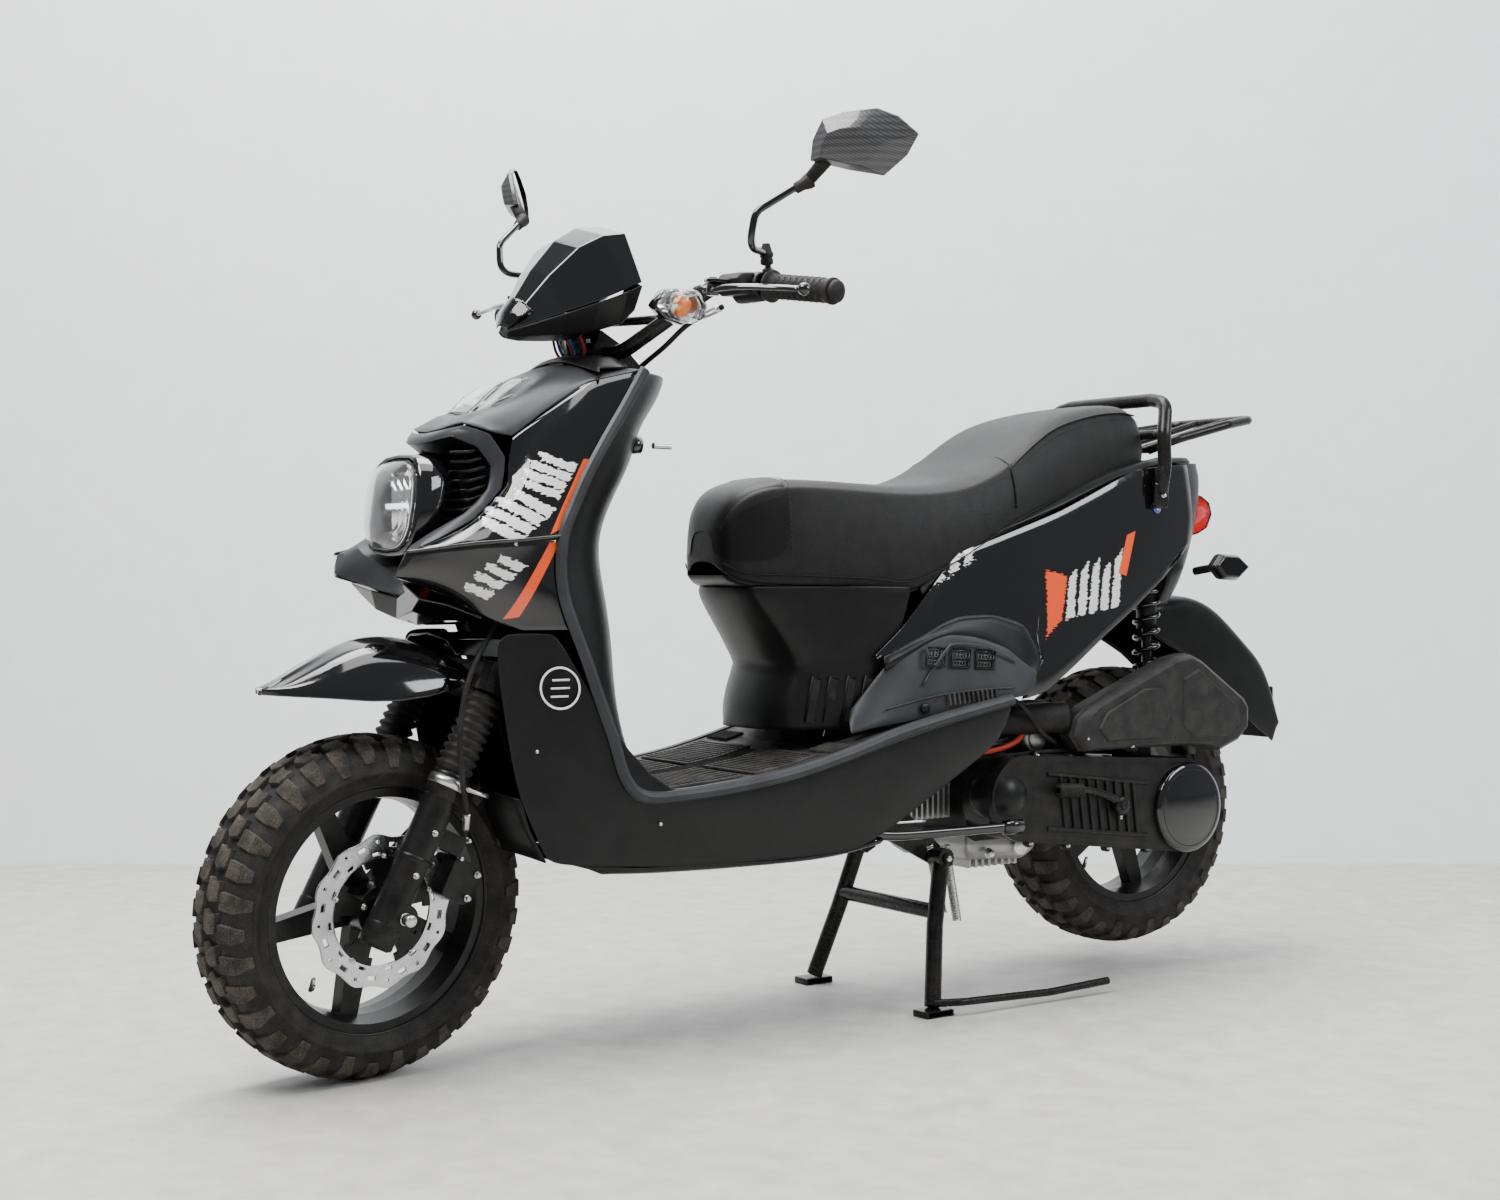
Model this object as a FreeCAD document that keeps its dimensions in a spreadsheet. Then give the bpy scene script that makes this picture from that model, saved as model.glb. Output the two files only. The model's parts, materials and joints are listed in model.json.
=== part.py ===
"""Moped scooter: a step-through frame, plastic panels, a telescopic fork with a disc brake, a swinging
engine with a belt drive, stands, seat and controls. Each piece is its own solid.

Millimetres. +Z is up and the scooter faces -Y, so its left side is +X. Shapes are drawn with the front
axle at y = 0, and each placement then moves them so that the origin is under the middle of the machine.
"""
import FreeCAD, Part
import Sketcher
import math
import os
from FreeCAD import Placement, Rotation, Vector

SIZES = {
    "wheelbase": 1397, "front_wheel_radius": 230, "rear_wheel_radius": 236, "rear_axle_height": 276,
    "front_tyre_width": 120, "rear_tyre_width": 130, "rim_radius": 152,
    "front_overhang": 755,
    "rake": 27, "steering_offset": 35, "steered": 6.6,
    "head_bore": 19, "head_outside": 25, "head_low": 400, "head_high": 640, "race_radius": 18.95,
    "leg_spread": 90, "leg_offset": 46, "leg_radius": 23, "stanchion_radius": 15, "leg_bore": 15.05,
    "axle_offset": 33.3, "axle_drop": 11.8, "axle_radius": 7.5, "wheel_bore": 7.6,
    "disc_radius": 105, "disc_thickness": 4, "disc_side": 50,
    "frame_tube": 13, "panel": 4,
    "bar_radius": 11, "grip_radius": 16.5, "grip_bore": 11.15, "grip_length": 118, "bar_half": 404,
    "swing_y": 985, "swing_height": 455, "swing_pin": 8, "swing_bore": 8.05,
    "variator_y": 1058, "variator_height": 318, "clutch_y": 1417, "clutch_height": 285,
    "drive_shaft": 9, "pulley_bore": 9.05,
    "shock_side": 92, "shock_y": 1385, "shock_top": 700, "shock_foot": 435, "spring_radius": 24,
    "stand_y": 924, "stand_height": 231, "stand_pin": 7, "stand_bore": 7.05,
    "side_stand_y": 738, "side_stand_height": 284,
    "kick_y": 1256, "kick_height": 296, "kick_shaft": 7, "kick_bore": 7.05,
    "battery_long": 114, "battery_wide": 71, "battery_tall": 100,
    "button_radius": 6, "button_long": 12, "key_radius": 4.5, "key_long": 30,
    "cap_radius": 34, "cap_tall": 24,
}

doc = FreeCAD.newDocument("MopedScooter")
sheet = doc.addObject("Spreadsheet::Sheet", "sizes")
for row, (alias, value) in enumerate(SIZES.items(), start=1):
    sheet.set(f"A{row}", alias)
    sheet.set(f"B{row}", str(value))
    sheet.setAlias(f"B{row}", alias)
doc.recompute()

X_AXIS = Vector(1, 0, 0)
Z_AXIS = Vector(0, 0, 1)
WHOLE_MACHINE = []


def size(name):
    """A driving dimension, read from the sheet."""
    return float(sheet.get(name))


RAKE = math.radians(size("rake"))
UP_STEM = Vector(0, math.sin(RAKE), math.cos(RAKE))
STEM_FOOT = Vector(0, size("steering_offset"), 225.4)
SHIFT = Placement(Vector(0, -size("front_overhang"), 0), Rotation())
TURN = Placement(Vector(), Rotation(UP_STEM, size("steered")), STEM_FOOT)
FORK_FRAME = Placement(STEM_FOOT, Rotation(X_AXIS, -size("rake")))
FORK_Y = -size("leg_offset")


# ---------------------------------------------------------------- shared shape makers

def side(y, z, x=0.0):
    return Vector(x, y, z)


def face_of(corners):
    return Part.Face(Part.makePolygon(list(corners) + [corners[0]]))


def plate(outline, low_x, high_x):
    """A flat plate between two x values, from corners given as (y, z)."""
    face = face_of([side(y, z, low_x) for y, z in outline])
    return face.extrude(Vector(high_x - low_x, 0, 0))


def mirrored(shape):
    return shape.mirror(Vector(), X_AXIS)


def both_sides(shape):
    return Part.makeCompound([shape, mirrored(shape)])


def joined(shapes):
    """One solid from shapes that run into each other."""
    result = shapes[0].multiFuse(shapes[1:]) if len(shapes) > 1 else shapes[0]
    return result.removeSplitter()


def round_bar(start, end, radius):
    along = end - start
    return Part.makeCylinder(radius, along.Length, start, along)


def ring_bar(start, end, radius, bore):
    return round_bar(start, end, radius).cut(round_bar(start, end, bore))


def loft(sections):
    """A ruled solid through flat sections that have the same number of corners."""
    wires = [Part.makePolygon(list(corners) + [corners[0]]) for corners in sections]
    return Part.makeLoft(wires, True, True)


def skin(stations, thickness):
    """A bent panel. Each station holds a low and a high corner (x, y, z) of its outer face."""
    inward = Vector(-thickness, 0, 0)
    sections = []
    for low, high in stations:
        low, high = Vector(*low), Vector(*high)
        sections.append([low, high, high + inward, low + inward])
    return loft(sections)


def wrap(levels, thickness):
    """A shell round the front of the machine, open behind. Each level is z, then its half outline
    (x, y) from the back corner to the front."""
    sections = []
    for z, half in levels:
        outer = [Vector(x, y, z) for x, y in half]
        outer += [Vector(-x, y, z) for x, y in reversed(half)]
        inner = [Vector(point.x * (1 - thickness / half[0][0]), point.y + thickness, z) for point in outer]
        sections.append(outer + inner[::-1])
    return loft(sections)


def pipe(points, radius, bend):
    """A round bar along straight runs joined by tangent arcs of one radius, or less where a run is
    too short for it."""
    edges = []
    start = points[0]
    for before, corner, after in zip(points, points[1:], points[2:]):
        arriving = (corner - before).normalize()
        leaving = (after - corner).normalize()
        half_turn = arriving.getAngle(leaving) / 2
        room = 0.45 * min((corner - before).Length, (after - corner).Length)
        reach = min(bend * math.tan(half_turn), room)
        enter, leave = corner - arriving * reach, corner + leaving * reach
        radius_here = reach / math.tan(half_turn)
        inward = (leaving - arriving).normalize()
        middle = corner + inward * (radius_here / math.cos(half_turn) - radius_here)
        edges.append(Part.makeLine(start, enter))
        edges.append(Part.Arc(enter, middle, leave).toShape())
        start = leave
    edges.append(Part.makeLine(start, points[-1]))
    spine = Part.Wire(edges)
    profile = Part.Wire([Part.makeCircle(radius, points[0], points[1] - points[0])])
    return spine.makePipeShell([profile], True, True)


def belt_outline(radius_front, radius_back, low_x, high_x):
    """The solid that a band round the two belt-drive centres encloses."""
    front = Vector(low_x, size("variator_y"), size("variator_height"))
    back = Vector(low_x, size("clutch_y"), size("clutch_height"))
    run = back - front
    tilt = math.atan2(run.z, run.y)
    lean = math.acos((radius_front - radius_back) / run.Length)
    width = Vector(high_x - low_x, 0, 0)

    def rim_point(centre, radius, angle):
        return centre + Vector(0, radius * math.cos(angle), radius * math.sin(angle))

    top, bottom = tilt + lean, tilt - lean
    edges = [
        Part.makeLine(rim_point(front, radius_front, top), rim_point(back, radius_back, top)),
        Part.Arc(rim_point(back, radius_back, top), rim_point(back, radius_back, tilt),
                 rim_point(back, radius_back, bottom)).toShape(),
        Part.makeLine(rim_point(back, radius_back, bottom), rim_point(front, radius_front, bottom)),
        Part.Arc(rim_point(front, radius_front, bottom), rim_point(front, radius_front, tilt + math.pi),
                 rim_point(front, radius_front, top)).toShape(),
    ]
    return Part.Face(Part.Wire(edges)).extrude(width)


# ---------------------------------------------------------------- document objects

def keep(piece, label, placement):
    piece.Label = label
    piece.Placement = placement
    WHOLE_MACHINE.append(piece)
    return piece


def on_frame(label, shape):
    """A piece drawn in place, which only needs the move to the common origin."""
    piece = doc.addObject("Part::Feature", label)
    piece.Shape = shape
    return keep(piece, label, SHIFT.multiply(piece.Placement))


def on_bars(label, shape):
    """A piece of the steered group, drawn with the wheel straight and then turned."""
    piece = doc.addObject("Part::Feature", label)
    piece.Shape = shape
    return keep(piece, label, SHIFT.multiply(TURN).multiply(piece.Placement))


def on_fork(label, shape):
    """A piece drawn along the steering axis: z runs up the stem and -y points ahead of it."""
    piece = doc.addObject("Part::Feature", label)
    piece.Shape = shape
    return keep(piece, label, SHIFT.multiply(TURN).multiply(FORK_FRAME).multiply(piece.Placement))


def new_body(label):
    return doc.addObject("PartDesign::Body", label)


def sketch_in(body, role, corners=(), circles=()):
    """A sketch on one of the body's own planes. A circle is (centre, radius, sheet name or None)."""
    sketch = body.newObject("Sketcher::SketchObject", body.Name + "_sketch")
    plane = next(item for item in body.Origin.OriginFeatures if item.Role == role)
    sketch.AttachmentSupport = [(plane, "")]
    sketch.MapMode = "FlatFace"
    points = [Vector(u, v, 0) for u, v in corners]
    for start, end in zip(points, points[1:] + points[:1]):
        sketch.addGeometry(Part.LineSegment(start, end))
    for centre, radius, name in circles:
        circle = sketch.addGeometry(Part.Circle(Vector(*centre, 0), Z_AXIS, radius))
        rule = sketch.addConstraint(Sketcher.Constraint("Radius", circle, radius))
        if name:
            sketch.setExpression(f"Constraints[{rule}]", f"sizes.{name}")
    return sketch


def spin(body, sketch):
    """The sketch turned round its own horizontal axis."""
    feature = body.newObject("PartDesign::Revolution", body.Name + "_turned")
    feature.Profile = sketch
    feature.ReferenceAxis = (sketch, ["H_Axis"])
    feature.Angle = 360
    return feature


def pad(body, sketch, length, centred=False):
    """The sketch made solid; length is a number or the name of a sheet cell."""
    feature = body.newObject("PartDesign::Pad", body.Name + "_pad")
    feature.Profile = sketch
    if isinstance(length, str):
        feature.Length = size(length)
        feature.setExpression("Length", f"sizes.{length}")
    else:
        feature.Length = length
    feature.SideType = "Symmetric" if centred else "One side"
    return feature


def repeat_round(body, feature, count):
    pattern = body.newObject("PartDesign::PolarPattern", body.Name + "_round")
    pattern.Originals = [feature]
    axis = next(item for item in body.Origin.OriginFeatures if item.Role == "X_Axis")
    pattern.Axis = (axis, [""])
    pattern.Angle = 360
    pattern.Occurrences = count
    body.Tip = pattern
    return pattern


# ---------------------------------------------------------------- frame and what it holds

def stem_point(height, ahead=0.0, x=0.0):
    """A point on the frame, given by its height along the steering axis."""
    return FORK_FRAME.multVec(Vector(x, -ahead, height))


def make_frame():
    tube = size("frame_tube")
    head = round_bar(stem_point(size("head_low")), stem_point(size("head_high")), size("head_outside"))
    bore = round_bar(stem_point(size("head_low") - 1), stem_point(size("head_high") + 1), size("head_bore"))
    rail = pipe([side(290, 655, 22), side(302, 540, 42), side(306, 410, 62), side(345, 322, 84),
                 side(430, 302, 88), side(690, 302, 88), side(800, 345, 92), side(868, 500, 104),
                 side(950, 640, 120), side(1140, 702, 121), side(1390, 750, 94), side(1500, 792, 64)],
                tube, 60)
    cross_ties = [round_bar(side(y, z, -x), side(y, z, x), 11)
                  for y, z, x in ((430, 302, 88), (690, 302, 88), (857, 478, 101),
                                  (1122, 696, 121), (1497, 791, 68))]
    gusset = plate([(212, 590), (262, 668), (300, 668), (318, 560), (306, 510)], -44, 44)
    gusset = gusset.cut(round_bar(stem_point(0), stem_point(900), 24))
    hanger = plate([(850, 492), (880, 492), (997, 470), (999, 441), (975, 439), (850, 462)], 64, 72)
    pin = round_bar(side(size("swing_y"), size("swing_height"), -73),
                    side(size("swing_y"), size("swing_height"), 73), size("swing_pin"))
    stand_ear = plate([(752, 304), (922, 217), (940, 226), (938, 246), (812, 354), (762, 338)], 80, 86)
    stand_pin = round_bar(side(size("stand_y"), size("stand_height"), 80),
                          side(size("stand_y"), size("stand_height"), 122), size("stand_pin"))
    side_ear = plate([(700, 296), (752, 272), (756, 300), (720, 312)], 92, 131)
    side_ear = side_ear.fuse(round_bar(side(size("side_stand_y"), size("side_stand_height"), 92),
                                       side(size("side_stand_y"), size("side_stand_height"), 146), 6))
    shock_ear = plate([(1362, 758), (1408, 764), (1400, 690), (1370, 690)], 105.5, 112)
    shock_pin = round_bar(side(size("shock_y"), size("shock_top"), 78),
                          side(size("shock_y"), size("shock_top"), 112), 6)
    pieces = [head.cut(bore), rail, mirrored(rail), gusset, hanger, mirrored(hanger), pin,
              stand_ear, mirrored(stand_ear), stand_pin, mirrored(stand_pin), side_ear,
              shock_ear, shock_pin] + cross_ties
    whole = joined(pieces)
    on_frame("frame", whole.cut(bore))


def make_battery():
    battery = doc.addObject("Part::Box", "battery")
    battery.setExpression("Length", "sizes.battery_long")
    battery.setExpression("Width", "sizes.battery_wide")
    battery.setExpression("Height", "sizes.battery_tall")
    corner = Vector(-size("battery_long") / 2, 480, 271)
    keep(battery, "battery", SHIFT.multiply(Placement(corner, Rotation())))


def make_storage_box():
    def level(front_y, front_z, back_y, back_z, front_x, back_x):
        return [side(front_y, front_z, -front_x), side(back_y, back_z, -back_x),
                side(back_y, back_z, back_x), side(front_y, front_z, front_x)]
    outer = loft([level(700, 520, 1080, 556, 78, 84), level(692, 634, 1100, 726, 84, 96)])
    inner = loft([level(704, 524, 1076, 560, 74, 80), level(695, 644, 1097, 738, 81, 93)])
    on_frame("storage_box", outer.cut(inner))


def make_fuel_tank():
    shell = Part.makeBox(170, 205, 108, Vector(-85, 1135, 622))
    shell = shell.makeFillet(18, shell.Edges)
    hollow = Part.makeBox(164, 199, 102, Vector(-82, 1138, 625))
    hollow = hollow.makeFillet(15, hollow.Edges)
    neck = ring_bar(side(1185, 728), side(1185, 744), 24, 20)
    mouth = round_bar(side(1185, 715), side(1185, 745), 20)
    on_frame("fuel_tank", shell.fuse(neck).cut(hollow).cut(mouth))


def make_fuel_cap():
    cap = new_body("fuel_cap")
    pad(cap, sketch_in(cap, "XY_Plane", circles=[((0, 0), size("cap_radius"), "cap_radius")]), "cap_tall")
    recess = cap.newObject("PartDesign::Pocket", "fuel_cap_recess")
    recess.Profile = sketch_in(cap, "XY_Plane", circles=[((0, 0), 24.3, None)])
    recess.Length = 14
    recess.Reversed = True
    keep(cap, "fuel_cap", SHIFT.multiply(Placement(side(1185, 733.4), Rotation())))


def make_leg_shield():
    rows = ((362, 176, 338, 88, 352), (383, 176, 314, 74, 336), (506, 171, 270, 62, 334),
            (655, 166, 198, 58, 362), (817, 157, 270, 60, 424), (954, 147, 358, 58, 452))
    sections = []
    for z, edge_x, edge_y, bulge_x, bulge_y in rows:
        back = [Vector(edge_x, edge_y, z), Vector(bulge_x, bulge_y, z),
                Vector(-bulge_x, bulge_y, z), Vector(-edge_x, edge_y, z)]
        front = [point - Vector(0, size("panel"), 0) for point in reversed(back)]
        sections.append(back + front)
    shield = loft(sections)
    keyhole = round_bar(Vector(74, 330, 856), Vector(74, 460, 856), 4.8)
    on_frame("leg_shield", shield.cut(keyhole))


def make_floorboard():
    top = [(358, 376), (600, 405), (776, 436), (1000, 474)]
    tread = plate(top + [(y, z - size("panel")) for y, z in reversed(top)], -177, 177)
    well = Part.makeBox(232, 500, 200, Vector(-116, 668, 350))
    on_frame("floorboard", tread.cut(well))


def make_side_skirts():
    stations = [((146, 164, 373), (148, 130, 530)), ((152, 206, 285), (156, 138, 590)),
                ((156, 300, 272), (172, 216, 590)), ((158, 370, 266), (177, 262, 506)),
                ((158, 393, 264), (181, 308, 383)), ((158, 420, 262), (182, 340, 360)),
                ((159, 592, 260), (183, 592, 390)), ((161, 719, 260), (184, 776, 428)),
                ((180, 977, 408), (185, 1004, 470))]
    on_frame("side_skirts", both_sides(skin(stations, size("panel"))))


def make_belly_pan():
    path = [(286, 352), (279, 300), (308, 262), (393, 258), (716, 256), (772, 266)]
    inner = [(290, 352), (283, 301), (310, 266), (393, 262), (716, 260), (771, 270)]
    on_frame("belly_pan", plate(path + inner[::-1], -140, 130))


def make_under_seat_panel():
    levels = [(440, [(126, 764), (88, 640), (0, 618)]), (534, [(132, 800), (88, 656), (0, 640)]),
              (600, [(136, 826), (84, 626), (0, 612)]), (644, [(138, 834), (78, 592), (0, 580)])]
    on_frame("under_seat_panel", wrap(levels, size("panel")))


def make_vent_panels():
    stations = [((150, 735, 440), (150, 742, 452)), ((166, 790, 446), (152, 803, 556)),
                ((172, 870, 458), (158, 900, 586)), ((176, 980, 476), (166, 1002, 561)),
                ((176, 1018, 484), (172, 1062, 518))]
    on_frame("vent_panels", both_sides(skin(stations, size("panel"))))


def make_side_panels():
    stations = [((142, 826, 562), (143, 838, 628)), ((152, 924, 596), (150, 924, 684)),
                ((156, 1040, 584), (148, 1045, 728)), ((156, 1092, 512), (146, 1140, 765)),
                ((154, 1180, 545), (142, 1260, 808)), ((150, 1290, 605), (134, 1345, 838)),
                ((134, 1440, 716), (116, 1420, 850)), ((122, 1462, 735), (108, 1500, 852))]
    on_frame("side_panels", both_sides(skin(stations, size("panel"))))


def make_tail_cover():
    levels = [(650, [(104, 1432), (96, 1452), (40, 1462)]), (728, [(104, 1434), (92, 1496), (40, 1508)]),
              (824, [(102, 1438), (84, 1534), (40, 1546)]), (862, [(100, 1440), (78, 1532), (40, 1540)])]
    sections = []
    for z, half in levels:
        outer = [Vector(x, y, z) for x, y in half] + [Vector(-x, y, z) for x, y in reversed(half)]
        inner = [Vector(point.x * 0.95, point.y - 4, z) for point in outer]
        sections.append(outer + inner[::-1])
    on_frame("tail_cover", loft(sections))


def make_rear_lamps():
    lamp = loft([[side(1548, 742, -66), side(1548, 742, 66), side(1552, 800, 72), side(1552, 800, -72)],
                 [side(1574, 752, -56), side(1574, 752, 56), side(1586, 794, 62), side(1586, 794, -62)]])
    stalk = round_bar(Vector(100, 1492, 676), Vector(142, 1500, 682), 7)
    indicator = loft([[side(1472, 668, 140), side(1520, 656, 140), side(1560, 682, 140), side(1496, 706, 140)],
                      [side(1470, 664, 158), side(1524, 652, 158), side(1572, 684, 158), side(1492, 712, 158)],
                      [side(1480, 672, 172), side(1522, 662, 172), side(1560, 682, 172), side(1496, 704, 172)]])
    turn = joined([stalk, indicator])
    on_frame("rear_lamps", Part.makeCompound([lamp, turn, mirrored(turn)]))


def make_rear_mudguard():
    spine = [(1424, 630), (1502, 641), (1564, 623), (1653, 551), (1692, 524), (1740, 420)]
    under = [(1734, 418), (1687, 521), (1649, 547), (1561, 619), (1501, 637), (1424, 626)]
    roof = plate(spine + under, -80, 80)
    cheek = plate([(1424, 560), (1424, 630)] + spine[1:] + [(1684, 370), (1650, 386), (1560, 470)], 76, 80)
    holder = plate([(1740, 420), (1684, 370), (1681, 374), (1734, 422)], -80, 80)
    on_frame("rear_mudguard", joined([roof, cheek, mirrored(cheek), holder]))


def make_rails():
    left = pipe([side(1352, 842, 150), side(1366, 880, 146), side(1378, 950, 134), side(1330, 962, 130),
                 side(1262, 954, 128)], 11, 34)
    across = pipe([side(1374, 905, 140), side(1396, 908, 104), side(1396, 908, -104), side(1374, 905, -140)],
                  8, 20)
    on_frame("grab_rail", joined([left, mirrored(left), across]))
    hoop = pipe([side(1422, 884, 60), side(1440, 900, 104), side(1560, 930, 112), side(1646, 944, 92),
                 side(1646, 944, -92), side(1560, 930, -112), side(1440, 900, -104), side(1422, 884, -60)],
                8, 30)
    front = round_bar(side(1424, 885, -72), side(1424, 885, 72), 6)
    slats = [round_bar(side(1426, 886, x), side(1644, 944, x), 6) for x in (-36, 36)]
    legs = [round_bar(side(1478, 808, x * 1.5), side(1490, 904, x), 5.5) for x in (-36, 36)]
    on_frame("luggage_rack", joined([hoop, front] + slats + legs))


# ---------------------------------------------------------------- front cowl and lamp

def make_front_cowl():
    cheek = skin([((98, 6, 674), (110, 96, 862)), ((140, 66, 668), (124, 148, 896)),
                  ((150, 136, 597), (130, 220, 926)), ((162, 212, 597), (136, 290, 945)),
                  ((170, 196, 650), (150, 352, 954))], size("panel"))
    nose = loft([[Vector(98, 6, 674), Vector(98, 20, 704), Vector(98, 24, 704), Vector(98, 12, 668)],
                 [Vector(0, 52, 644), Vector(0, 58, 690), Vector(0, 62, 690), Vector(0, 58, 642)]])
    roof_rows = ((98, 106, 96, 858, 866), (190, 124, 70, 906, 918), (275, 132, 60, 936, 973),
                 (352, 146, 60, 950, 966))
    sections = []
    for y, edge_x, ridge_x, edge_z, ridge_z in roof_rows:
        top = [Vector(edge_x, y, edge_z), Vector(ridge_x, y, ridge_z),
               Vector(-ridge_x, y, ridge_z), Vector(-edge_x, y, edge_z)]
        sections.append(top + [point - Vector(0, 0, size("panel")) for point in reversed(top)])
    roof = loft(sections)
    solid = joined([cheek, mirrored(cheek), nose, mirrored(nose), roof])
    on_frame("front_cowl", solid)


def make_headlamp():
    def hexagon(y, half_x, low, high, lean=0.0):
        middle = (low + high) / 2
        return [side(y, low, half_x * 0.66), side(y + lean / 2, middle, half_x),
                side(y + lean, high, half_x * 0.72), side(y + lean, high, -half_x * 0.72),
                side(y + lean / 2, middle, -half_x), side(y, low, -half_x * 0.66)]
    hood = loft([hexagon(160, 66, 726, 826), hexagon(64, 100, 702, 850, 30)])
    cavity = loft([hexagon(156, 62, 730, 822), hexagon(63, 96, 707, 845, 30)])
    on_frame("headlamp_housing", hood.cut(cavity))
    lens = loft([hexagon(74, 70, 722, 812, 10), hexagon(94, 76, 718, 820, 10)])
    on_frame("headlamp_lens", lens)


# ---------------------------------------------------------------- steered group

def make_steering_stem():
    race = size("race_radius")
    stem = round_bar(Vector(0, 0, 310), Vector(0, 0, 836), 14)
    races = [round_bar(Vector(0, 0, low), Vector(0, 0, low + 14), race)
             for low in (size("head_low") + 2, size("head_high") - 16)]
    collars = [round_bar(Vector(0, 0, size("head_low") - 12), Vector(0, 0, size("head_low") - 1), 24),
               round_bar(Vector(0, 0, size("head_high") + 1), Vector(0, 0, size("head_high") + 12), 24)]
    spread = size("leg_spread")
    crown = loft([[Vector(-spread, FORK_Y - 24, z), Vector(spread, FORK_Y - 24, z),
                   Vector(spread, FORK_Y + 22, z), Vector(30, 26, z),
                   Vector(-30, 26, z), Vector(-spread, FORK_Y + 22, z)] for z in (306, 340)])
    stanchions = []
    for x in (-spread, spread):
        stanchions.append(round_bar(Vector(x, FORK_Y, 60), Vector(x, FORK_Y, 344),
                                    size("stanchion_radius")))
        stanchions.append(round_bar(Vector(x, FORK_Y, 303), Vector(x, FORK_Y, 344), 24))
    riser = plate([(-86, 812), (-20, 800), (20, 800), (20, 836), (-40, 850), (-86, 850)], -34, 34)
    bar_seat = FORK_FRAME.inverse().multVec(side(358, 990))
    clamp = round_bar(bar_seat - X_AXIS * 60, bar_seat + X_AXIS * 60, size("bar_radius") + 0.05)
    hollows = [round_bar(Vector(0, 0, 290), Vector(0, 0, 800), 10)]
    hollows += [round_bar(Vector(x, FORK_Y, 50), Vector(x, FORK_Y, 330), 11) for x in (-spread, spread)]
    solid = joined([stem, crown, riser] + races + collars + stanchions)
    on_fork("steering_stem", solid.cut(Part.makeCompound([clamp] + hollows)))


def bar_shape(radius):
    ends = size("bar_half") - 6
    path = [(-ends, 462, 1068), (-270, 447, 1081), (-190, 424, 1084), (-66, 358, 990),
            (66, 358, 990), (190, 424, 1084), (270, 447, 1081), (ends, 462, 1068)]
    return pipe([Vector(*point) for point in path], radius, 45)


def make_handlebar():
    tube = bar_shape(size("bar_radius"))
    brace = round_bar(Vector(-124, 393, 1038), Vector(124, 393, 1038), 6)
    on_bars("handlebar", joined([tube, brace]))


def make_dash():
    def ring(y, half_x, low, high, shoulder):
        middle = low + (high - low) * shoulder
        return [side(y, low, half_x * 0.55), side(y, middle, half_x), side(y, high, half_x * 0.5),
                side(y, high, -half_x * 0.5), side(y, middle, -half_x), side(y, low, -half_x * 0.55)]
    hood = loft([ring(204, 18, 1008, 1030, 0.5), ring(252, 62, 1004, 1104, 0.5),
                 ring(296, 88, 1006, 1156, 0.5), ring(352, 106, 1034, 1172, 0.45),
                 ring(368, 100, 1056, 1168, 0.45)])
    hollow = loft([ring(256, 54, 1012, 1094, 0.5), ring(296, 82, 1012, 1148, 0.5),
                   ring(352, 100, 1040, 1166, 0.45), ring(369, 94, 1062, 1162, 0.45)])
    on_bars("dash_cowl", hood.cut(hollow))
    dial = loft([ring(330, 84, 1046, 1150, 0.45), ring(362, 86, 1062, 1154, 0.45)])
    on_bars("speedometer", dial)


def make_front_mudguard():
    rows = ((-158, 12, 6, 518, 526), (-100, 46, 26, 514, 558), (-37, 72, 40, 512, 588),
            (40, 88, 56, 512, 592), (100, 80, 56, 524, 574))
    sections = []
    for y, edge_x, ridge_x, low, high in rows:
        outer = [side(y, low, edge_x), side(y, (low + high) / 2, edge_x), side(y, high, ridge_x),
                 side(y, high, -ridge_x), side(y, (low + high) / 2, -edge_x), side(y, low, -edge_x)]
        inner = [Vector(p.x * (1 - 3 / edge_x), p.y, p.z - (3 if p.z > low else 0)) for p in outer]
        sections.append(outer + inner[::-1])
    on_bars("front_mudguard", loft(sections))


def make_front_indicators():
    outline = ((0, 0), (28, -6), (44, 18), (24, 40), (-4, 36), (-18, 16))
    lens = loft([[Vector(x, y + across * scale, 1034 + up * scale) for across, up in outline]
                 for x, y, scale in ((160, 344, 1.0), (196, 344, 1.05), (226, 348, 0.8))])
    stalk = round_bar(Vector(164, 366, 1050), Vector(152, 384, 1042), 6)
    on_bars("front_indicators", both_sides(joined([lens, stalk])))


def make_controls():
    boxes = []
    gap = 0.05
    for sign in (1, -1):
        near, far = Vector(sign * 226, 433, 1077), Vector(sign * 266, 446.4, 1080.6)
        boxes.append(round_bar(near, far, 21))
        boxes.append(loft([[near + Vector(0, dy, dz) for dy, dz in ((-40, -4), (-19, -16), (-15, 14), (-34, 20))],
                           [far + Vector(-sign * 6, dy, dz) for dy, dz in ((-40, -4), (-19, -16), (-15, 14), (-34, 20))]]))
        boxes.append(Part.makeBox(20, 34, 4, Vector(sign * 238 - 10, 370, 1081)))
        boxes.append(round_bar(Vector(sign * 238, 380, 1062), Vector(sign * 238, 380, 1083), 3))
    socket = round_bar(Vector(247, 452, 1079), Vector(247, 480, 1079), size("button_radius") + gap)
    other_socket = mirrored(socket)
    hole = bar_shape(size("bar_radius") + gap)
    left = joined(boxes[:4]).cut(socket).cut(hole)
    right = joined(boxes[4:]).cut(other_socket).cut(hole)
    on_bars("switch_boxes", Part.makeCompound([left, right]))
    for label, sign in (("horn_button", 1), ("starter_button", -1)):
        button = doc.addObject("Part::Cylinder", label)
        button.setExpression("Radius", "sizes.button_radius")
        button.setExpression("Height", "sizes.button_long")
        seat = Placement(Vector(sign * 247, 458, 1079), Rotation(X_AXIS, -90))
        keep(button, label, SHIFT.multiply(TURN).multiply(seat))


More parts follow.
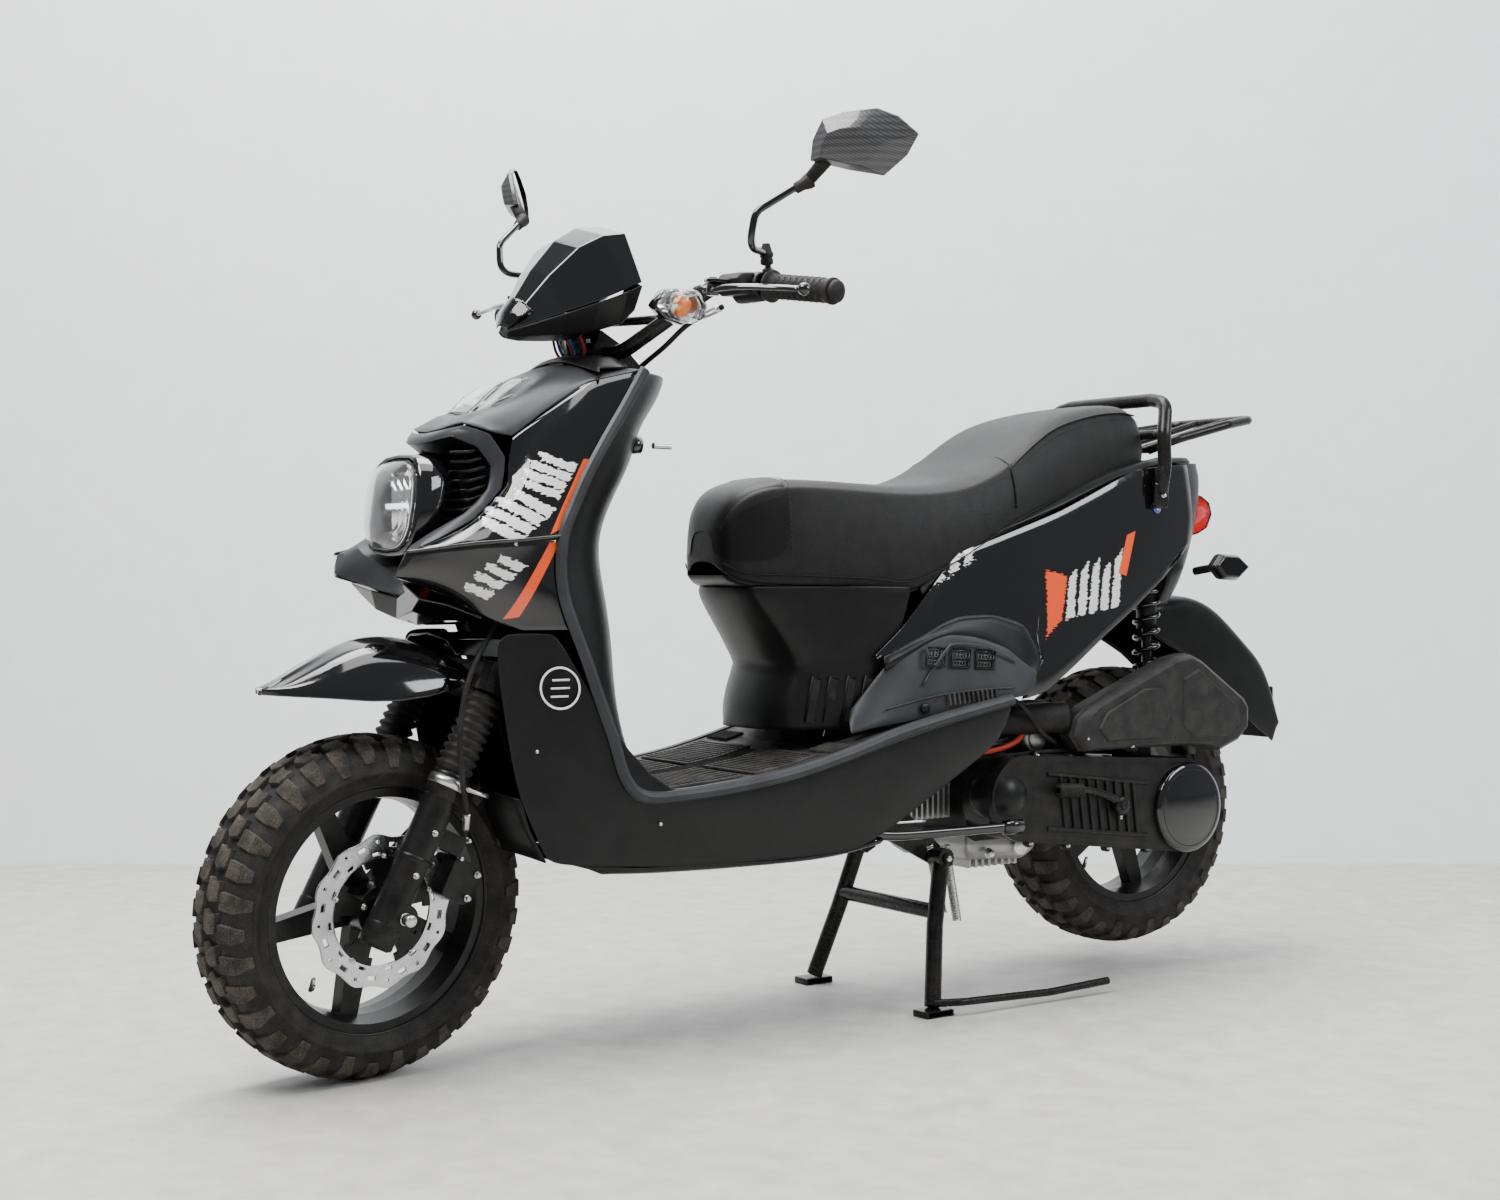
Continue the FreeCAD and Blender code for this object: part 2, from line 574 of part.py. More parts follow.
def make_grips():
    def grip(sign):
        inner_end, outer_end = Vector(sign * 280, 448.2, 1080), Vector(sign * 394, 461.5, 1068.4)
        flange = inner_end + (outer_end - inner_end).normalize() * 4
        shape = round_bar(inner_end, outer_end, size("grip_radius")).fuse(round_bar(inner_end, flange, 22))
        return shape.cut(bar_shape(size("grip_bore")))
    on_bars("left_grip", grip(1))
    on_bars("throttle_grip", grip(-1))


def make_brake_levers():
    for label, sign in (("brake_lever_left", 1), ("brake_lever_right", -1)):
        blade = pipe([Vector(sign * 240, 380, 1070), Vector(sign * 292, 380, 1073),
                      Vector(sign * 392, 408, 1067)], 5.5, 60)
        ball = Part.makeSphere(9, Vector(sign * 394, 408, 1067))
        eye = round_bar(Vector(sign * 238, 380, 1063), Vector(sign * 238, 380, 1080.6), 9)
        bore = round_bar(Vector(sign * 238, 380, 1050), Vector(sign * 238, 380, 1090), 3.06)
        on_bars(label, joined([blade, ball, eye]).cut(bore))


def make_mirrors():
    pieces = []
    hole = bar_shape(size("bar_radius") + 0.05)
    for sign in (1, -1):
        clamp = round_bar(Vector(sign * 272.5, 447.2, 1080.7), Vector(sign * 278, 447.9, 1080.2), 19)
        post = round_bar(Vector(sign * 275, 447, 1094), Vector(sign * 274, 442, 1124), 4)
        arm = pipe([Vector(sign * 272, 444, 1118), Vector(sign * 300, 388, 1122), Vector(sign * 308, 392, 1172),
                    Vector(sign * 334, 446, 1212)], 5, 22)
        pieces.append(joined([clamp, post, arm]).cut(hole))
    on_bars("mirror_arms", Part.makeCompound(pieces))
    outline = ((348, 452, 1244), (418, 522, 1226), (470, 532, 1276), (424, 498, 1312), (360, 462, 1300))
    for label, sign in (("mirror_head_left", 1), ("mirror_head_right", -1)):
        back = [Vector(sign * x, y, z) for x, y, z in outline]
        flat = Part.makePolygon([back[0], back[1], back[3], back[0]])
        normal = (back[1] - back[0]).cross(back[3] - back[0]).normalize()
        normal = normal if normal.y > 0 else -normal
        origin = back[0]
        back = [point - normal * (point - origin).dot(normal) for point in back]
        middle = sum(back[1:], back[0]) * 0.2
        front = [middle + (point - middle) * 0.72 - normal * 26 for point in back]
        head = loft([back, front])
        joint = Vector(sign * 342, 462, 1222)
        knuckle = round_bar(joint - Vector(sign * 3, 8, 2), middle - normal * 12, 7)
        on_bars(label, joined([head, knuckle]))


def make_brake_hose():
    hose = pipe([Vector(222, 412, 1052), Vector(170, 396, 1030), Vector(110, 400, 1000), Vector(58, 380, 955),
                 Vector(52, 334, 880), Vector(66, 262, 780), Vector(84, 196, 680), Vector(100, 130, 602),
                 Vector(112, 88, 540), Vector(122, 70, 474), Vector(124, 74, 410), Vector(118, 86, 362),
                 Vector(98, 96, 330)], 4, 60)
    on_bars("brake_hose", hose)


# ---------------------------------------------------------------- fork slider and front wheel

def make_fork_lowers():
    legs = []
    for sign in (1, -1):
        x = sign * size("leg_spread")
        legs.append(round_bar(Vector(x, FORK_Y, -58), Vector(x, FORK_Y, 186), size("leg_radius")))
        legs.append(round_bar(Vector(sign * 67, -size("axle_offset"), -size("axle_drop")),
                              Vector(sign * 113, -size("axle_offset"), -size("axle_drop")), 19))
    shaft = [round_bar(Vector(-116, -size("axle_offset"), -size("axle_drop")),
                       Vector(116, -size("axle_offset"), -size("axle_drop")), size("axle_radius"))]
    for low, high in ((-67, -45.5), (54.5, 67)):
        shaft.append(round_bar(Vector(low, -size("axle_offset"), -size("axle_drop")),
                               Vector(high, -size("axle_offset"), -size("axle_drop")), 14))
    lug = Part.makeBox(22, 60, 26, Vector(68, FORK_Y + 6, 92))
    solid = joined(legs + shaft + [lug])
    bores = [round_bar(Vector(x, FORK_Y, -22), Vector(x, FORK_Y, 190), size("leg_bore"))
             for x in (-size("leg_spread"), size("leg_spread"))]
    on_fork("fork_lowers", solid.cut(Part.makeCompound(bores)))


def make_gaiters():
    rings = [ring_bar(Vector(x, FORK_Y, 187), Vector(x, FORK_Y, 302), 26, 17)
             for x in (-size("leg_spread"), size("leg_spread"))]
    on_fork("fork_gaiters", Part.makeCompound(rings))


def make_caliper():
    centre = Vector(0, -size("axle_offset") + 73, -size("axle_drop") + 77)
    body = Part.makeBox(52, 44, 56, Vector(36, centre.y - 22, centre.z - 28))
    body = body.makeFillet(9, [edge for edge in body.Edges if abs(edge.tangentAt(0).x) > 0.9])
    slot_low = size("disc_side") - 1.5
    hub = Vector(slot_low, -size("axle_offset"), -size("axle_drop"))
    slot = Part.makeCylinder(size("disc_radius") + 3, size("disc_thickness") + 3, hub, X_AXIS)
    whole = body.cut(slot).cut(Part.makeBox(30, 61, 27, Vector(67.5, FORK_Y + 5, 91.5)))
    on_fork("brake_caliper", whole.cut(round_bar(Vector(size("leg_spread"), FORK_Y, -60),
                                                 Vector(size("leg_spread"), FORK_Y, 190), 23.5)))


def wheel_placement(front):
    if front:
        axle = Placement(Vector(0, -size("axle_offset"), -size("axle_drop")), Rotation())
        return SHIFT.multiply(TURN).multiply(FORK_FRAME).multiply(axle)
    return SHIFT.multiply(Placement(side(size("wheelbase"), size("rear_axle_height")), Rotation()))


def make_rim(label, front, half_width, hub_low, hub_high, hub_radius, bore):
    """Spokes first, then the hub and the barrel that they join, and last the axle bore."""
    rim = new_body(label)
    seat = size("rim_radius")
    spoke = pad(rim, sketch_in(rim, "YZ_Plane", [(26, -19), (seat - 2, -13), (seat - 2, 13), (26, 19)]),
                24, centred=True)
    repeat_round(rim, spoke, 5)
    spin(rim, sketch_in(rim, "XY_Plane", [(hub_low, bore), (hub_low, hub_radius), (hub_high, hub_radius),
                                          (hub_high, bore)]))
    barrel = [(-half_width, seat - 1), (-half_width, seat + 15), (-half_width + 3, seat + 15),
              (-half_width + 3, seat + 2.6), (-14, seat), (14, seat), (half_width - 3, seat + 2.6),
              (half_width - 3, seat + 15), (half_width, seat + 15), (half_width, seat - 1),
              (14, seat - 7), (-14, seat - 7)]
    rim.Tip = spin(rim, sketch_in(rim, "XY_Plane", barrel))
    keep(rim, label, wheel_placement(front))


def make_tyre(label, front, half_width, radius):
    tyre = new_body(label)
    seat = size("rim_radius") + 3
    bead = half_width * 0.7
    outer = [(bead, seat), (bead + 1, seat + 14), (half_width - 4, seat + 24), (half_width, seat + 40),
             (half_width - 6, radius - 12), (half_width * 0.55, radius - 2), (0, radius)]
    inner = [(0, radius - 12), (half_width * 0.5, radius - 14), (half_width - 13, radius - 26),
             (half_width - 9, seat + 38), (bead - 6, seat + 16), (bead - 8, seat)]
    right = outer + inner
    left = [(-x, r) for x, r in reversed(inner[1:])] + [(-x, r) for x, r in reversed(outer[:-1])]
    corners = [(-x, r) for x, r in outer[:-1]] + [outer[-1]] + [(x, r) for x, r in reversed(outer[:-1])]
    corners += [(x, r) for x, r in reversed(inner[1:])] + [inner[0]] + [(-x, r) for x, r in inner[1:]]
    spin(tyre, sketch_in(tyre, "XY_Plane", corners))
    keep(tyre, label, wheel_placement(front))


def make_brake_disc():
    disc = new_body("brake_disc")
    side_x = size("disc_side")
    ring = sketch_in(disc, "YZ_Plane", circles=[((0, 0), size("disc_radius"), "disc_radius"),
                                                ((0, 0), 20, None)])
    ring.AttachmentOffset = Placement(Vector(0, 0, side_x + 0.2), Rotation())
    pad(disc, ring, "disc_thickness")
    windows = disc.newObject("PartDesign::Pocket", "brake_disc_windows")
    hole = sketch_in(disc, "YZ_Plane", circles=[((48, 0), 13, None)])
    hole.AttachmentOffset = Placement(Vector(0, 0, side_x - 2), Rotation())
    windows.Profile = hole
    windows.Length = 20
    windows.Reversed = True
    repeat_round(disc, windows, 5)
    keep(disc, "brake_disc", wheel_placement(True))


# ---------------------------------------------------------------- engine, drive and rear wheel

def make_engine_case():
    block = Part.makeBox(150, 150, 152, Vector(-74, 1000, 246))
    block = block.makeFillet(22, [edge for edge in block.Edges if abs(edge.tangentAt(0).x) > 0.9])
    housing = belt_outline(68, 78, 76, 150).cut(belt_outline(64, 74, 82, 146))
    swing = Vector(0, size("swing_y"), size("swing_height"))
    ears = []
    for low, high in ((-60, -48), (48, 60)):
        ears.append(plate([(970, 450), (975, 470), (996, 470), (1080, 390), (1040, 380), (1010, 385)], low, high))
        ears.append(round_bar(swing + Vector(low, 0, 0), swing + Vector(high, 0, 0), 17))
    bores = round_bar(swing - Vector(80, 0, 0), swing + Vector(80, 0, 0), size("swing_bore"))
    axle = round_bar(side(size("wheelbase"), size("rear_axle_height"), -58),
                     side(size("wheelbase"), size("rear_axle_height"), 84), 8.5)
    shafts = [round_bar(side(size(f"{end}_y"), size(f"{end}_height"), 78),
                        side(size(f"{end}_y"), size(f"{end}_height"), 148), size("drive_shaft"))
              for end in ("variator", "clutch")]
    shock_lug = plate([(1364, 356), (1374, 448), (1396, 448), (1410, 352)], 74, 80)
    shock_pin = round_bar(side(size("shock_y"), size("shock_foot"), 74),
                          side(size("shock_y"), size("shock_foot"), 108), 6)
    kick_boss = round_bar(side(size("kick_y"), size("kick_height"), 145),
                          side(size("kick_y"), size("kick_height"), 172), size("kick_shaft"))
    cap = round_bar(side(1417, 282, 149), side(1417, 282, 156), 70)
    solid = joined([block, housing, axle, shock_lug, shock_pin, kick_boss, cap] + shafts + ears)
    on_frame("engine_case", solid.cut(bores))


def make_cylinder():
    fins = [Part.makeBox(100, 4, 92, Vector(-50, y, 284)) for y in range(896, 990, 11)]
    barrel = round_bar(side(892, 330), side(999.8, 330), 36)
    head = Part.makeBox(84, 28, 84, Vector(-42, 872, 288))
    intake = round_bar(side(930, 370, 20), side(930, 398, 20), 16)
    carb = Part.makeBox(46, 60, 46, Vector(-2, 900, 396))
    on_frame("cylinder", joined([barrel, head, intake, carb] + fins))


def make_air_box():
    outline = [(1150, 412), (1172, 450), (1392, 538), (1438, 532), (1560, 452), (1562, 412), (1512, 384),
               (1470, 392), (1300, 392), (1160, 388)]
    outer = plate(outline, 125, 170)
    middle = Vector(147, 1370, 440)
    inset = [(middle.y + (y - middle.y) * 0.97, middle.z + (z - middle.z) * 0.93) for y, z in outline]
    on_frame("air_filter_box", outer.cut(plate(inset, 129, 166)))


def make_exhaust():
    header = pipe([side(940, 282, -30), side(942, 246, -30), side(1010, 222, -84), side(1120, 236, -122),
                   side(1200, 296, -126)], 13, 30)
    can_run = Vector(0, 1, 0.16).normalize()
    can_start = Vector(-126, 1190, 296)
    can = round_bar(can_start, can_start + can_run * 340, 46)
    inside = round_bar(can_start + can_run * 5, can_start + can_run * 335, 42)
    tail = Part.makeCylinder(14, 40, Vector(-126, 1520, 342), Vector(0, 1, 0.1))
    on_frame("exhaust", joined([header, can, tail]).cut(inside))


def make_belt_drive():
    belt = belt_outline(26, 57, 102, 120).cut(belt_outline(19.8, 51, 101, 121))
    on_frame("drive_belt", belt)
    for label, centre, rim, hub in (("variator", "variator", 54, 18.5), ("clutch_pulley", "clutch", 64, 50)):
        pulley = new_body(label)
        bore = size("pulley_bore")
        spin(pulley, sketch_in(pulley, "XY_Plane", [
            (88, bore), (88, rim), (92, rim), (100, hub), (122, hub), (130, rim), (134, rim), (134, bore)]))
        spot = Placement(side(size(f"{centre}_y"), size(f"{centre}_height")), Rotation())
        keep(pulley, label, SHIFT.multiply(spot))


def make_kick_lever():
    hub = ring_bar(side(size("kick_y"), size("kick_height"), 152.5),
                   side(size("kick_y"), size("kick_height"), 168), 15, size("kick_bore"))
    arm = pipe([side(1244, 300, 160), side(1190, 322, 160), side(1130, 328, 162)], 6.5, 40)
    pedal = round_bar(side(1118, 330, 162), side(1162, 326, 162), 10)
    solid = joined([hub, arm, pedal])
    on_frame("kick_lever", solid.cut(round_bar(side(size("kick_y"), size("kick_height"), 140),
                                               side(size("kick_y"), size("kick_height"), 180),
                                               size("kick_bore"))))


def make_shock():
    x, y, top, foot = size("shock_side"), size("shock_y"), size("shock_top"), size("shock_foot")
    eye = ring_bar(side(y, top, x - 12), side(y, top, x + 12), 15, 6.05)
    damper = ring_bar(side(y, top - 14, x), side(y, top - 120, x), 16, 8.05)
    perch = ring_bar(side(y, top - 34, x), side(y, top - 30, x), size("spring_radius"), 12)
    on_frame("shock_body", joined([eye, damper, perch, round_bar(side(y, top - 22, x), side(y, top - 13, x), 14)])
             .cut(round_bar(side(y, top, x - 20), side(y, top, x + 20), 6.05)))
    rod = round_bar(side(y, foot + 14, x), side(y, top - 110, x), 8)
    low_perch = round_bar(side(y, foot + 24, x), side(y, foot + 28, x), size("spring_radius"))
    low_eye = ring_bar(side(y, foot, x - 9), side(y, foot, x + 9), 16, 9)
    on_frame("shock_rod", joined([rod, low_perch, low_eye])
             .cut(round_bar(side(y, foot, x - 20), side(y, foot, x + 20), 9)))
    coil = ring_bar(side(y, foot + 28, x), side(y, top - 34, x), size("spring_radius"), 17)
    on_frame("shock_spring", coil)


# ---------------------------------------------------------------- stands and seat

def make_center_stand():
    y, z = size("stand_y"), size("stand_height")
    parts = []
    for sign in (1, -1):
        parts.append(round_bar(side(y, z, sign * 88), side(y, z, sign * 118), 15))
        parts.append(pipe([side(y - 2, z - 8, sign * 106), side(897, 130, sign * 122),
                           side(868, 14, sign * 152)], 13, 60))
        parts.append(Part.makeBox(34, 52, 10, Vector(sign * 154 - 17, 842, 0)))
    parts.append(round_bar(side(902, 150, -114), side(902, 150, 114), 12))
    tang = pipe([side(866, 20, 158), side(900, 22, 182), side(1080, 16, 182), side(1206, 20, 182)], 6, 30)
    parts.append(tang)
    pins = [round_bar(side(y, z, sign * 70), side(y, z, sign * 130), size("stand_bore")) for sign in (1, -1)]
    on_frame("center_stand", joined(parts).cut(Part.makeCompound(pins)))


def make_side_stand():
    y, z = size("side_stand_y"), size("side_stand_height")
    hub = round_bar(side(y, z, 132), side(y, z, 152), 15)
    leg = pipe([side(y + 8, z, 144), side(800, 279, 152), side(1000, 282, 186)], 8, 60)
    foot = round_bar(side(985, 281, 183), side(1012, 282, 188), 12)
    hole = round_bar(side(y, z, 120), side(y, z, 160), 6.05)
    on_frame("side_stand", joined([hub, leg, foot]).cut(hole))


def make_seat():
    rows = ((550, 44, 700, 732), (590, 74, 668, 790), (640, 94, 660, 820), (740, 124, 652, 816),
            (835, 144, 646, 812), (907, 150, 694, 815), (1045, 142, 742, 852), (1156, 136, 782, 922),
            (1250, 126, 818, 946), (1328, 110, 850, 956), (1378, 90, 864, 888))

    def ring(y, half_x, low, high, trim=0.0):
        half_x, low, high = half_x - trim, low, high - trim
        waist = low + (high - low) * 0.4
        shoulder = low + (high - low) * 0.82
        right = [side(y, low, half_x * 0.94), side(y, waist, half_x), side(y, shoulder, half_x * 0.9),
                 side(y, high, half_x * 0.55)]
        return right + [Vector(-p.x, p.y, p.z) for p in reversed(right)]

    cushion = loft([ring(*row) for row in rows])
    hollow = loft([ring(y, half_x, low - 8, high, 20) for y, half_x, low, high in rows[2:-1]])
    on_frame("seat", cushion.cut(hollow))


def make_key():
    key = doc.addObject("Part::Cylinder", "ignition_key")
    key.setExpression("Radius", "sizes.key_radius")
    key.setExpression("Height", "sizes.key_long")
    bed = Placement(Vector(74, 416, 856), Rotation(X_AXIS, -90))
    keep(key, "ignition_key", SHIFT.multiply(bed))


def make_all():
    make_frame()
    make_battery()
    make_storage_box()
    make_fuel_tank()
    make_fuel_cap()
    make_leg_shield()
    make_floorboard()
    make_side_skirts()
    make_belly_pan()
    make_under_seat_panel()
    make_vent_panels()
    make_side_panels()
    make_tail_cover()
    make_rear_lamps()
    make_rear_mudguard()
    make_rails()
    make_front_cowl()
    make_headlamp()
    make_steering_stem()
    make_handlebar()
    make_dash()
    make_front_mudguard()
    make_front_indicators()
    make_controls()
    make_grips()
    make_brake_levers()
    make_mirrors()
    make_brake_hose()
    make_fork_lowers()
    make_gaiters()
    make_caliper()
    make_rim("front_rim", True, 46, -45, 50, 34, size("wheel_bore"))
    make_tyre("front_tyre", True, size("front_tyre_width") / 2, size("front_wheel_radius"))
    make_brake_disc()
    make_rim("rear_rim", False, 50, -52, 68, 40, 8.55)
    make_tyre("rear_tyre", False, size("rear_tyre_width") / 2, size("rear_wheel_radius"))
    make_engine_case()
    make_cylinder()
    make_air_box()
    make_exhaust()
    make_belt_drive()
    make_kick_lever()
    make_shock()
    make_center_stand()
    make_side_stand()
    make_seat()
    make_key()


def check_and_write():
    doc.recompute()
    broken = [item.Label for item in doc.Objects if {"Invalid", "Error"} & set(item.State)]
    broken += [piece.Label for piece in WHOLE_MACHINE
               if piece.Shape.isNull() or not piece.Shape.isValid() or not piece.Shape.Solids]
    if broken:
        raise RuntimeError("these pieces failed: " + ", ".join(broken))
    os.makedirs("parts", exist_ok=True)
    for piece in WHOLE_MACHINE:
        piece.Shape.exportStep(f"parts/{piece.Label}.step")


make_all()
check_and_write()
box = FreeCAD.BoundBox()
for piece in WHOLE_MACHINE:
    box.add(piece.Shape.BoundBox)
print(len(WHOLE_MACHINE), "pieces,", [round(v, 1) for v in (box.XMin, box.YMin, box.ZMin, box.XMax, box.YMax, box.ZMax)])
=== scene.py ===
"""Moped scooter: the finished look of each piece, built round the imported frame."""
import sys

import json
import math
import random

import bmesh
import bpy
from mathutils import Matrix, Vector
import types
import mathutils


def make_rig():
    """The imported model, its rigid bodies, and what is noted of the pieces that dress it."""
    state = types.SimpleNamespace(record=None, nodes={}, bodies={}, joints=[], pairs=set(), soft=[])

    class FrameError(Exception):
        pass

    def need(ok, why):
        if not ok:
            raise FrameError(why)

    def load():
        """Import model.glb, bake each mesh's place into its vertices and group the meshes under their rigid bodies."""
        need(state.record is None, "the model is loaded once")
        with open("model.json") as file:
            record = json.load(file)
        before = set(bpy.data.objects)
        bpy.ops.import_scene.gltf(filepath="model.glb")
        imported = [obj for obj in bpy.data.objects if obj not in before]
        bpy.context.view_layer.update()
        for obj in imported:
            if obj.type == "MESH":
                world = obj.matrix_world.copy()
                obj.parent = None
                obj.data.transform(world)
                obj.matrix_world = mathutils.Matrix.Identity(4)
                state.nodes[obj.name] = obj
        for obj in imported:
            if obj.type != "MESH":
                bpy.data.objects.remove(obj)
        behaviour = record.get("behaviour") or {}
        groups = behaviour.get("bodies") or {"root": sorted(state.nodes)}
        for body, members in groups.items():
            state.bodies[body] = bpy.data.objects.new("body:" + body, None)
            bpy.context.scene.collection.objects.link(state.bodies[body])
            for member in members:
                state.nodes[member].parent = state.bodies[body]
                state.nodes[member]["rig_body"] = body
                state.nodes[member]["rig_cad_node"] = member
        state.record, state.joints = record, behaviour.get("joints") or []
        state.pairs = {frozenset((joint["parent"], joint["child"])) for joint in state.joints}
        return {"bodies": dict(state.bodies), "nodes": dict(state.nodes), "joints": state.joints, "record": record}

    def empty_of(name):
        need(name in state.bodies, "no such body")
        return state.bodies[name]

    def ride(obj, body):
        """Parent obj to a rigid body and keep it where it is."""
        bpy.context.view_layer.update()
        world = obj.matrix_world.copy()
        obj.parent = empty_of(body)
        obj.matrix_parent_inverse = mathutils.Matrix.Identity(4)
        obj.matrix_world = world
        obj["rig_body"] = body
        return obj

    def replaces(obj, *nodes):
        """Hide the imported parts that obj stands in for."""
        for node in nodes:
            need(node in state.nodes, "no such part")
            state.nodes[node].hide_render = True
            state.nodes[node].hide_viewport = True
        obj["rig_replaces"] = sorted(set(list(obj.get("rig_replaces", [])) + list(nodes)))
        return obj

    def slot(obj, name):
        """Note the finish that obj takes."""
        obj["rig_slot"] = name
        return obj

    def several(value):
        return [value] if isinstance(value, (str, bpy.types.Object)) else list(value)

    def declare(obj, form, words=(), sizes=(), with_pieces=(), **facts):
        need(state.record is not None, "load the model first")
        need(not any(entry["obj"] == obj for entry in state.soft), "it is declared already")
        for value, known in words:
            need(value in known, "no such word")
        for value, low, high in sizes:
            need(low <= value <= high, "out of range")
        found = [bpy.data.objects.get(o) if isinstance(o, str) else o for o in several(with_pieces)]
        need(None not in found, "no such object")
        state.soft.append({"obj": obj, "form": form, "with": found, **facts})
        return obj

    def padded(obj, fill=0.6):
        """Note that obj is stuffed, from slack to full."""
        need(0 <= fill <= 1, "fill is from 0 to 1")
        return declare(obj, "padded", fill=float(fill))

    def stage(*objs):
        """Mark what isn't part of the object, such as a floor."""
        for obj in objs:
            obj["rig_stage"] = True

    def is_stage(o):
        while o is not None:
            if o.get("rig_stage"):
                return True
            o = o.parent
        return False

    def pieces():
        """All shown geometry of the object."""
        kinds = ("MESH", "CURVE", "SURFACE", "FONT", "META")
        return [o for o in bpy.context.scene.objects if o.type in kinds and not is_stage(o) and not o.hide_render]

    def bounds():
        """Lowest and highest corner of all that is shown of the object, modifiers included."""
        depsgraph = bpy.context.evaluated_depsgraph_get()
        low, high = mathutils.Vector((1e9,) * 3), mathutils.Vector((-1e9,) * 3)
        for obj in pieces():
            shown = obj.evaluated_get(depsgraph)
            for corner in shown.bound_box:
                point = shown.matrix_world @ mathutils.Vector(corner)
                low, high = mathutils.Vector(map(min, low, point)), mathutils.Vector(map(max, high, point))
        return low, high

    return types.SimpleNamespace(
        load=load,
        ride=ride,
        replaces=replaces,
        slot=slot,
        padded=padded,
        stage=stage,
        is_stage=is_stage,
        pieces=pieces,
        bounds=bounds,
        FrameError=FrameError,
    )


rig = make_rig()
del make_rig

bl_info = {
    "name": "Moped Scooter",
    "version": (1, 0, 0),
    "blender": (4, 5, 0),
    "location": "3D View > Sidebar > Scooter",
    "description": "Builds the pieces of a moped scooter round its frame",
    "category": "Add Mesh",
}

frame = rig.load()
FRAME_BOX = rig.bounds()
JOINTS = {joint["name"]: joint for joint in frame["joints"]}
MM = 0.001
FRONT_AXLE_Y = -0.755
SIZE_FILE = "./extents.json"


# ---------------------------------------------------------------- settings

class ScooterSettings(bpy.types.PropertyGroup):
    steered: bpy.props.FloatProperty(
        name="Steered", description="How far the front wheel is turned to the left at rest",
        default=math.radians(6.6), unit="ROTATION")
    tread_blocks: bpy.props.IntProperty(
        name="Tread Blocks", description="Rows of tread blocks round each tyre", default=34, min=12)
    panel: bpy.props.FloatProperty(
        name="Panel", description="Thickness of the plastic panels", default=0.003, unit="LENGTH")
    gloss_black: bpy.props.FloatVectorProperty(
        name="Gloss Black", description="Colour of the glossy panels", subtype="COLOR",
        default=(0.0032, 0.0032, 0.0036))
    satin_black: bpy.props.FloatVectorProperty(
        name="Satin Black", description="Colour of the satin black panels", subtype="COLOR",
        default=(0.0065, 0.0067, 0.007))
    satin_grey: bpy.props.FloatVectorProperty(
        name="Satin Grey", description="Colour of the grey trim", subtype="COLOR",
        default=(0.032, 0.034, 0.037))
    decal_orange: bpy.props.FloatVectorProperty(
        name="Decal Orange", description="Colour of the orange bands", subtype="COLOR",
        default=(0.9, 0.09, 0.015))


def settings():
    return bpy.context.scene.scooter


# ---------------------------------------------------------------- places

def at(x, y, z):
    """A point from millimetres, with y counted back from the front axle."""
    return Vector((x * MM, y * MM + FRONT_AXLE_Y, z * MM))


def turn_matrix():
    """Takes a point drawn with the wheel straight to its place with the wheel turned."""
    joint = JOINTS["steering"]
    pivot = Vector(joint["pos_m"])
    spin = Matrix.Rotation(settings().steered, 4, Vector(joint["axis"]))
    return Matrix.Translation(pivot) @ spin @ Matrix.Translation(-pivot)


def along_fork(x, ahead, up):
    """A point given by its place across, ahead of and up the steering axis, in millimetres."""
    joint = JOINTS["steering"]
    stem = Vector(joint["axis"])
    forward = Vector((0, -stem.z, stem.y))
    return Vector(joint["pos_m"]) + Vector((x * MM, 0, 0)) + forward * ahead * MM + stem * up * MM


# ---------------------------------------------------------------- mesh makers

def add_piece(name, body, material, slot, verts, faces, turned=False, instead_of=()):
    mesh = bpy.data.meshes.new(name)
    mesh.from_pydata([tuple(v) for v in verts], [], faces)
    mesh.update()
    obj = bpy.data.objects.new(name, mesh)
    bpy.context.scene.collection.objects.link(obj)
    fix_normals(obj)
    return settle(obj, body, material, slot, turned, instead_of)


def settle(obj, body, material, slot, turned=False, instead_of=()):
    """Gives a finished piece its finish, its place and the body that it rides on."""
    if turned:
        obj.data.transform(turn_matrix())
    obj.data.materials.clear()
    obj.data.materials.append(material)
    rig.ride(obj, body)
    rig.slot(obj, slot)
    if instead_of:
        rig.replaces(obj, *instead_of)
    return obj


def fix_normals(obj):
    work = bmesh.new()
    work.from_mesh(obj.data)
    bmesh.ops.recalc_face_normals(work, faces=work.faces)
    for face in work.faces:
        face.smooth = True
    work.to_mesh(obj.data)
    work.free()


def modifier(obj, kind, **values):
    item = obj.modifiers.new(kind.title(), kind)
    for name, value in values.items():
        setattr(item, name, value)
    return item


def round_edges(obj, width, segments=2, angle=35):
    """Rounds the sharp edges by a width in millimetres and keeps flat faces flat."""
    modifier(obj, "BEVEL", width=width * MM, segments=segments, limit_method="ANGLE",
             angle_limit=math.radians(angle), harden_normals=False)
    modifier(obj, "WEIGHTED_NORMAL", keep_sharp=True)
    return obj


def panel_from(obj, levels=2, thickness=None):
    """Turns a surface into a moulded panel with an even wall and soft curves."""
    wall = settings().panel if thickness is None else thickness * MM
    modifier(obj, "SOLIDIFY", thickness=wall, offset=-1, use_even_offset=True,
             edge_crease_rim=0.9, edge_crease_outer=0.75, edge_crease_inner=0.75)
    modifier(obj, "SUBSURF", levels=levels, render_levels=levels)
    return obj


def crease(obj, test, value=0.8):
    """Creases each edge whose two ends (in metres) pass the test."""
    work = bmesh.new()
    work.from_mesh(obj.data)
    layer = work.edges.layers.float.get("crease_edge") or work.edges.layers.float.new("crease_edge")
    for edge in work.edges:
        if test(edge.verts[0].co, edge.verts[1].co):
            edge[layer] = value
    work.to_mesh(obj.data)
    work.free()


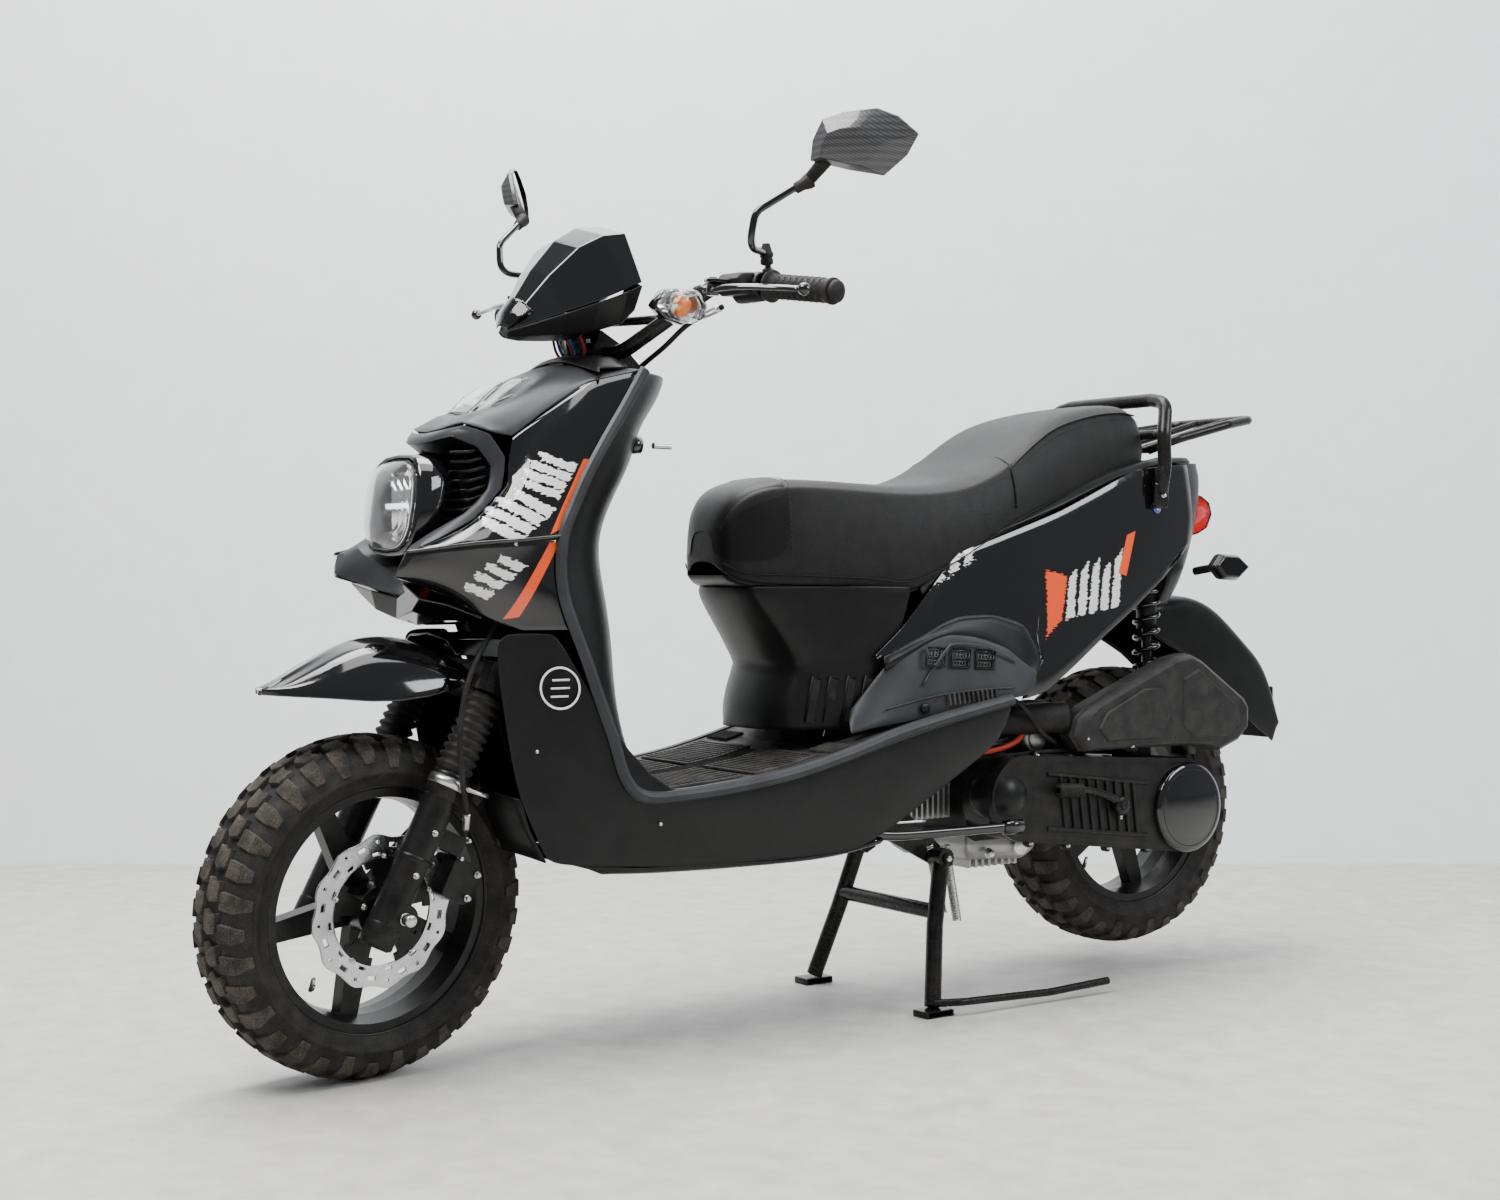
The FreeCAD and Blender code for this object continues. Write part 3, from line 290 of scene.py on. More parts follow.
def grid(rows, closed=False):
    """Vertices and quads through rows of points of equal length; closed joins each row's ends."""
    count = len(rows[0])
    verts = [point for row in rows for point in row]
    faces = []
    for i in range(len(rows) - 1):
        for j in range(count if closed else count - 1):
            k = (j + 1) % count
            faces.append((i * count + j, i * count + k, (i + 1) * count + k, (i + 1) * count + j))
    return verts, faces


def capped(rows):
    """Like grid with closed rows, with both ends filled."""
    verts, faces = grid(rows, closed=True)
    count = len(rows[0])
    last = (len(rows) - 1) * count
    faces.append(tuple(reversed(range(count))))
    faces.append(tuple(range(last, last + count)))
    return verts, faces


def merge(*parts):
    verts, faces = [], []
    for more_verts, more_faces in parts:
        start = len(verts)
        verts += list(more_verts)
        faces += [tuple(index + start for index in face) for face in more_faces]
    return verts, faces


def flip(part):
    """The same shape on the other side of the machine."""
    verts, faces = part
    return [Vector((-v[0], v[1], v[2])) for v in verts], [tuple(reversed(face)) for face in faces]


def two_sides(part):
    return merge(part, flip(part))


def lathe(profile, centre, axis, steps=64, closed=False):
    """A profile of (along, radius) in millimetres turned round an axis through a centre."""
    axis = Vector(axis).normalized()
    side = axis.orthogonal().normalized()
    other = axis.cross(side)
    rows = []
    for i in range(steps + 1):
        angle = 2 * math.pi * (i % steps) / steps
        out = side * math.cos(angle) + other * math.sin(angle)
        rows.append([Vector(centre) + axis * a * MM + out * r * MM for a, r in profile])
    count = len(profile)
    verts = [p for row in rows[:-1] for p in row]
    faces = []
    for i in range(steps):
        nxt = (i + 1) % steps
        for j in range(count if closed else count - 1):
            k = (j + 1) % count
            faces.append((i * count + j, i * count + k, nxt * count + k, nxt * count + j))
    return verts, faces


def disc_bar(centre, axis, radius, low, high, edge=1.0, steps=32):
    """A round bar with a small chamfer at each end, from low to high along its axis."""
    profile = [(low, 0.01), (low, radius - edge), (low + edge, radius), (high - edge, radius),
               (high, radius - edge), (high, 0.01)]
    return lathe(profile, centre, axis, steps)


def smooth_path(points, steps=8):
    """Points on a rounded curve through the given ones."""
    result = []
    padded_points = [points[0]] + list(points) + [points[-1]]
    for a, b, c, d in zip(padded_points, padded_points[1:], padded_points[2:], padded_points[3:]):
        for i in range(steps):
            t = i / steps
            result.append(0.5 * ((2 * b) + (c - a) * t + (2 * a - 5 * b + 4 * c - d) * t * t
                                 + (3 * b - a - 3 * c + d) * t ** 3))
    result.append(points[-1])
    return result


def rounded_path(points, bend, steps=6):
    """Straight runs joined by round corners of one radius in metres."""
    result = [points[0]]
    for before, corner, after in zip(points, points[1:], points[2:]):
        arriving, leaving = (corner - before), (after - corner)
        half_turn = arriving.angle(leaving) / 2
        reach = min(bend * math.tan(half_turn), 0.48 * arriving.length, 0.48 * leaving.length)
        start, end = corner - arriving.normalized() * reach, corner + leaving.normalized() * reach
        for i in range(steps + 1):
            t = i / steps
            result.append(start.lerp(corner, t).lerp(corner.lerp(end, t), t))
    result.append(points[-1])
    return result


def tube(path, radius, steps=16, flat=1.0, end_scale=1.0, cap=True):
    """A round tube of a radius in millimetres along a path of points."""
    rows = []
    normal = (path[1] - path[0]).orthogonal().normalized()
    for i, point in enumerate(path):
        ahead = path[min(i + 1, len(path) - 1)] - path[max(i - 1, 0)]
        ahead.normalize()
        normal = (normal - ahead * normal.dot(ahead)).normalized()
        other = ahead.cross(normal)
        share = i / (len(path) - 1)
        size = radius * MM * (1 + (end_scale - 1) * share)
        rows.append([point + normal * math.cos(2 * math.pi * k / steps) * size
                     + other * math.sin(2 * math.pi * k / steps) * size * flat for k in range(steps)])
    return capped(rows) if cap else grid(rows, closed=True)


def block(low, high):
    """A box between two corners."""
    xs, ys, zs = zip(low, high)
    verts = [Vector((xs[i], ys[j], zs[k])) for i in (0, 1) for j in (0, 1) for k in (0, 1)]
    faces = [(0, 1, 3, 2), (4, 6, 7, 5), (0, 4, 5, 1), (2, 3, 7, 6), (0, 2, 6, 4), (1, 5, 7, 3)]
    return verts, faces


def slab(outline, low_x, high_x):
    """A flat plate across the machine from an outline of (y, z) in millimetres."""
    rows = [[at(x, y, z) for y, z in outline] for x in (low_x, high_x)]
    return capped(rows)


def hex_bolt(centre, axis, across, tall):
    """A flanged hexagon bolt head."""
    flange = lathe([(0, 0.01), (0, across * 0.72), (1.4, across * 0.7), (1.8, across * 0.5), (1.8, 0.01)],
                   centre, axis, 24)
    head = lathe([(1.5, 0.01), (1.5, across * 0.56), (tall - 0.8, across * 0.56), (tall, across * 0.46),
                  (tall, 0.01)], centre, axis, 6)
    return merge(flange, head)


# ---------------------------------------------------------------- finishes

class Graph:
    """A node material being wired up."""

    def __init__(self, name):
        self.material = bpy.data.materials.new(name)
        self.material.use_nodes = True
        self.nodes = self.material.node_tree.nodes
        self.links = self.material.node_tree.links
        self.shader = self.nodes["Principled BSDF"]
        self.place = self.nodes.new("ShaderNodeTexCoord").outputs["Object"]

    def put(self, socket, value):
        if isinstance(value, bpy.types.NodeSocket):
            self.links.new(value, socket)
        elif socket.type == "RGBA":
            socket.default_value = (*value[:3], 1.0)
        else:
            socket.default_value = value

    def math(self, operation, a, b=0.0):
        node = self.nodes.new("ShaderNodeMath")
        node.operation = operation
        self.put(node.inputs[0], a)
        self.put(node.inputs[1], b)
        return node.outputs[0]

    def ramp(self, value, low, high, to_low=0.0, to_high=1.0):
        node = self.nodes.new("ShaderNodeMapRange")
        self.put(node.inputs["Value"], value)
        for name, number in (("From Min", low), ("From Max", high), ("To Min", to_low), ("To Max", to_high)):
            node.inputs[name].default_value = number
        return node.outputs[0]

    def stretched(self, scale):
        node = self.nodes.new("ShaderNodeMapping")
        self.links.new(self.place, node.inputs["Vector"])
        node.inputs["Scale"].default_value = scale
        return node.outputs[0]

    def noise(self, grain_mm, detail=3.0, vector=None):
        node = self.nodes.new("ShaderNodeTexNoise")
        self.links.new(vector or self.place, node.inputs["Vector"])
        node.inputs["Scale"].default_value = 1000.0 / grain_mm
        node.inputs["Detail"].default_value = detail
        return node.outputs["Fac"]

    def cells(self, grain_mm, vector=None, feature="F1"):
        node = self.nodes.new("ShaderNodeTexVoronoi")
        self.links.new(vector or self.place, node.inputs["Vector"])
        node.feature = feature
        node.inputs["Scale"].default_value = 1000.0 / grain_mm
        return node.outputs["Distance"]

    def mix(self, share, a, b):
        node = self.nodes.new("ShaderNodeMix")
        node.data_type = "RGBA"
        self.put(node.inputs["Factor"], share)
        self.put(node.inputs["A"], a)
        self.put(node.inputs["B"], b)
        return node.outputs["Result"]

    def bump(self, height, depth_mm, strength=1.0, under=None):
        node = self.nodes.new("ShaderNodeBump")
        self.links.new(height, node.inputs["Height"])
        node.inputs["Distance"].default_value = depth_mm * MM
        node.inputs["Strength"].default_value = strength
        if under is not None:
            self.links.new(under, node.inputs["Normal"])
        return node.outputs["Normal"]


def finish_of(name, colour, rough, metal=0.0, coat=0.0, grain="speckle", grain_mm=0.8, depth_mm=0.05,
              mottle=0.2, dust=0.0, dust_colour=(0.2, 0.175, 0.15), wear=0.05):
    """A finish with an uneven colour, patchy roughness, a surface grain and settled dust."""
    graph = Graph(name)
    patches = graph.noise(55, 4)
    base = graph.mix(graph.ramp(patches, 0.3, 0.7), [c * (1 - mottle) for c in colour],
                     [c * (1 + mottle) for c in colour])
    if dust:
        settled = graph.ramp(graph.math("MULTIPLY", graph.noise(24, 6), graph.noise(1.6, 2)), 0.16, 0.4, 0, dust)
        base = graph.mix(settled, base, dust_colour)
    graph.put(graph.shader.inputs["Base Color"], base)
    smudges = graph.math("ADD", graph.noise(90, 5), graph.noise(5, 3))
    graph.put(graph.shader.inputs["Roughness"],
              graph.ramp(smudges, 0.7, 1.3, max(rough - wear, 0.02), min(rough + wear, 1.0)))
    graph.shader.inputs["Metallic"].default_value = metal
    graph.shader.inputs["Coat Weight"].default_value = coat
    graph.shader.inputs["Coat Roughness"].default_value = 0.05
    graph.shader.inputs["Specular IOR Level"].default_value = 0.5 if coat or metal else 0.22
    if grain == "leather":
        height = graph.math("ADD", graph.cells(grain_mm * 2.4), graph.cells(grain_mm))
    elif grain == "brushed":
        height = graph.noise(grain_mm, 4, graph.stretched((1.0, 0.06, 0.3)))
    elif grain == "cast":
        height = graph.math("ADD", graph.noise(grain_mm * 3, 4), graph.noise(grain_mm, 2))
    else:
        height = graph.noise(grain_mm, 2)
    graph.put(graph.shader.inputs["Normal"], graph.bump(height, depth_mm))
    return graph


def shard_mask(graph, shards, ragged_mm):
    """One inside any of the convex shards, given as (y, z) corners in millimetres, and nought outside."""
    frayed = graph.noise(3.0, 4, graph.stretched((1.0, 0.25, 1.0)))
    drift = graph.math("MULTIPLY", graph.math("SUBTRACT", frayed, 0.5), 2 * ragged_mm * MM)
    together = None
    for corners in shards:
        points = [Vector((y * MM + FRONT_AXLE_Y, z * MM)) for y, z in corners]
        middle = sum(points, Vector((0, 0))) / len(points)
        inside = None
        for start, end in zip(points, points[1:] + points[:1]):
            run = (end - start).normalized()
            inward = Vector((-run.y, run.x))
            if inward.dot(middle - start) < 0:
                inward.negate()
            dot = graph.nodes.new("ShaderNodeVectorMath")
            dot.operation = "DOT_PRODUCT"
            graph.links.new(graph.place, dot.inputs[0])
            dot.inputs[1].default_value = (0, inward.x, inward.y)
            depth = graph.math("SUBTRACT", dot.outputs["Value"], inward.dot(start))
            inside = depth if inside is None else graph.math("MINIMUM", inside, depth)
        together = inside if together is None else graph.math("MAXIMUM", together, inside)
    return graph.ramp(graph.math("ADD", together, drift), -0.2 * MM, 0.2 * MM)


def paint_shards(graph, shards, colour, ragged_mm=0.0):
    socket = graph.shader.inputs["Base Color"]
    below = socket.links[0].from_socket
    graph.put(socket, graph.mix(shard_mask(graph, shards, ragged_mm), below, colour))


def slanted(base_y, base_z, length, wide, lean, gap, count, turn=0.0):
    """A row of slanted strokes, as (y, z) corners: each one is length long and wide across."""
    along = Vector((math.cos(turn), math.sin(turn)))
    upward = Vector((math.cos(turn + lean), math.sin(turn + lean)))
    strokes = []
    for i in range(count):
        reach = length * (0.55 + 0.45 * abs(math.sin(1.7 * i + 0.6)))
        foot = Vector((base_y, base_z)) + along * (wide + gap) * i
        strokes.append([foot, foot + along * wide, foot + along * wide * 0.8 + upward * reach,
                        foot + upward * reach * 0.86])
    return strokes


def glass(name, colour, rough=0.03, ribs_mm=0.0):
    """Moulded clear or tinted lens plastic, with fine ribs or swirls in it."""
    graph = Graph(name)
    graph.put(graph.shader.inputs["Base Color"], graph.mix(graph.noise(40), [c * 0.94 for c in colour], colour))
    graph.put(graph.shader.inputs["Roughness"], graph.ramp(graph.noise(30, 4), 0.3, 0.7, rough, rough + 0.05))
    graph.shader.inputs["Transmission Weight"].default_value = 0.97
    graph.shader.inputs["IOR"].default_value = 1.45
    height = graph.noise(ribs_mm or 12, 2, graph.stretched((1.0, 1.0, 0.1)) if ribs_mm else None)
    graph.put(graph.shader.inputs["Normal"], graph.bump(height, 0.3 if ribs_mm else 0.05))
    return graph


def woven(name):
    """Clear-coated carbon cloth: a twill of dark strands."""
    graph = Graph(name)
    split = graph.nodes.new("ShaderNodeSeparateXYZ")
    graph.links.new(graph.stretched((220, 220, 220)), split.inputs[0])
    across, up = split.outputs["X"], split.outputs["Z"]
    step = graph.math("FRACT", graph.math("ADD", graph.math("FLOOR", across), graph.math(
        "MULTIPLY", graph.math("FLOOR", up), 0.5)), 0.0)
    weave = graph.math("ABSOLUTE", graph.math("SINE", graph.math("MULTIPLY", graph.math("ADD", across, up), 3.14)))
    strand = graph.math("MULTIPLY", weave, graph.ramp(step, 0.0, 0.5, 0.45, 1.0))
    graph.put(graph.shader.inputs["Base Color"], graph.mix(strand, (0.004, 0.004, 0.005), (0.075, 0.075, 0.08)))
    graph.put(graph.shader.inputs["Roughness"], graph.ramp(strand, 0, 1, 0.5, 0.3))
    graph.shader.inputs["Coat Weight"].default_value = 0.7
    graph.shader.inputs["Coat Roughness"].default_value = 0.08
    graph.put(graph.shader.inputs["Normal"], graph.bump(strand, 0.15))
    return graph


FINISHES = {}


def make_finishes():
    own = settings()
    gloss, satin, grey = own.gloss_black[:], own.satin_black[:], own.satin_grey[:]
    made = {
        "gloss": finish_of("gloss_black_paint", gloss, 0.08, coat=0.6, grain_mm=14, depth_mm=0.02, mottle=0.1),
        "cowl": finish_of("cowl_paint", gloss, 0.08, coat=0.6, grain_mm=14, depth_mm=0.02, mottle=0.1),
        "flank": finish_of("flank_paint", gloss, 0.08, coat=0.6, grain_mm=14, depth_mm=0.02, mottle=0.1),
        "satin": finish_of("satin_black_plastic", satin, 0.36, grain_mm=0.7, depth_mm=0.04, dust=0.015),
        "grey": finish_of("grey_trim_plastic", grey, 0.38, grain_mm=0.8, depth_mm=0.05, dust=0.02),
        "floor": finish_of("floor_plastic", (0.016, 0.0165, 0.0175), 0.5, grain_mm=1.3, depth_mm=0.16, dust=0.22),
        "mat": finish_of("mat_rubber", (0.012, 0.012, 0.0125), 0.7, grain_mm=1.0, depth_mm=0.1, dust=0.25),
        "rubber": finish_of("soft_rubber", (0.008, 0.008, 0.008), 0.6, grain_mm=0.9, depth_mm=0.06, dust=0.1),
        "leather": finish_of("grained_leatherette", (0.0065, 0.0065, 0.007), 0.46, grain="leather", grain_mm=0.9,
                             depth_mm=0.22, dust=0.03),
        "smooth_hide": finish_of("smooth_leatherette", (0.0045, 0.0045, 0.0045), 0.4, grain="leather",
                                 grain_mm=0.5, depth_mm=0.08),
        "thread": finish_of("thread", (0.03, 0.03, 0.032), 0.7, grain_mm=0.4, depth_mm=0.1),
        "tyre": finish_of("tyre_rubber", (0.009, 0.0088, 0.0085), 0.64, grain_mm=0.9, depth_mm=0.1, dust=0.12),
        "tread": finish_of("tread_rubber", (0.02, 0.018, 0.016), 0.8, grain_mm=1.2, depth_mm=0.2, dust=0.75,
                           dust_colour=(0.115, 0.098, 0.082)),
        "wheel": finish_of("wheel_enamel", (0.006, 0.006, 0.0063), 0.32, grain="cast", grain_mm=1.1, depth_mm=0.05,
                           dust=0.06),
        "case": finish_of("engine_enamel", (0.007, 0.007, 0.0073), 0.36, grain="cast", grain_mm=1.2,
                          depth_mm=0.1, dust=0.08),
        "tube": finish_of("frame_enamel", (0.005, 0.005, 0.005), 0.26, grain_mm=2.2, depth_mm=0.04, dust=0.08),
        "zinc": finish_of("zinc_plate", (0.62, 0.62, 0.6), 0.3, metal=1.0, grain="brushed", grain_mm=1.0,
                          depth_mm=0.04),
        "steel": finish_of("brushed_steel", (0.55, 0.56, 0.57), 0.28, metal=1.0, grain="brushed", grain_mm=0.7,
                           depth_mm=0.05),
        "alloy": finish_of("cast_alloy", (0.42, 0.42, 0.41), 0.46, metal=1.0, grain="cast", grain_mm=1.3,
                           depth_mm=0.18, dust=0.1),
        "chrome": finish_of("chrome_plate", (0.78, 0.79, 0.8), 0.07, metal=1.0, grain_mm=25, depth_mm=0.02),
        "mirror": finish_of("mirror_glass", (0.85, 0.86, 0.87), 0.03, metal=1.0, grain_mm=60, depth_mm=0.01,
                            wear=0.01),
        "box": finish_of("dark_grey_box", (0.016, 0.0165, 0.017), 0.5, grain_mm=1.3, depth_mm=0.12, dust=0.12),
        "white": finish_of("lamp_white", (0.85, 0.85, 0.84), 0.35, grain_mm=2, depth_mm=0.05),
        "lit": finish_of("lit_strip", (0.95, 0.96, 1.0), 0.3, grain_mm=2, depth_mm=0.05),
        "amber": finish_of("amber_bulb", (0.9, 0.22, 0.02), 0.25, grain_mm=2, depth_mm=0.05),
        "red_hose": finish_of("red_hose_rubber", (0.34, 0.03, 0.015), 0.42, grain_mm=1, depth_mm=0.06),
        "dot": finish_of("blue_dot", (0.03, 0.09, 0.4), 0.2, coat=0.8, grain_mm=2, depth_mm=0.02),
        "clear": glass("clear_lens_plastic", (1.0, 1.0, 1.0)),
        "ribbed": glass("ribbed_lens_plastic", (0.97, 0.98, 1.0), ribs_mm=5.0),
        "red_lens": glass("red_lens_plastic", (0.5, 0.01, 0.01), ribs_mm=4.0),
        "smoke": glass("smoked_lens_plastic", (0.12, 0.12, 0.13), ribs_mm=4.0),
        "carbon": woven("carbon_cloth"),
    }
    glow = made["lit"].shader
    glow.inputs["Emission Color"].default_value = (0.92, 0.96, 1.0, 1.0)
    glow.inputs["Emission Strength"].default_value = 2.2
    white, orange = (0.8, 0.8, 0.79), own.decal_orange[:]
    paint_shards(made["cowl"], slanted(150, 712, 66, 17, 1.9, 3, 4, 0.66) + slanted(216, 772, 62, 13, 1.75, 2, 4, 1.0),
                 white, ragged_mm=7)
    paint_shards(made["cowl"], [[(200, 726), (219, 735), (270, 829), (257, 829)]], orange)
    paint_shards(made["cowl"], slanted(116, 640, 48, 13, 2.0, 5, 4, 0.72), white, ragged_mm=7)
    paint_shards(made["cowl"], [[(140, 613), (160, 616), (213, 716), (198, 715)]], orange)
    paint_shards(made["flank"], slanted(1140, 600, 98, 19, 1.25, 7, 5, 0.16), white, ragged_mm=8)
    paint_shards(made["flank"], [[(1099, 574), (1131, 600), (1147, 669), (1100, 678)]], orange, ragged_mm=9)
    paint_shards(made["flank"], [[(1262, 674), (1281, 669), (1307, 743), (1286, 736)]], orange)
    paint_shards(made["flank"], slanted(850, 640, 60, 20, 0.9, 12, 4, 0.5), white, ragged_mm=14)
    FINISHES.update({key: graph.material for key, graph in made.items()})


# ---------------------------------------------------------------- what stays as packed

NODE_FINISH = {
    "tube": ("frame", "steering_stem", "handlebar", "grab_rail", "luggage_rack", "center_stand", "side_stand",
             "shock_body", "shock_rod", "mirror_arms"),
    "satin": ("storage_box", "fuel_tank", "belly_pan", "tail_cover", "rear_mudguard", "switch_boxes",
              "floorboard", "leg_shield", "side_skirts", "under_seat_panel"),
    "grey": ("vent_panels",),
    "gloss": ("dash_cowl", "front_mudguard", "headlamp_housing", "brake_lever_left", "brake_lever_right"),
    "cowl": ("front_cowl",), "flank": ("side_panels",),
    "wheel": ("front_rim", "rear_rim", "fork_lowers"), "tyre": ("front_tyre", "rear_tyre"),
    "case": ("engine_case", "brake_caliper", "exhaust"), "alloy": ("cylinder",), "box": ("air_filter_box",),
    "rubber": ("fork_gaiters", "brake_hose", "left_grip", "throttle_grip", "fuel_cap", "battery", "drive_belt",
               "horn_button", "starter_button"),
    "carbon": ("mirror_head_left", "mirror_head_right"), "steel": ("brake_disc", "variator", "clutch_pulley"),
    "zinc": ("ignition_key", "kick_lever"), "clear": ("headlamp_lens", "front_indicators"),
    "red_lens": ("rear_lamps",), "leather": ("seat",), "smoke": ("speedometer",), "chrome": ("shock_spring",),
}


class SCOOTER_OT_frame_finish(bpy.types.Operator):
    """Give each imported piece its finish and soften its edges"""
    bl_idname = "scooter.frame_finish"
    bl_label = "Frame Finish"

    def execute(self, context):
        for key, names in NODE_FINISH.items():
            for name in names:
                node = frame["nodes"][name]
                node.data.materials.clear()
                node.data.materials.append(FINISHES[key])
                round_edges(node, 1.2)
        return {"FINISHED"}


# ---------------------------------------------------------------- wheels

def wheel_frame(joint):
    """The middle and the axis of a wheel, with its turned-out directions."""
    centre, axis = Vector(JOINTS[joint]["pos_m"]), Vector(JOINTS[joint]["axis"])
    if axis.x < 0:
        axis.negate()
    up = (Vector((0, 0, 1)) - axis * axis.z).normalized()
    return centre, axis, up, axis.cross(up)


def on_wheel(place, x, radius, angle):
    centre, axis, up, back = place
    return centre + axis * x * MM + (up * math.cos(angle) + back * math.sin(angle)) * radius * MM


def tyre_mesh(place, half, radius, seat):
    """The casing, with a ridge round each side wall."""
    profile = [(half * 0.66, seat + 1), (half * 0.72, seat + 6), (half * 0.8, seat + 9), (half * 0.86, seat + 16),
               (half - 3, seat + 27), (half - 0.6, seat + 29), (half - 0.8, seat + 33), (half - 2.6, seat + 35),
               (half - 3, radius - 27), (half - 8, radius - 17), (half * 0.62, radius - 9.5),
               (half * 0.3, radius - 8), (0, radius - 7.6)]
    loop = profile + [(-x, r) for x, r in reversed(profile[:-1])]
    loop += [(-half * 0.5, seat + 2), (half * 0.5, seat + 2)]
    return lathe(loop, place[0], place[1], 96, closed=True)


def tread_block(place, outline, low, high):
    """One block: outline holds (x, angle, drop) at each corner, drop being how far below the crown it is."""
    under = [on_wheel(place, x, low - drop, angle) for x, angle, drop in outline]
    middle_x = sum(x for x, _, _ in outline) / len(outline)
    middle_a = sum(angle for _, angle, _ in outline) / len(outline)
    over = [on_wheel(place, middle_x + (x - middle_x) * 0.93, high - drop, middle_a + (angle - middle_a) * 0.9)
            for x, angle, drop in outline]
    return capped([under, over])


def tread_mesh(place, half, radius, rows):
    """Two staggered middle ribs of chunky blocks, and shoulder blocks that run down the side."""
    pitch = 2 * math.pi / rows
    blocks = []
    for i in range(rows):
        for sign in (1, -1):
            turn = pitch * (i + (0.5 if sign < 0 else 0))
            blocks.append(tread_block(place, [
                (sign * 2, turn, 0), (sign * 2, turn + pitch * 0.66, 0), (sign * 12, turn + pitch * 0.84, 0.2),
                (sign * 30, turn + pitch * 0.7, 1.6), (sign * 30, turn + pitch * 0.06, 1.6),
                (sign * 14, turn + pitch * 0.16, 0.3)], radius - 10, radius))
            turn += pitch * 0.36
            top = [(sign * 34, turn, 3), (sign * 34, turn + pitch * 0.62, 3),
                   (sign * (half - 7), turn + pitch * 0.7, 13), (sign * (half - 7), turn + pitch * 0.06, 13)]
            blocks.append(tread_block(place, top, radius - 10, radius + 0.2))
            long = 22 if i % 2 else 13
            foot = [on_wheel(place, sign * x, r, turn + pitch * a) for x, r, a in (
                (half - 13, radius - 17, 0.06), (half - 13, radius - 17, 0.7),
                (half - 6, radius - 17 - long, 0.6), (half - 6, radius - 17 - long, 0.16))]
            face = [on_wheel(place, sign * x, r, turn + pitch * a) for x, r, a in (
                (half - 6.6, radius - 13.4, 0.09), (half - 6.6, radius - 13.4, 0.66),
                (half + 0.2, radius - 16 - long, 0.56), (half + 0.2, radius - 16 - long, 0.2))]
            blocks.append(capped([foot, face]))
    return merge(*blocks)


class SCOOTER_OT_tyres(bpy.types.Operator):
    """Build both tyres with their tread blocks and side wall ridges"""
    bl_idname = "scooter.tyres"
    bl_label = "Tyres"

    def execute(self, context):
        rows = settings().tread_blocks
        for end, joint, half, radius in (("front", "front_wheel_spin", 60, 230), ("rear", "rear_wheel_spin", 65, 236)):
            place = wheel_frame(joint)
            body = f"{end}_wheel"
            add_piece(f"{end}_tyre_casing", body, FINISHES["tyre"], "tyre_rubber",
                      *tyre_mesh(place, half, radius, 155), instead_of=[f"{end}_tyre"])
            blocks = add_piece(f"{end}_tread_blocks", body, FINISHES["tread"], "tyre_rubber",
                               *tread_mesh(place, half, radius, rows))
            round_edges(blocks, 1.3, 2, 30)
            valve = merge(disc_bar(on_wheel(place, 8, 132, 2.5), place[1] * 0.5 + place[2], 3, 0, 22),
                          disc_bar(on_wheel(place, 8, 128, 2.5), place[1] * 0.5 + place[2], 4.2, -2, 7))
            add_piece(f"{end}_valve", body, FINISHES["zinc"], "bright_steel", *valve)
            self.rim_details(place, end, body)
        return {"FINISHED"}

    def rim_details(self, place, end, body):
        """Hub flange bolts and a rounded bead on each rim lip."""
        parts = []
        for x in (-46, 46) if end == "front" else (-50, 50):
            profile = [(x + 3.4 * math.cos(a), 166 + 3.4 * math.sin(a)) for a in
                       [2 * math.pi * i / 10 for i in range(10)]]
            parts.append(lathe(profile, place[0], place[1], 96, closed=True))
        for i in range(5):
            angle = 2 * math.pi * (i + 0.5) / 5
            spot = on_wheel(place, 50 if end == "front" else 68, 24 if end == "front" else 30, angle)
            parts.append(hex_bolt(spot, place[1], 6, 5))
        add_piece(f"{end}_rim_lips", body, FINISHES["wheel"], "wheel_paint", *merge(*parts))


def disc_cells(place, x, rings, steps, keep, wave=0.0):
    """A flat ring made of cells; keep says which cells are there and wave how far the rim ripples."""
    verts, faces = [], []
    for r in rings:
        for k in range(steps):
            angle = 2 * math.pi * k / steps
            ripple = wave * math.sin(12 * angle) if r == rings[-1] else 0
            verts.append(on_wheel(place, x, r + ripple, angle))
    for j in range(len(rings) - 1):
        for k in range(steps):
            if keep(j, k):
                n = (k + 1) % steps
                faces.append((j * steps + k, j * steps + n, (j + 1) * steps + n, (j + 1) * steps + k))
    return verts, faces


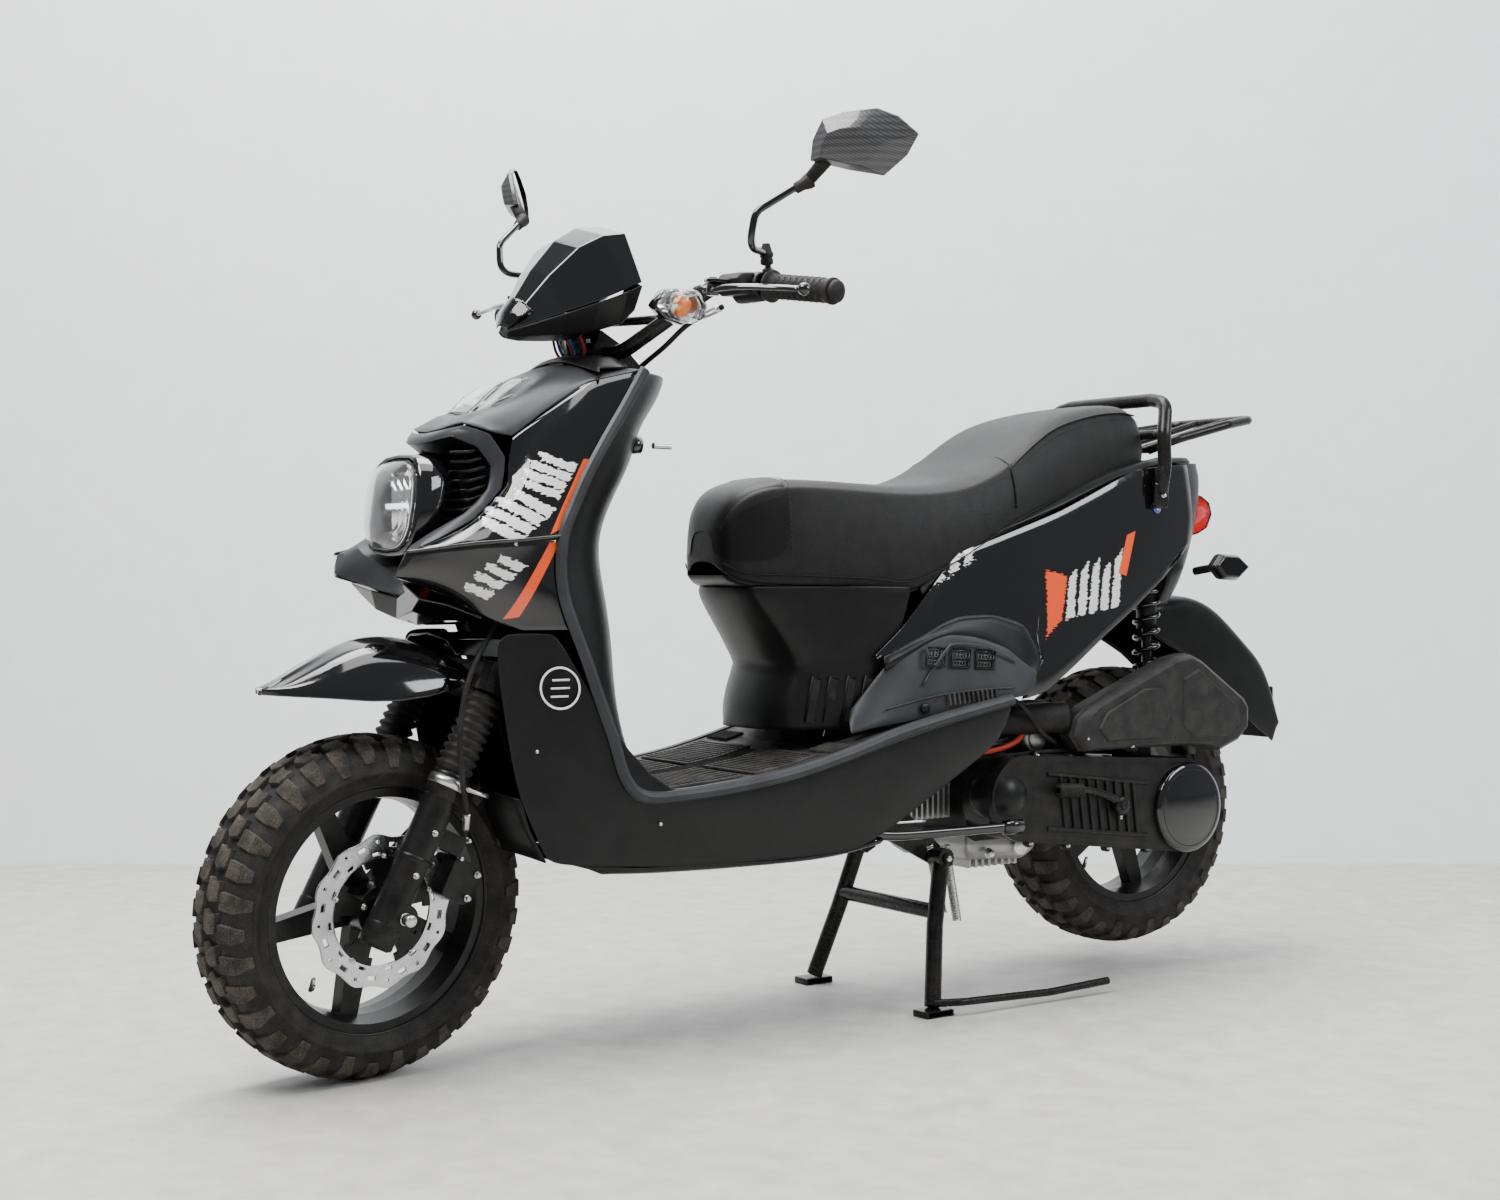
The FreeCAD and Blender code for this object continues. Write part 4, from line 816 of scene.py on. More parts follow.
class SCOOTER_OT_brake(bpy.types.Operator):
    """Build the wave disc, its carrier and bolts, and the caliper's fittings"""
    bl_idname = "scooter.brake"
    bl_label = "Front Brake"

    def execute(self, context):
        place = wheel_frame("front_wheel_spin")
        rings = [72, 76, 80, 86, 92, 96, 101.5]

        def keep(j, k):
            step = k % 12
            return not ((j == 1 and step in (2, 3, 4)) or (j == 3 and step in (7, 8, 9)) or (j == 4 and step == 2))

        ring = add_piece("disc_ring", "front_wheel", FINISHES["steel"], "bright_steel",
                         *disc_cells(place, 52.2, rings, 144, keep, wave=2.6), instead_of=["brake_disc"])
        modifier(ring, "SOLIDIFY", thickness=0.004, offset=0)
        round_edges(ring, 0.5, 1)

        def spoke(j, k):
            return j == 0 or k % 12 in (0, 1, 2, 10, 11) or j == 3 and k % 12 in (3, 9)

        arms = add_piece("disc_carrier", "front_wheel", FINISHES["wheel"], "wheel_paint",
                         *disc_cells(place, 52.2, [22, 36, 50, 62, 73], 60, spoke))
        modifier(arms, "SOLIDIFY", thickness=0.005, offset=0)
        round_edges(arms, 0.8, 2)
        bolts = [hex_bolt(on_wheel(place, 54.6, r, a * math.tau / 5), place[1], w, 5)
                 for r, w in ((30, 6), (74, 5)) for a in range(5)]
        add_piece("disc_bolts", "front_wheel", FINISHES["zinc"], "bright_steel", *merge(*bolts))
        self.caliper()
        return {"FINISHED"}

    def caliper(self):
        parts = [hex_bolt(along_fork(89, -58, up), (1, 0, 0), 7, 6) for up in (48, 82)]
        parts += [hex_bolt(along_fork(84, -24, up), (1, 0, 0), 6, 8) for up in (92, 118)]
        add_piece("caliper_bolts", "fork_slider", FINISHES["zinc"], "bright_steel", *merge(*parts), turned=True)


# ---------------------------------------------------------------- fork

class SCOOTER_OT_fork(bpy.types.Operator):
    """Build the fork boots, the axle nuts, the clip and the leg details"""
    bl_idname = "scooter.fork"
    bl_label = "Fork"

    def execute(self, context):
        stem = Vector(JOINTS["steering"]["axis"])
        boots, collars = [], []
        for x in (-90, 90):
            foot = along_fork(x, 46, 0)
            profile = [(188, 19), (187, 25)]
            for i in range(9):
                low = 190 + i * 12.0
                profile += [(low, 21.2 - i * 0.25), (low + 4, 26.4 - i * 0.3), (low + 7, 26.4 - i * 0.3)]
            profile += [(300, 19), (302, 16)]
            boots.append(lathe(profile, foot, stem, 40))
            collars.append(lathe([(150, 23.1), (152, 25), (182, 25.4), (187, 24.4), (187, 20)], foot, stem, 40))
            collars.append(lathe([(-60, 8), (-60, 19), (-55, 23.6), (-30, 23.8), (-27, 23)], foot, stem, 40))
            collars.append(lathe([(60, 23.1), (62, 24.4), (66, 24.4), (68, 23.1)], foot, stem, 40))
        add_piece("fork_boots", "steering", FINISHES["rubber"], "soft_rubber", *merge(*boots), turned=True,
                  instead_of=["fork_gaiters"])
        add_piece("leg_collars", "fork_slider", FINISHES["wheel"], "wheel_paint", *merge(*collars), turned=True)
        side_on = Vector((1, 0, 0))
        nuts = [hex_bolt(along_fork(113 * s, 33.3, -11.8), side_on * s, 12, 11) for s in (1, -1)]
        nuts += [disc_bar(along_fork(113 * s, 33.3, -11.8), side_on * s, 8, 8, 16) for s in (1, -1)]
        nuts += [hex_bolt(along_fork(112.6 * s, 46, up), side_on * s, 6, 5) for s in (1, -1) for up in (44, 104)]
        add_piece("fork_nuts", "fork_slider", FINISHES["zinc"], "bright_steel", *merge(*nuts), turned=True)
        clip = lathe([(0, 24.6), (0, 26.4), (13, 26.4), (13, 24.6)], along_fork(90, 46, 166), stem, 40, closed=True)
        tab = tube([along_fork(114, 40, 172), along_fork(128, 26, 174), along_fork(130, 10, 176),
                    along_fork(120, -2, 178)], 3.2, 8, flat=0.5)
        pinch = hex_bolt(along_fork(126, 34, 173), side_on, 4.5, 5)
        add_piece("hose_clip", "fork_slider", FINISHES["zinc"], "bright_steel", *merge(clip, tab, pinch), turned=True)
        return {"FINISHED"}


class SCOOTER_OT_brake_hose(bpy.types.Operator):
    """Build the brake hose from the lever to the caliper, with its steel ends"""
    bl_idname = "scooter.brake_hose"
    bl_label = "Brake Hose"

    ROUTE = ((222, 412, 1052), (170, 396, 1030), (110, 400, 1000), (58, 380, 955), (52, 334, 880), (66, 262, 780),
             (84, 196, 680), (100, 130, 602), (112, 88, 540), (122, 70, 474), (124, 74, 410), (118, 86, 362),
             (98, 96, 330))

    def execute(self, context):
        path = smooth_path([at(*point) for point in self.ROUTE], 8)
        add_piece("front_brake_hose", "steering", FINISHES["rubber"], "soft_rubber", *tube(path, 3.9, 12),
                  turned=True, instead_of=["brake_hose"])
        ferrules = merge(tube(path[-9:-3], 5.2, 12), tube(path[1:6], 5.2, 12))
        add_piece("hose_ferrules", "steering", FINISHES["zinc"], "bright_steel", *ferrules, turned=True)
        return {"FINISHED"}


# ---------------------------------------------------------------- front mudguard

class SCOOTER_OT_front_mudguard(bpy.types.Operator):
    """Build the beak of the front mudguard, with its ridge and its under lip"""
    bl_idname = "scooter.front_mudguard"
    bl_label = "Front Mudguard"

    def execute(self, context):
        rows = []
        for y, ridge_z, shoulder_x, shoulder_z, edge_x, edge_z in (
                (-159, 524, 4, 523, 8, 519), (-130, 538, 18, 535, 34, 518), (-86, 562, 34, 556, 58, 516),
                (-37, 586, 44, 576, 76, 512), (0, 592, 50, 580, 84, 512), (44, 590, 55, 578, 87, 516),
                (84, 578, 56, 570, 84, 524), (112, 560, 52, 556, 76, 532)):
            half = [(edge_x, edge_z), (edge_x + 1, edge_z + 7), ((edge_x + shoulder_x) / 2 + 3,
                    (edge_z + shoulder_z) / 2 + 6), (shoulder_x, shoulder_z), (shoulder_x * 0.45, ridge_z - 4)]
            row = [at(-x, y, z) for x, z in half] + [at(0, y, ridge_z)] + [at(x, y, z) for x, z in reversed(half)]
            rows.append(row)
        guard = add_piece("mudguard_beak", "steering", FINISHES["gloss"], "gloss_black", *grid(rows), turned=True,
                          instead_of=["front_mudguard"])
        back = turn_matrix().inverted()
        crease(guard, lambda a, b: abs((back @ a).x) < 1e-4 and abs((back @ b).x) < 1e-4, 0.6)
        panel_from(guard, 2)
        cover = [[(72, 92, 570), (48, 92, 588), (0, 92, 594)], [(76, 140, 566), (50, 140, 588), (0, 140, 594)],
                 [(78, 196, 560), (52, 198, 586), (0, 198, 592)]]
        bridge = add_piece("fork_bridge_cover", "steering", FINISHES["gloss"], "gloss_black",
                           *grid([[at(x, y, z) for x, y, z in row] + [at(-x, y, z) for x, y, z in row[-2::-1]]
                                  for row in cover]), turned=True)
        modifier(bridge, "SOLIDIFY", thickness=0.003)
        round_edges(bridge, 2, 3, 12)
        stays = [tube([at(s * 78, 96, 536), at(s * 84, 112, 520), at(s * 88, 124, 505)], 5, 10) for s in (1, -1)]
        add_piece("mudguard_stays", "steering", FINISHES["tube"], "frame_paint", *merge(*stays), turned=True)
        return {"FINISHED"}


# ---------------------------------------------------------------- front cowl

def mirrored_rows(rows):
    """Rows of half outlines (x, y, z), from the outside to the middle, made whole across the machine."""
    whole = []
    for row in rows:
        left = [at(x, y, z) for x, y, z in row]
        right = [at(-x, y, z) for x, y, z in reversed(row) if x > 0.01]
        whole.append(left + right)
    return whole


def half_panel(rows):
    """Both sides of a surface given by rows of (x, y, z)."""
    return two_sides(grid([[at(*p) for p in row] for row in rows]))


HOOD_RIM = ((0, 96, 866), (40, 98, 868), (80, 112, 874), (101, 142, 862), (108, 162, 830), (110, 156, 788),
            (113, 112, 746), (113, 60, 720), (112, 12, 700), (100, 4, 672), (84, 22, 664), (52, 42, 652),
            (0, 57, 642))
CAVITY_RIM = ((0, 84, 850), (36, 86, 852), (72, 98, 858), (90, 128, 844), (96, 146, 818), (97, 140, 786),
              (99, 104, 754), (95, 56, 728), (84, 32, 710), (66, 34, 700), (52, 40, 694), (36, 48, 684),
              (0, 60, 676))
CAVITY_WALL = ((0, 110, 842), (34, 112, 843), (68, 122, 846), (84, 148, 834), (89, 162, 812), (90, 156, 782),
               (91, 124, 754), (86, 96, 738), (76, 84, 716), (60, 84, 704), (46, 88, 698), (32, 92, 690),
               (0, 96, 684))
CAVITY_BACK = tuple((x * 0.86, 178, 770 + (z - 770) * 0.85) for x, y, z in CAVITY_WALL)


class SCOOTER_OT_front_cowl(bpy.types.Operator):
    """Build the gloss side cowls, the grey hood, the lamp cavity and its louvres"""
    bl_idname = "scooter.front_cowl"
    bl_label = "Front Cowl"

    def execute(self, context):
        upper = [[(111, 170, 856), (115, 208, 886), (118, 248, 914), (123, 294, 944), (143, 357, 955)],
                 [(110, 165, 826), (124, 192, 850), (136, 224, 872), (144, 264, 888), (152, 312, 880)],
                 [(111, 160, 790), (127, 172, 798), (141, 198, 810), (149, 230, 812), (158, 262, 805)],
                 [(114, 104, 738), (134, 118, 744), (148, 148, 750), (156, 186, 750), (162, 230, 742)],
                 [(114, 14, 700), (138, 52, 706), (155, 100, 712), (163, 158, 716), (165, 220, 722)]]
        lower = [[(114, 14, 700), (138, 52, 706), (155, 100, 712), (163, 158, 716), (165, 220, 722)],
                 [(106, 6, 680), (133, 44, 684), (149, 94, 684), (158, 150, 688), (166, 216, 690)],
                 [(98, 4, 668), (124, 42, 668), (142, 84, 660), (153, 138, 650), (168, 218, 644)],
                 [(92, 24, 662), (112, 60, 652), (136, 108, 634), (150, 154, 622), (168, 226, 622)],
                 [(84, 50, 656), (106, 86, 640), (130, 124, 612), (149, 164, 598), (168, 240, 598)]]
        for name, rows in (("cowl_upper", upper), ("cowl_lower", lower)):
            panel = add_piece(name, "chassis", FINISHES["cowl"], "gloss_black", *half_panel(rows),
                              instead_of=["front_cowl"])
            panel_from(panel, 2)
        fold = [tube(smooth_path([at(s * x, y, z) for x, y, z in (
            (113, 12, 701), (139, 50, 707), (156.5, 99, 713.5), (164.5, 158, 718), (167, 221, 724))], 5),
            3.4, 10, flat=0.6) for s in (1, -1)]
        add_piece("cowl_fold", "chassis", FINISHES["gloss"], "gloss_black", *merge(*fold))
        self.hood()
        self.louvres()
        return {"FINISHED"}

    def hood(self):
        loops = [[at(x, y, z) for x, y, z in row] + [at(-x, y, z) for x, y, z in list(reversed(row))[1:-1]]
                 for row in (HOOD_RIM, tuple((b[0] * 0.35 + a[0] * 0.65, b[1] * 0.5 + a[1] * 0.5 - 5,
                                              b[2] * 0.4 + a[2] * 0.6) for a, b in zip(HOOD_RIM, CAVITY_RIM)),
                             CAVITY_RIM)]
        rim = add_piece("hood_rim", "chassis", FINISHES["grey"], "satin_grey", *grid(loops, closed=True))
        panel_from(rim, 1, 3)
        round_edges(rim, 0.8, 2, 30)
        walls = [[at(x, y, z) for x, y, z in row] + [at(-x, y, z) for x, y, z in list(reversed(row))[1:-1]]
                 for row in (CAVITY_RIM, CAVITY_WALL, CAVITY_BACK)]
        verts, faces = grid(walls, closed=True)
        count = len(walls[0])
        faces.append(tuple(range(2 * count, 3 * count)))
        add_piece("lamp_cavity", "chassis", FINISHES["satin"], "satin_black", verts, faces,
                  instead_of=["headlamp_housing"])
        roof = [[(104, 146, 864), (76, 112, 878), (38, 101, 871), (0, 98, 868)],
                [(111, 170, 860), (78, 142, 898), (38, 138, 897), (0, 138, 895)],
                [(113, 186, 872), (76, 154, 904), (38, 156, 890), (0, 156, 888)],
                [(116, 212, 892), (76, 206, 932), (40, 202, 905), (0, 202, 901)],
                [(118, 238, 910), (76, 236, 948), (40, 226, 940), (0, 226, 942)],
                [(122, 280, 938), (78, 282, 962), (40, 276, 970), (0, 275, 973)],
                [(143, 356, 957), (80, 350, 964), (42, 346, 972), (0, 345, 974)]]
        top = add_piece("hood_roof", "chassis", FINISHES["grey"], "satin_grey", *grid(mirrored_rows(roof)))
        panel_from(top, 2)
        step = [[(138, 290, 950), (82, 292, 962), (44, 290, 971), (0, 289, 974)],
                [(120, 300, 958), (78, 300, 976), (44, 300, 984), (0, 300, 986)],
                [(118, 350, 962), (78, 348, 978), (44, 346, 984), (0, 346, 986)]]
        hump = add_piece("hood_hump", "chassis", FINISHES["satin"], "satin_black", *grid(mirrored_rows(step)))
        panel_from(hump, 2)
        lamps = [[(62, 158, 900), (36, 162, 897), (8, 162, 895)], [(66, 184, 924), (38, 186, 921), (8, 186, 917)],
                 [(66, 206, 938), (38, 210, 938), (8, 208, 937)], [(64, 224, 944), (38, 224, 946), (8, 224, 946)]]
        cover = add_piece("position_lamp_lens", "chassis", FINISHES["clear"], "clear_lens", *half_panel(lamps))
        panel_from(cover, 2, 2)
        bars = [[(56, 180, 913), (36, 182, 910), (12, 182, 908)], [(56, 200, 921), (36, 202, 918), (12, 202, 916)]]
        inner = add_piece("position_lamp_bars", "chassis", FINISHES["white"], "clear_lens", *half_panel(bars))
        modifier(inner, "SOLIDIFY", thickness=0.002)

    def louvres(self):
        slats = []
        for z in range(722, 846, 13):
            wide = 91 - max(0, 750 - z) * 0.3 - max(0, z - 815) * 0.25
            deep = 150 - max(0, 780 - z) * 0.5
            for s in (1, -1):
                front = [at(s * 60, deep - 48, z - 4), at(s * wide, deep - 32, z - 4),
                         at(s * wide, deep - 32, z), at(s * 60, deep - 48, z)]
                back = [at(s * 60, deep + 6, z + 5), at(s * wide, deep, z + 5),
                        at(s * wide, deep, z + 9), at(s * 60, deep + 6, z + 9)]
                slats.append(capped([front, back]))
        obj = add_piece("lamp_louvres", "chassis", FINISHES["gloss"], "gloss_black", *merge(*slats))
        round_edges(obj, 0.7)
        under = [[(84, 24, 662), (54, 42, 651), (0, 56, 641)], [(88, 46, 642), (58, 50, 626), (0, 54, 614)],
                 [(94, 84, 634), (64, 84, 614), (0, 84, 606)], [(118, 122, 616), (80, 128, 612), (0, 130, 610)]]
        beak = add_piece("nose_underside", "chassis", FINISHES["gloss"], "gloss_black", *grid(mirrored_rows(under)))
        modifier(beak, "SOLIDIFY", thickness=0.003, offset=-1)
        round_edges(beak, 2.0, 3, 12)
        screws = [hex_bolt(at(s * 98, 30, 704), Vector((0.5 * s, -0.8, 0)), 4, 3) for s in (1, -1)]
        add_piece("hood_screws", "chassis", FINISHES["zinc"], "bright_steel", *merge(*screws))


def octagon(y, wide, tall, middle, lean=0.0, steps=20):
    """A rounded octagon seen from the front, as a loop of points."""
    loop = []
    for i in range(steps):
        c, s = math.cos(math.tau * i / steps), math.sin(math.tau * i / steps)
        x, z = wide * math.copysign(abs(c) ** 0.62, c), tall * math.copysign(abs(s) ** 0.62, s)
        loop.append(at(x, y + lean * z / tall, middle + z))
    return loop


class SCOOTER_OT_headlamp(bpy.types.Operator):
    """Build the headlamp: surround, reflectors, light bar and curved lens"""
    bl_idname = "scooter.headlamp"
    bl_label = "Headlamp"

    def execute(self, context):
        mid = 766
        shell = [octagon(50, 70, 62, mid, lean=8), octagon(44, 76, 67, mid, lean=8), octagon(50, 80, 70, mid, lean=8),
                 octagon(76, 80, 70, mid, lean=8), octagon(112, 62, 56, mid, lean=8), octagon(132, 36, 36, mid)]
        surround = add_piece("headlamp_surround", "chassis", FINISHES["gloss"], "gloss_black",
                             *grid(shell, closed=True))
        modifier(surround, "SOLIDIFY", thickness=0.003)
        lens = [octagon(46, 71, 63, mid, lean=8), octagon(37, 66, 58, mid, lean=7), octagon(29, 52, 46, mid, lean=5),
                octagon(24, 32, 28, mid, lean=3), octagon(22.5, 12, 10, mid)]
        verts, faces = grid(lens, closed=True)
        count = len(lens[0])
        faces.append(tuple(range(4 * count, 5 * count)))
        glass_cover = add_piece("headlamp_lens_cover", "chassis", FINISHES["clear"], "clear_lens", verts, faces,
                                instead_of=["headlamp_lens"])
        modifier(glass_cover, "SOLIDIFY", thickness=0.002, offset=-1)
        self.inside(mid)
        return {"FINISHED"}

    def inside(self, mid):
        plate = [octagon(98, 66, 58, mid), octagon(100, 30, 28, mid), octagon(100, 6, 5, mid)]
        add_piece("headlamp_plate", "chassis", FINISHES["satin"], "satin_black", *grid(plate, closed=True))
        facets = []
        for sign in (1, -1):
            for i in range(6):
                x = (i - 2.5) * 19
                tall = 40 - abs(x) * 0.24
                rows = []
                for t in range(5):
                    share = t / 4
                    z = mid + sign * (12 + share * (tall - 4))
                    y = 96 - 38 * share ** 1.8
                    rows.append([at(x - 8.8, y, z), at(x, y + 5, z), at(x + 8.8, y, z)])
                facets.append(grid(rows))
        cups = add_piece("headlamp_reflectors", "chassis", FINISHES["chrome"], "chrome", *merge(*facets))
        modifier(cups, "SOLIDIFY", thickness=0.0012)
        bar = block(at(-54, 60, mid - 3.5), at(54, 70, mid + 3.5))
        strip = add_piece("headlamp_light_bar", "chassis", FINISHES["lit"], "clear_lens", *bar)
        round_edges(strip, 1.6)
        web = [block(at(-58, 64, mid + s * 7 - 2), at(58, 92, mid + s * 7 + 2)) for s in (1, -1)]
        web += [block(at(x - 1.2, 62, mid - 48), at(x + 1.2, 96, mid + 48)) for x in (-38, -19, 0, 19, 38)]
        add_piece("headlamp_webs", "chassis", FINISHES["chrome"], "chrome", *merge(*web))
        spots = [disc_bar(at(s * 30, 70, mid - 30), (0, 1, 0), 5, 0, 14) for s in (1, -1)]
        add_piece("headlamp_amber_spots", "chassis", FINISHES["amber"], "clear_lens", *merge(*spots))
        ring = [disc_bar(at(x, 74, mid + s * 26), (0, 1, 0), 6, 0, 12) for s in (1, -1) for x in (-46, -15, 15, 46)]
        add_piece("headlamp_chips", "chassis", FINISHES["white"], "clear_lens", *merge(*ring))


# ---------------------------------------------------------------- leg shield, skirts and floor

EDGE_STRIP = ((150, 358, 955), (155, 321, 899), (159, 289, 853), (162, 260, 807), (164, 236, 761),
              (166, 222, 731), (168, 216, 701), (169, 216, 664), (170, 222, 634), (172, 236, 596),
              (174, 252, 556), (176, 270, 506), (179, 290, 452), (182, 308, 396), (184, 338, 370), (185, 400, 369),
              (185, 490, 375), (186, 592, 389), (187, 690, 412), (187, 776, 436), (187, 880, 458), (186, 1002, 479))


class SCOOTER_OT_leg_shield(bpy.types.Operator):
    """Build the leg shield's inner face, its two-band edge and the knee bulge"""
    bl_idname = "scooter.leg_shield"
    bl_label = "Leg Shield"

    def execute(self, context):
        heights = ((370, 176, 335, 100, 350), (430, 174, 302, 84, 343), (506, 171, 272, 70, 349),
                   (580, 168, 242, 66, 354), (655, 165, 218, 65, 341), (715, 163, 220, 64, 328),
                   (772, 160, 246, 62, 350), (835, 156, 282, 60, 391), (880, 152, 311, 52, 400),
                   (921, 150, 337, 44, 440), (954, 147, 360, 40, 452))
        rows = []
        for z, edge_x, edge_y, mid_x, mid_y in heights:
            rows.append([(edge_x, edge_y, z), (edge_x - 10, edge_y + 12, z), ((edge_x + mid_x) / 2 + 14,
                        (edge_y + mid_y) / 2 + 6, z), (mid_x + 8, mid_y - 4, z), (mid_x * 0.5, mid_y + 1, z),
                        (0, mid_y + 2, z)])
        face = add_piece("leg_shield_face", "chassis", FINISHES["satin"], "satin_black",
                         *grid(mirrored_rows(rows)), instead_of=["leg_shield"])
        modifier(face, "SOLIDIFY", thickness=0.003, offset=-1)
        modifier(face, "SUBSURF", levels=2, render_levels=2)
        bands = []
        for sign in (1, -1):
            path = smooth_path([at(sign * x, y, z) for x, y, z in EDGE_STRIP], 4)
            rows = []
            for i, point in enumerate(path):
                ahead = (path[min(i + 1, len(path) - 1)] - path[max(i - 1, 0)]).normalized()
                back = Vector((0, -ahead.z, ahead.y)).normalized()
                if back.y < 0 and i < len(path) * 0.45 or back.z < 0 and i >= len(path) * 0.45:
                    back.negate()
                out = Vector((sign, 0, 0))
                rows.append([point - back * 0.009 - out * 0.002, point - back * 0.006 + out * 0.003,
                             point + out * 0.0035, point + back * 0.005 + out * 0.0005,
                             point + back * 0.007 - out * 0.004, point + back * 0.006 - out * 0.012])
            bands.append(grid(rows))
        strip = add_piece("edge_strip", "chassis", FINISHES["grey"], "satin_grey", *merge(*bands))
        modifier(strip, "SOLIDIFY", thickness=0.003, offset=0)
        round_edges(strip, 0.7, 2, 25)
        pocket = tube([at(74, 376, 856), at(74, 392, 856)], 13, 24)
        add_piece("key_surround", "chassis", FINISHES["gloss"], "gloss_black", *pocket)
        hook = tube(smooth_path([at(0, 346, 752), at(0, 364, 744), at(0, 372, 756), at(0, 368, 768)], 6), 4, 12)
        add_piece("bag_hook", "chassis", FINISHES["zinc"], "bright_steel", *hook)
        return {"FINISHED"}


class SCOOTER_OT_skirts(bpy.types.Operator):
    """Build the side skirts, the ring emblem, the belly and its front edge"""
    bl_idname = "scooter.skirts"
    bl_label = "Side Skirts"

    def execute(self, context):
        columns = [[(146, 124, 596), (144, 132, 530), (142, 146, 450), (144, 160, 373), (146, 190, 316), (148, 201, 284)],
                   [(150, 160, 597), (150, 168, 530), (152, 184, 450), (154, 202, 373), (154, 226, 312), (152, 240, 278)],
                   [(160, 206, 596), (163, 216, 540), (167, 240, 460), (168, 262, 383), (164, 284, 316), (156, 300, 271)],
                   [(167, 208, 592), (171, 240, 536), (177, 276, 470), (180, 300, 400), (172, 322, 326), (158, 345, 267)],
                   [(184, 348, 362), (184, 350, 356), (183, 354, 345), (180, 362, 330), (172, 380, 300), (158, 400, 263)],
                   [(185, 470, 366), (186, 470, 358), (185, 472, 344), (181, 476, 322), (173, 482, 290), (158, 490, 261)],
                   [(186, 592, 382), (187, 592, 374), (186, 592, 356), (182, 592, 328), (174, 592, 292), (158, 592, 259)],
                   [(187, 700, 408), (188, 699, 400), (187, 696, 378), (183, 690, 342), (175, 684, 300), (160, 676, 260)],
                   [(187, 790, 432), (188, 788, 424), (187, 780, 400), (184, 768, 360), (177, 752, 308), (163, 728, 262)],
                   [(187, 890, 453), (188, 888, 446), (187, 882, 430), (185, 874, 406), (180, 864, 376), (168, 850, 332)],
                   [(186, 1002, 472), (187, 1002, 466), (186, 1000, 456), (184, 994, 440), (181, 986, 424), (176, 977, 408)]]
        skirt = add_piece("skirt_panels", "chassis", FINISHES["satin"], "satin_black", *half_panel(columns),
                          instead_of=["side_skirts"])
        modifier(skirt, "SOLIDIFY", thickness=0.003, offset=-1)
        modifier(skirt, "SUBSURF", levels=2, render_levels=2)
        self.emblem()
        belly = [[(150, 250, 278), (144, 290, 262), (120, 300, 262), (0, 300, 262)],
                 [(158, 345, 267), (150, 352, 256), (120, 352, 253), (0, 352, 253)],
                 [(158, 592, 259), (150, 592, 251), (120, 592, 250), (0, 592, 250)],
                 [(160, 700, 262), (150, 700, 254), (120, 700, 253), (0, 700, 253)],
                 [(158, 770, 276), (148, 772, 268), (120, 774, 268), (0, 774, 268)]]
        pan = add_piece("belly_tray", "chassis", FINISHES["satin"], "satin_black", *grid(mirrored_rows(belly)),
                        instead_of=["belly_pan"])
        panel_from(pan, 2)
        lower_front = [[(148, 201, 284), (120, 196, 288), (60, 190, 292), (0, 188, 294)],
                       [(146, 176, 330), (120, 170, 334), (60, 162, 340), (0, 160, 342)],
                       [(143, 164, 373), (120, 156, 376), (64, 152, 380), (0, 150, 382)]]
        lip = add_piece("belly_front", "chassis", FINISHES["satin"], "satin_black", *grid(mirrored_rows(lower_front)))
        panel_from(lip, 1)
        screws = [hex_bolt(at(s * x, y, z), (s, 0, 0), 3.6, 3) for s in (1, -1) for x, y, z in (
            (180.4, 362, 330), (151.4, 186, 436))]
        add_piece("skirt_screws", "chassis", FINISHES["zinc"], "bright_steel", *merge(*screws))
        return {"FINISHED"}

    def emblem(self):
        """A plain ring with three bars."""
        parts = []
        for sign in (1, -1):
            centre = at(sign * 163.2, 213, 520)
            axis = Vector((sign, -0.16, 0.12)).normalized()
            ring = [(4.4 + 0.9 * math.sin(a), 27.5 + 1.5 * math.cos(a)) for a in
                    [math.tau * i / 8 for i in range(8)]]
            parts.append(lathe(ring, centre, axis, 56, closed=True))
            for low, high in (((-14, -11), (12, -11)), ((-14, 0), (14, 0)), ((-12, 11), (14, 11))):
                start = centre + axis * 0.0045 + Vector((0, low[0] * MM, low[1] * MM))
                end = centre + axis * 0.0045 + Vector((0, high[0] * MM, high[1] * MM))
                parts.append(tube([start, end], 1.4, 8))
        add_piece("ring_emblem", "chassis", FINISHES["white"], "clear_lens", *merge(*parts))


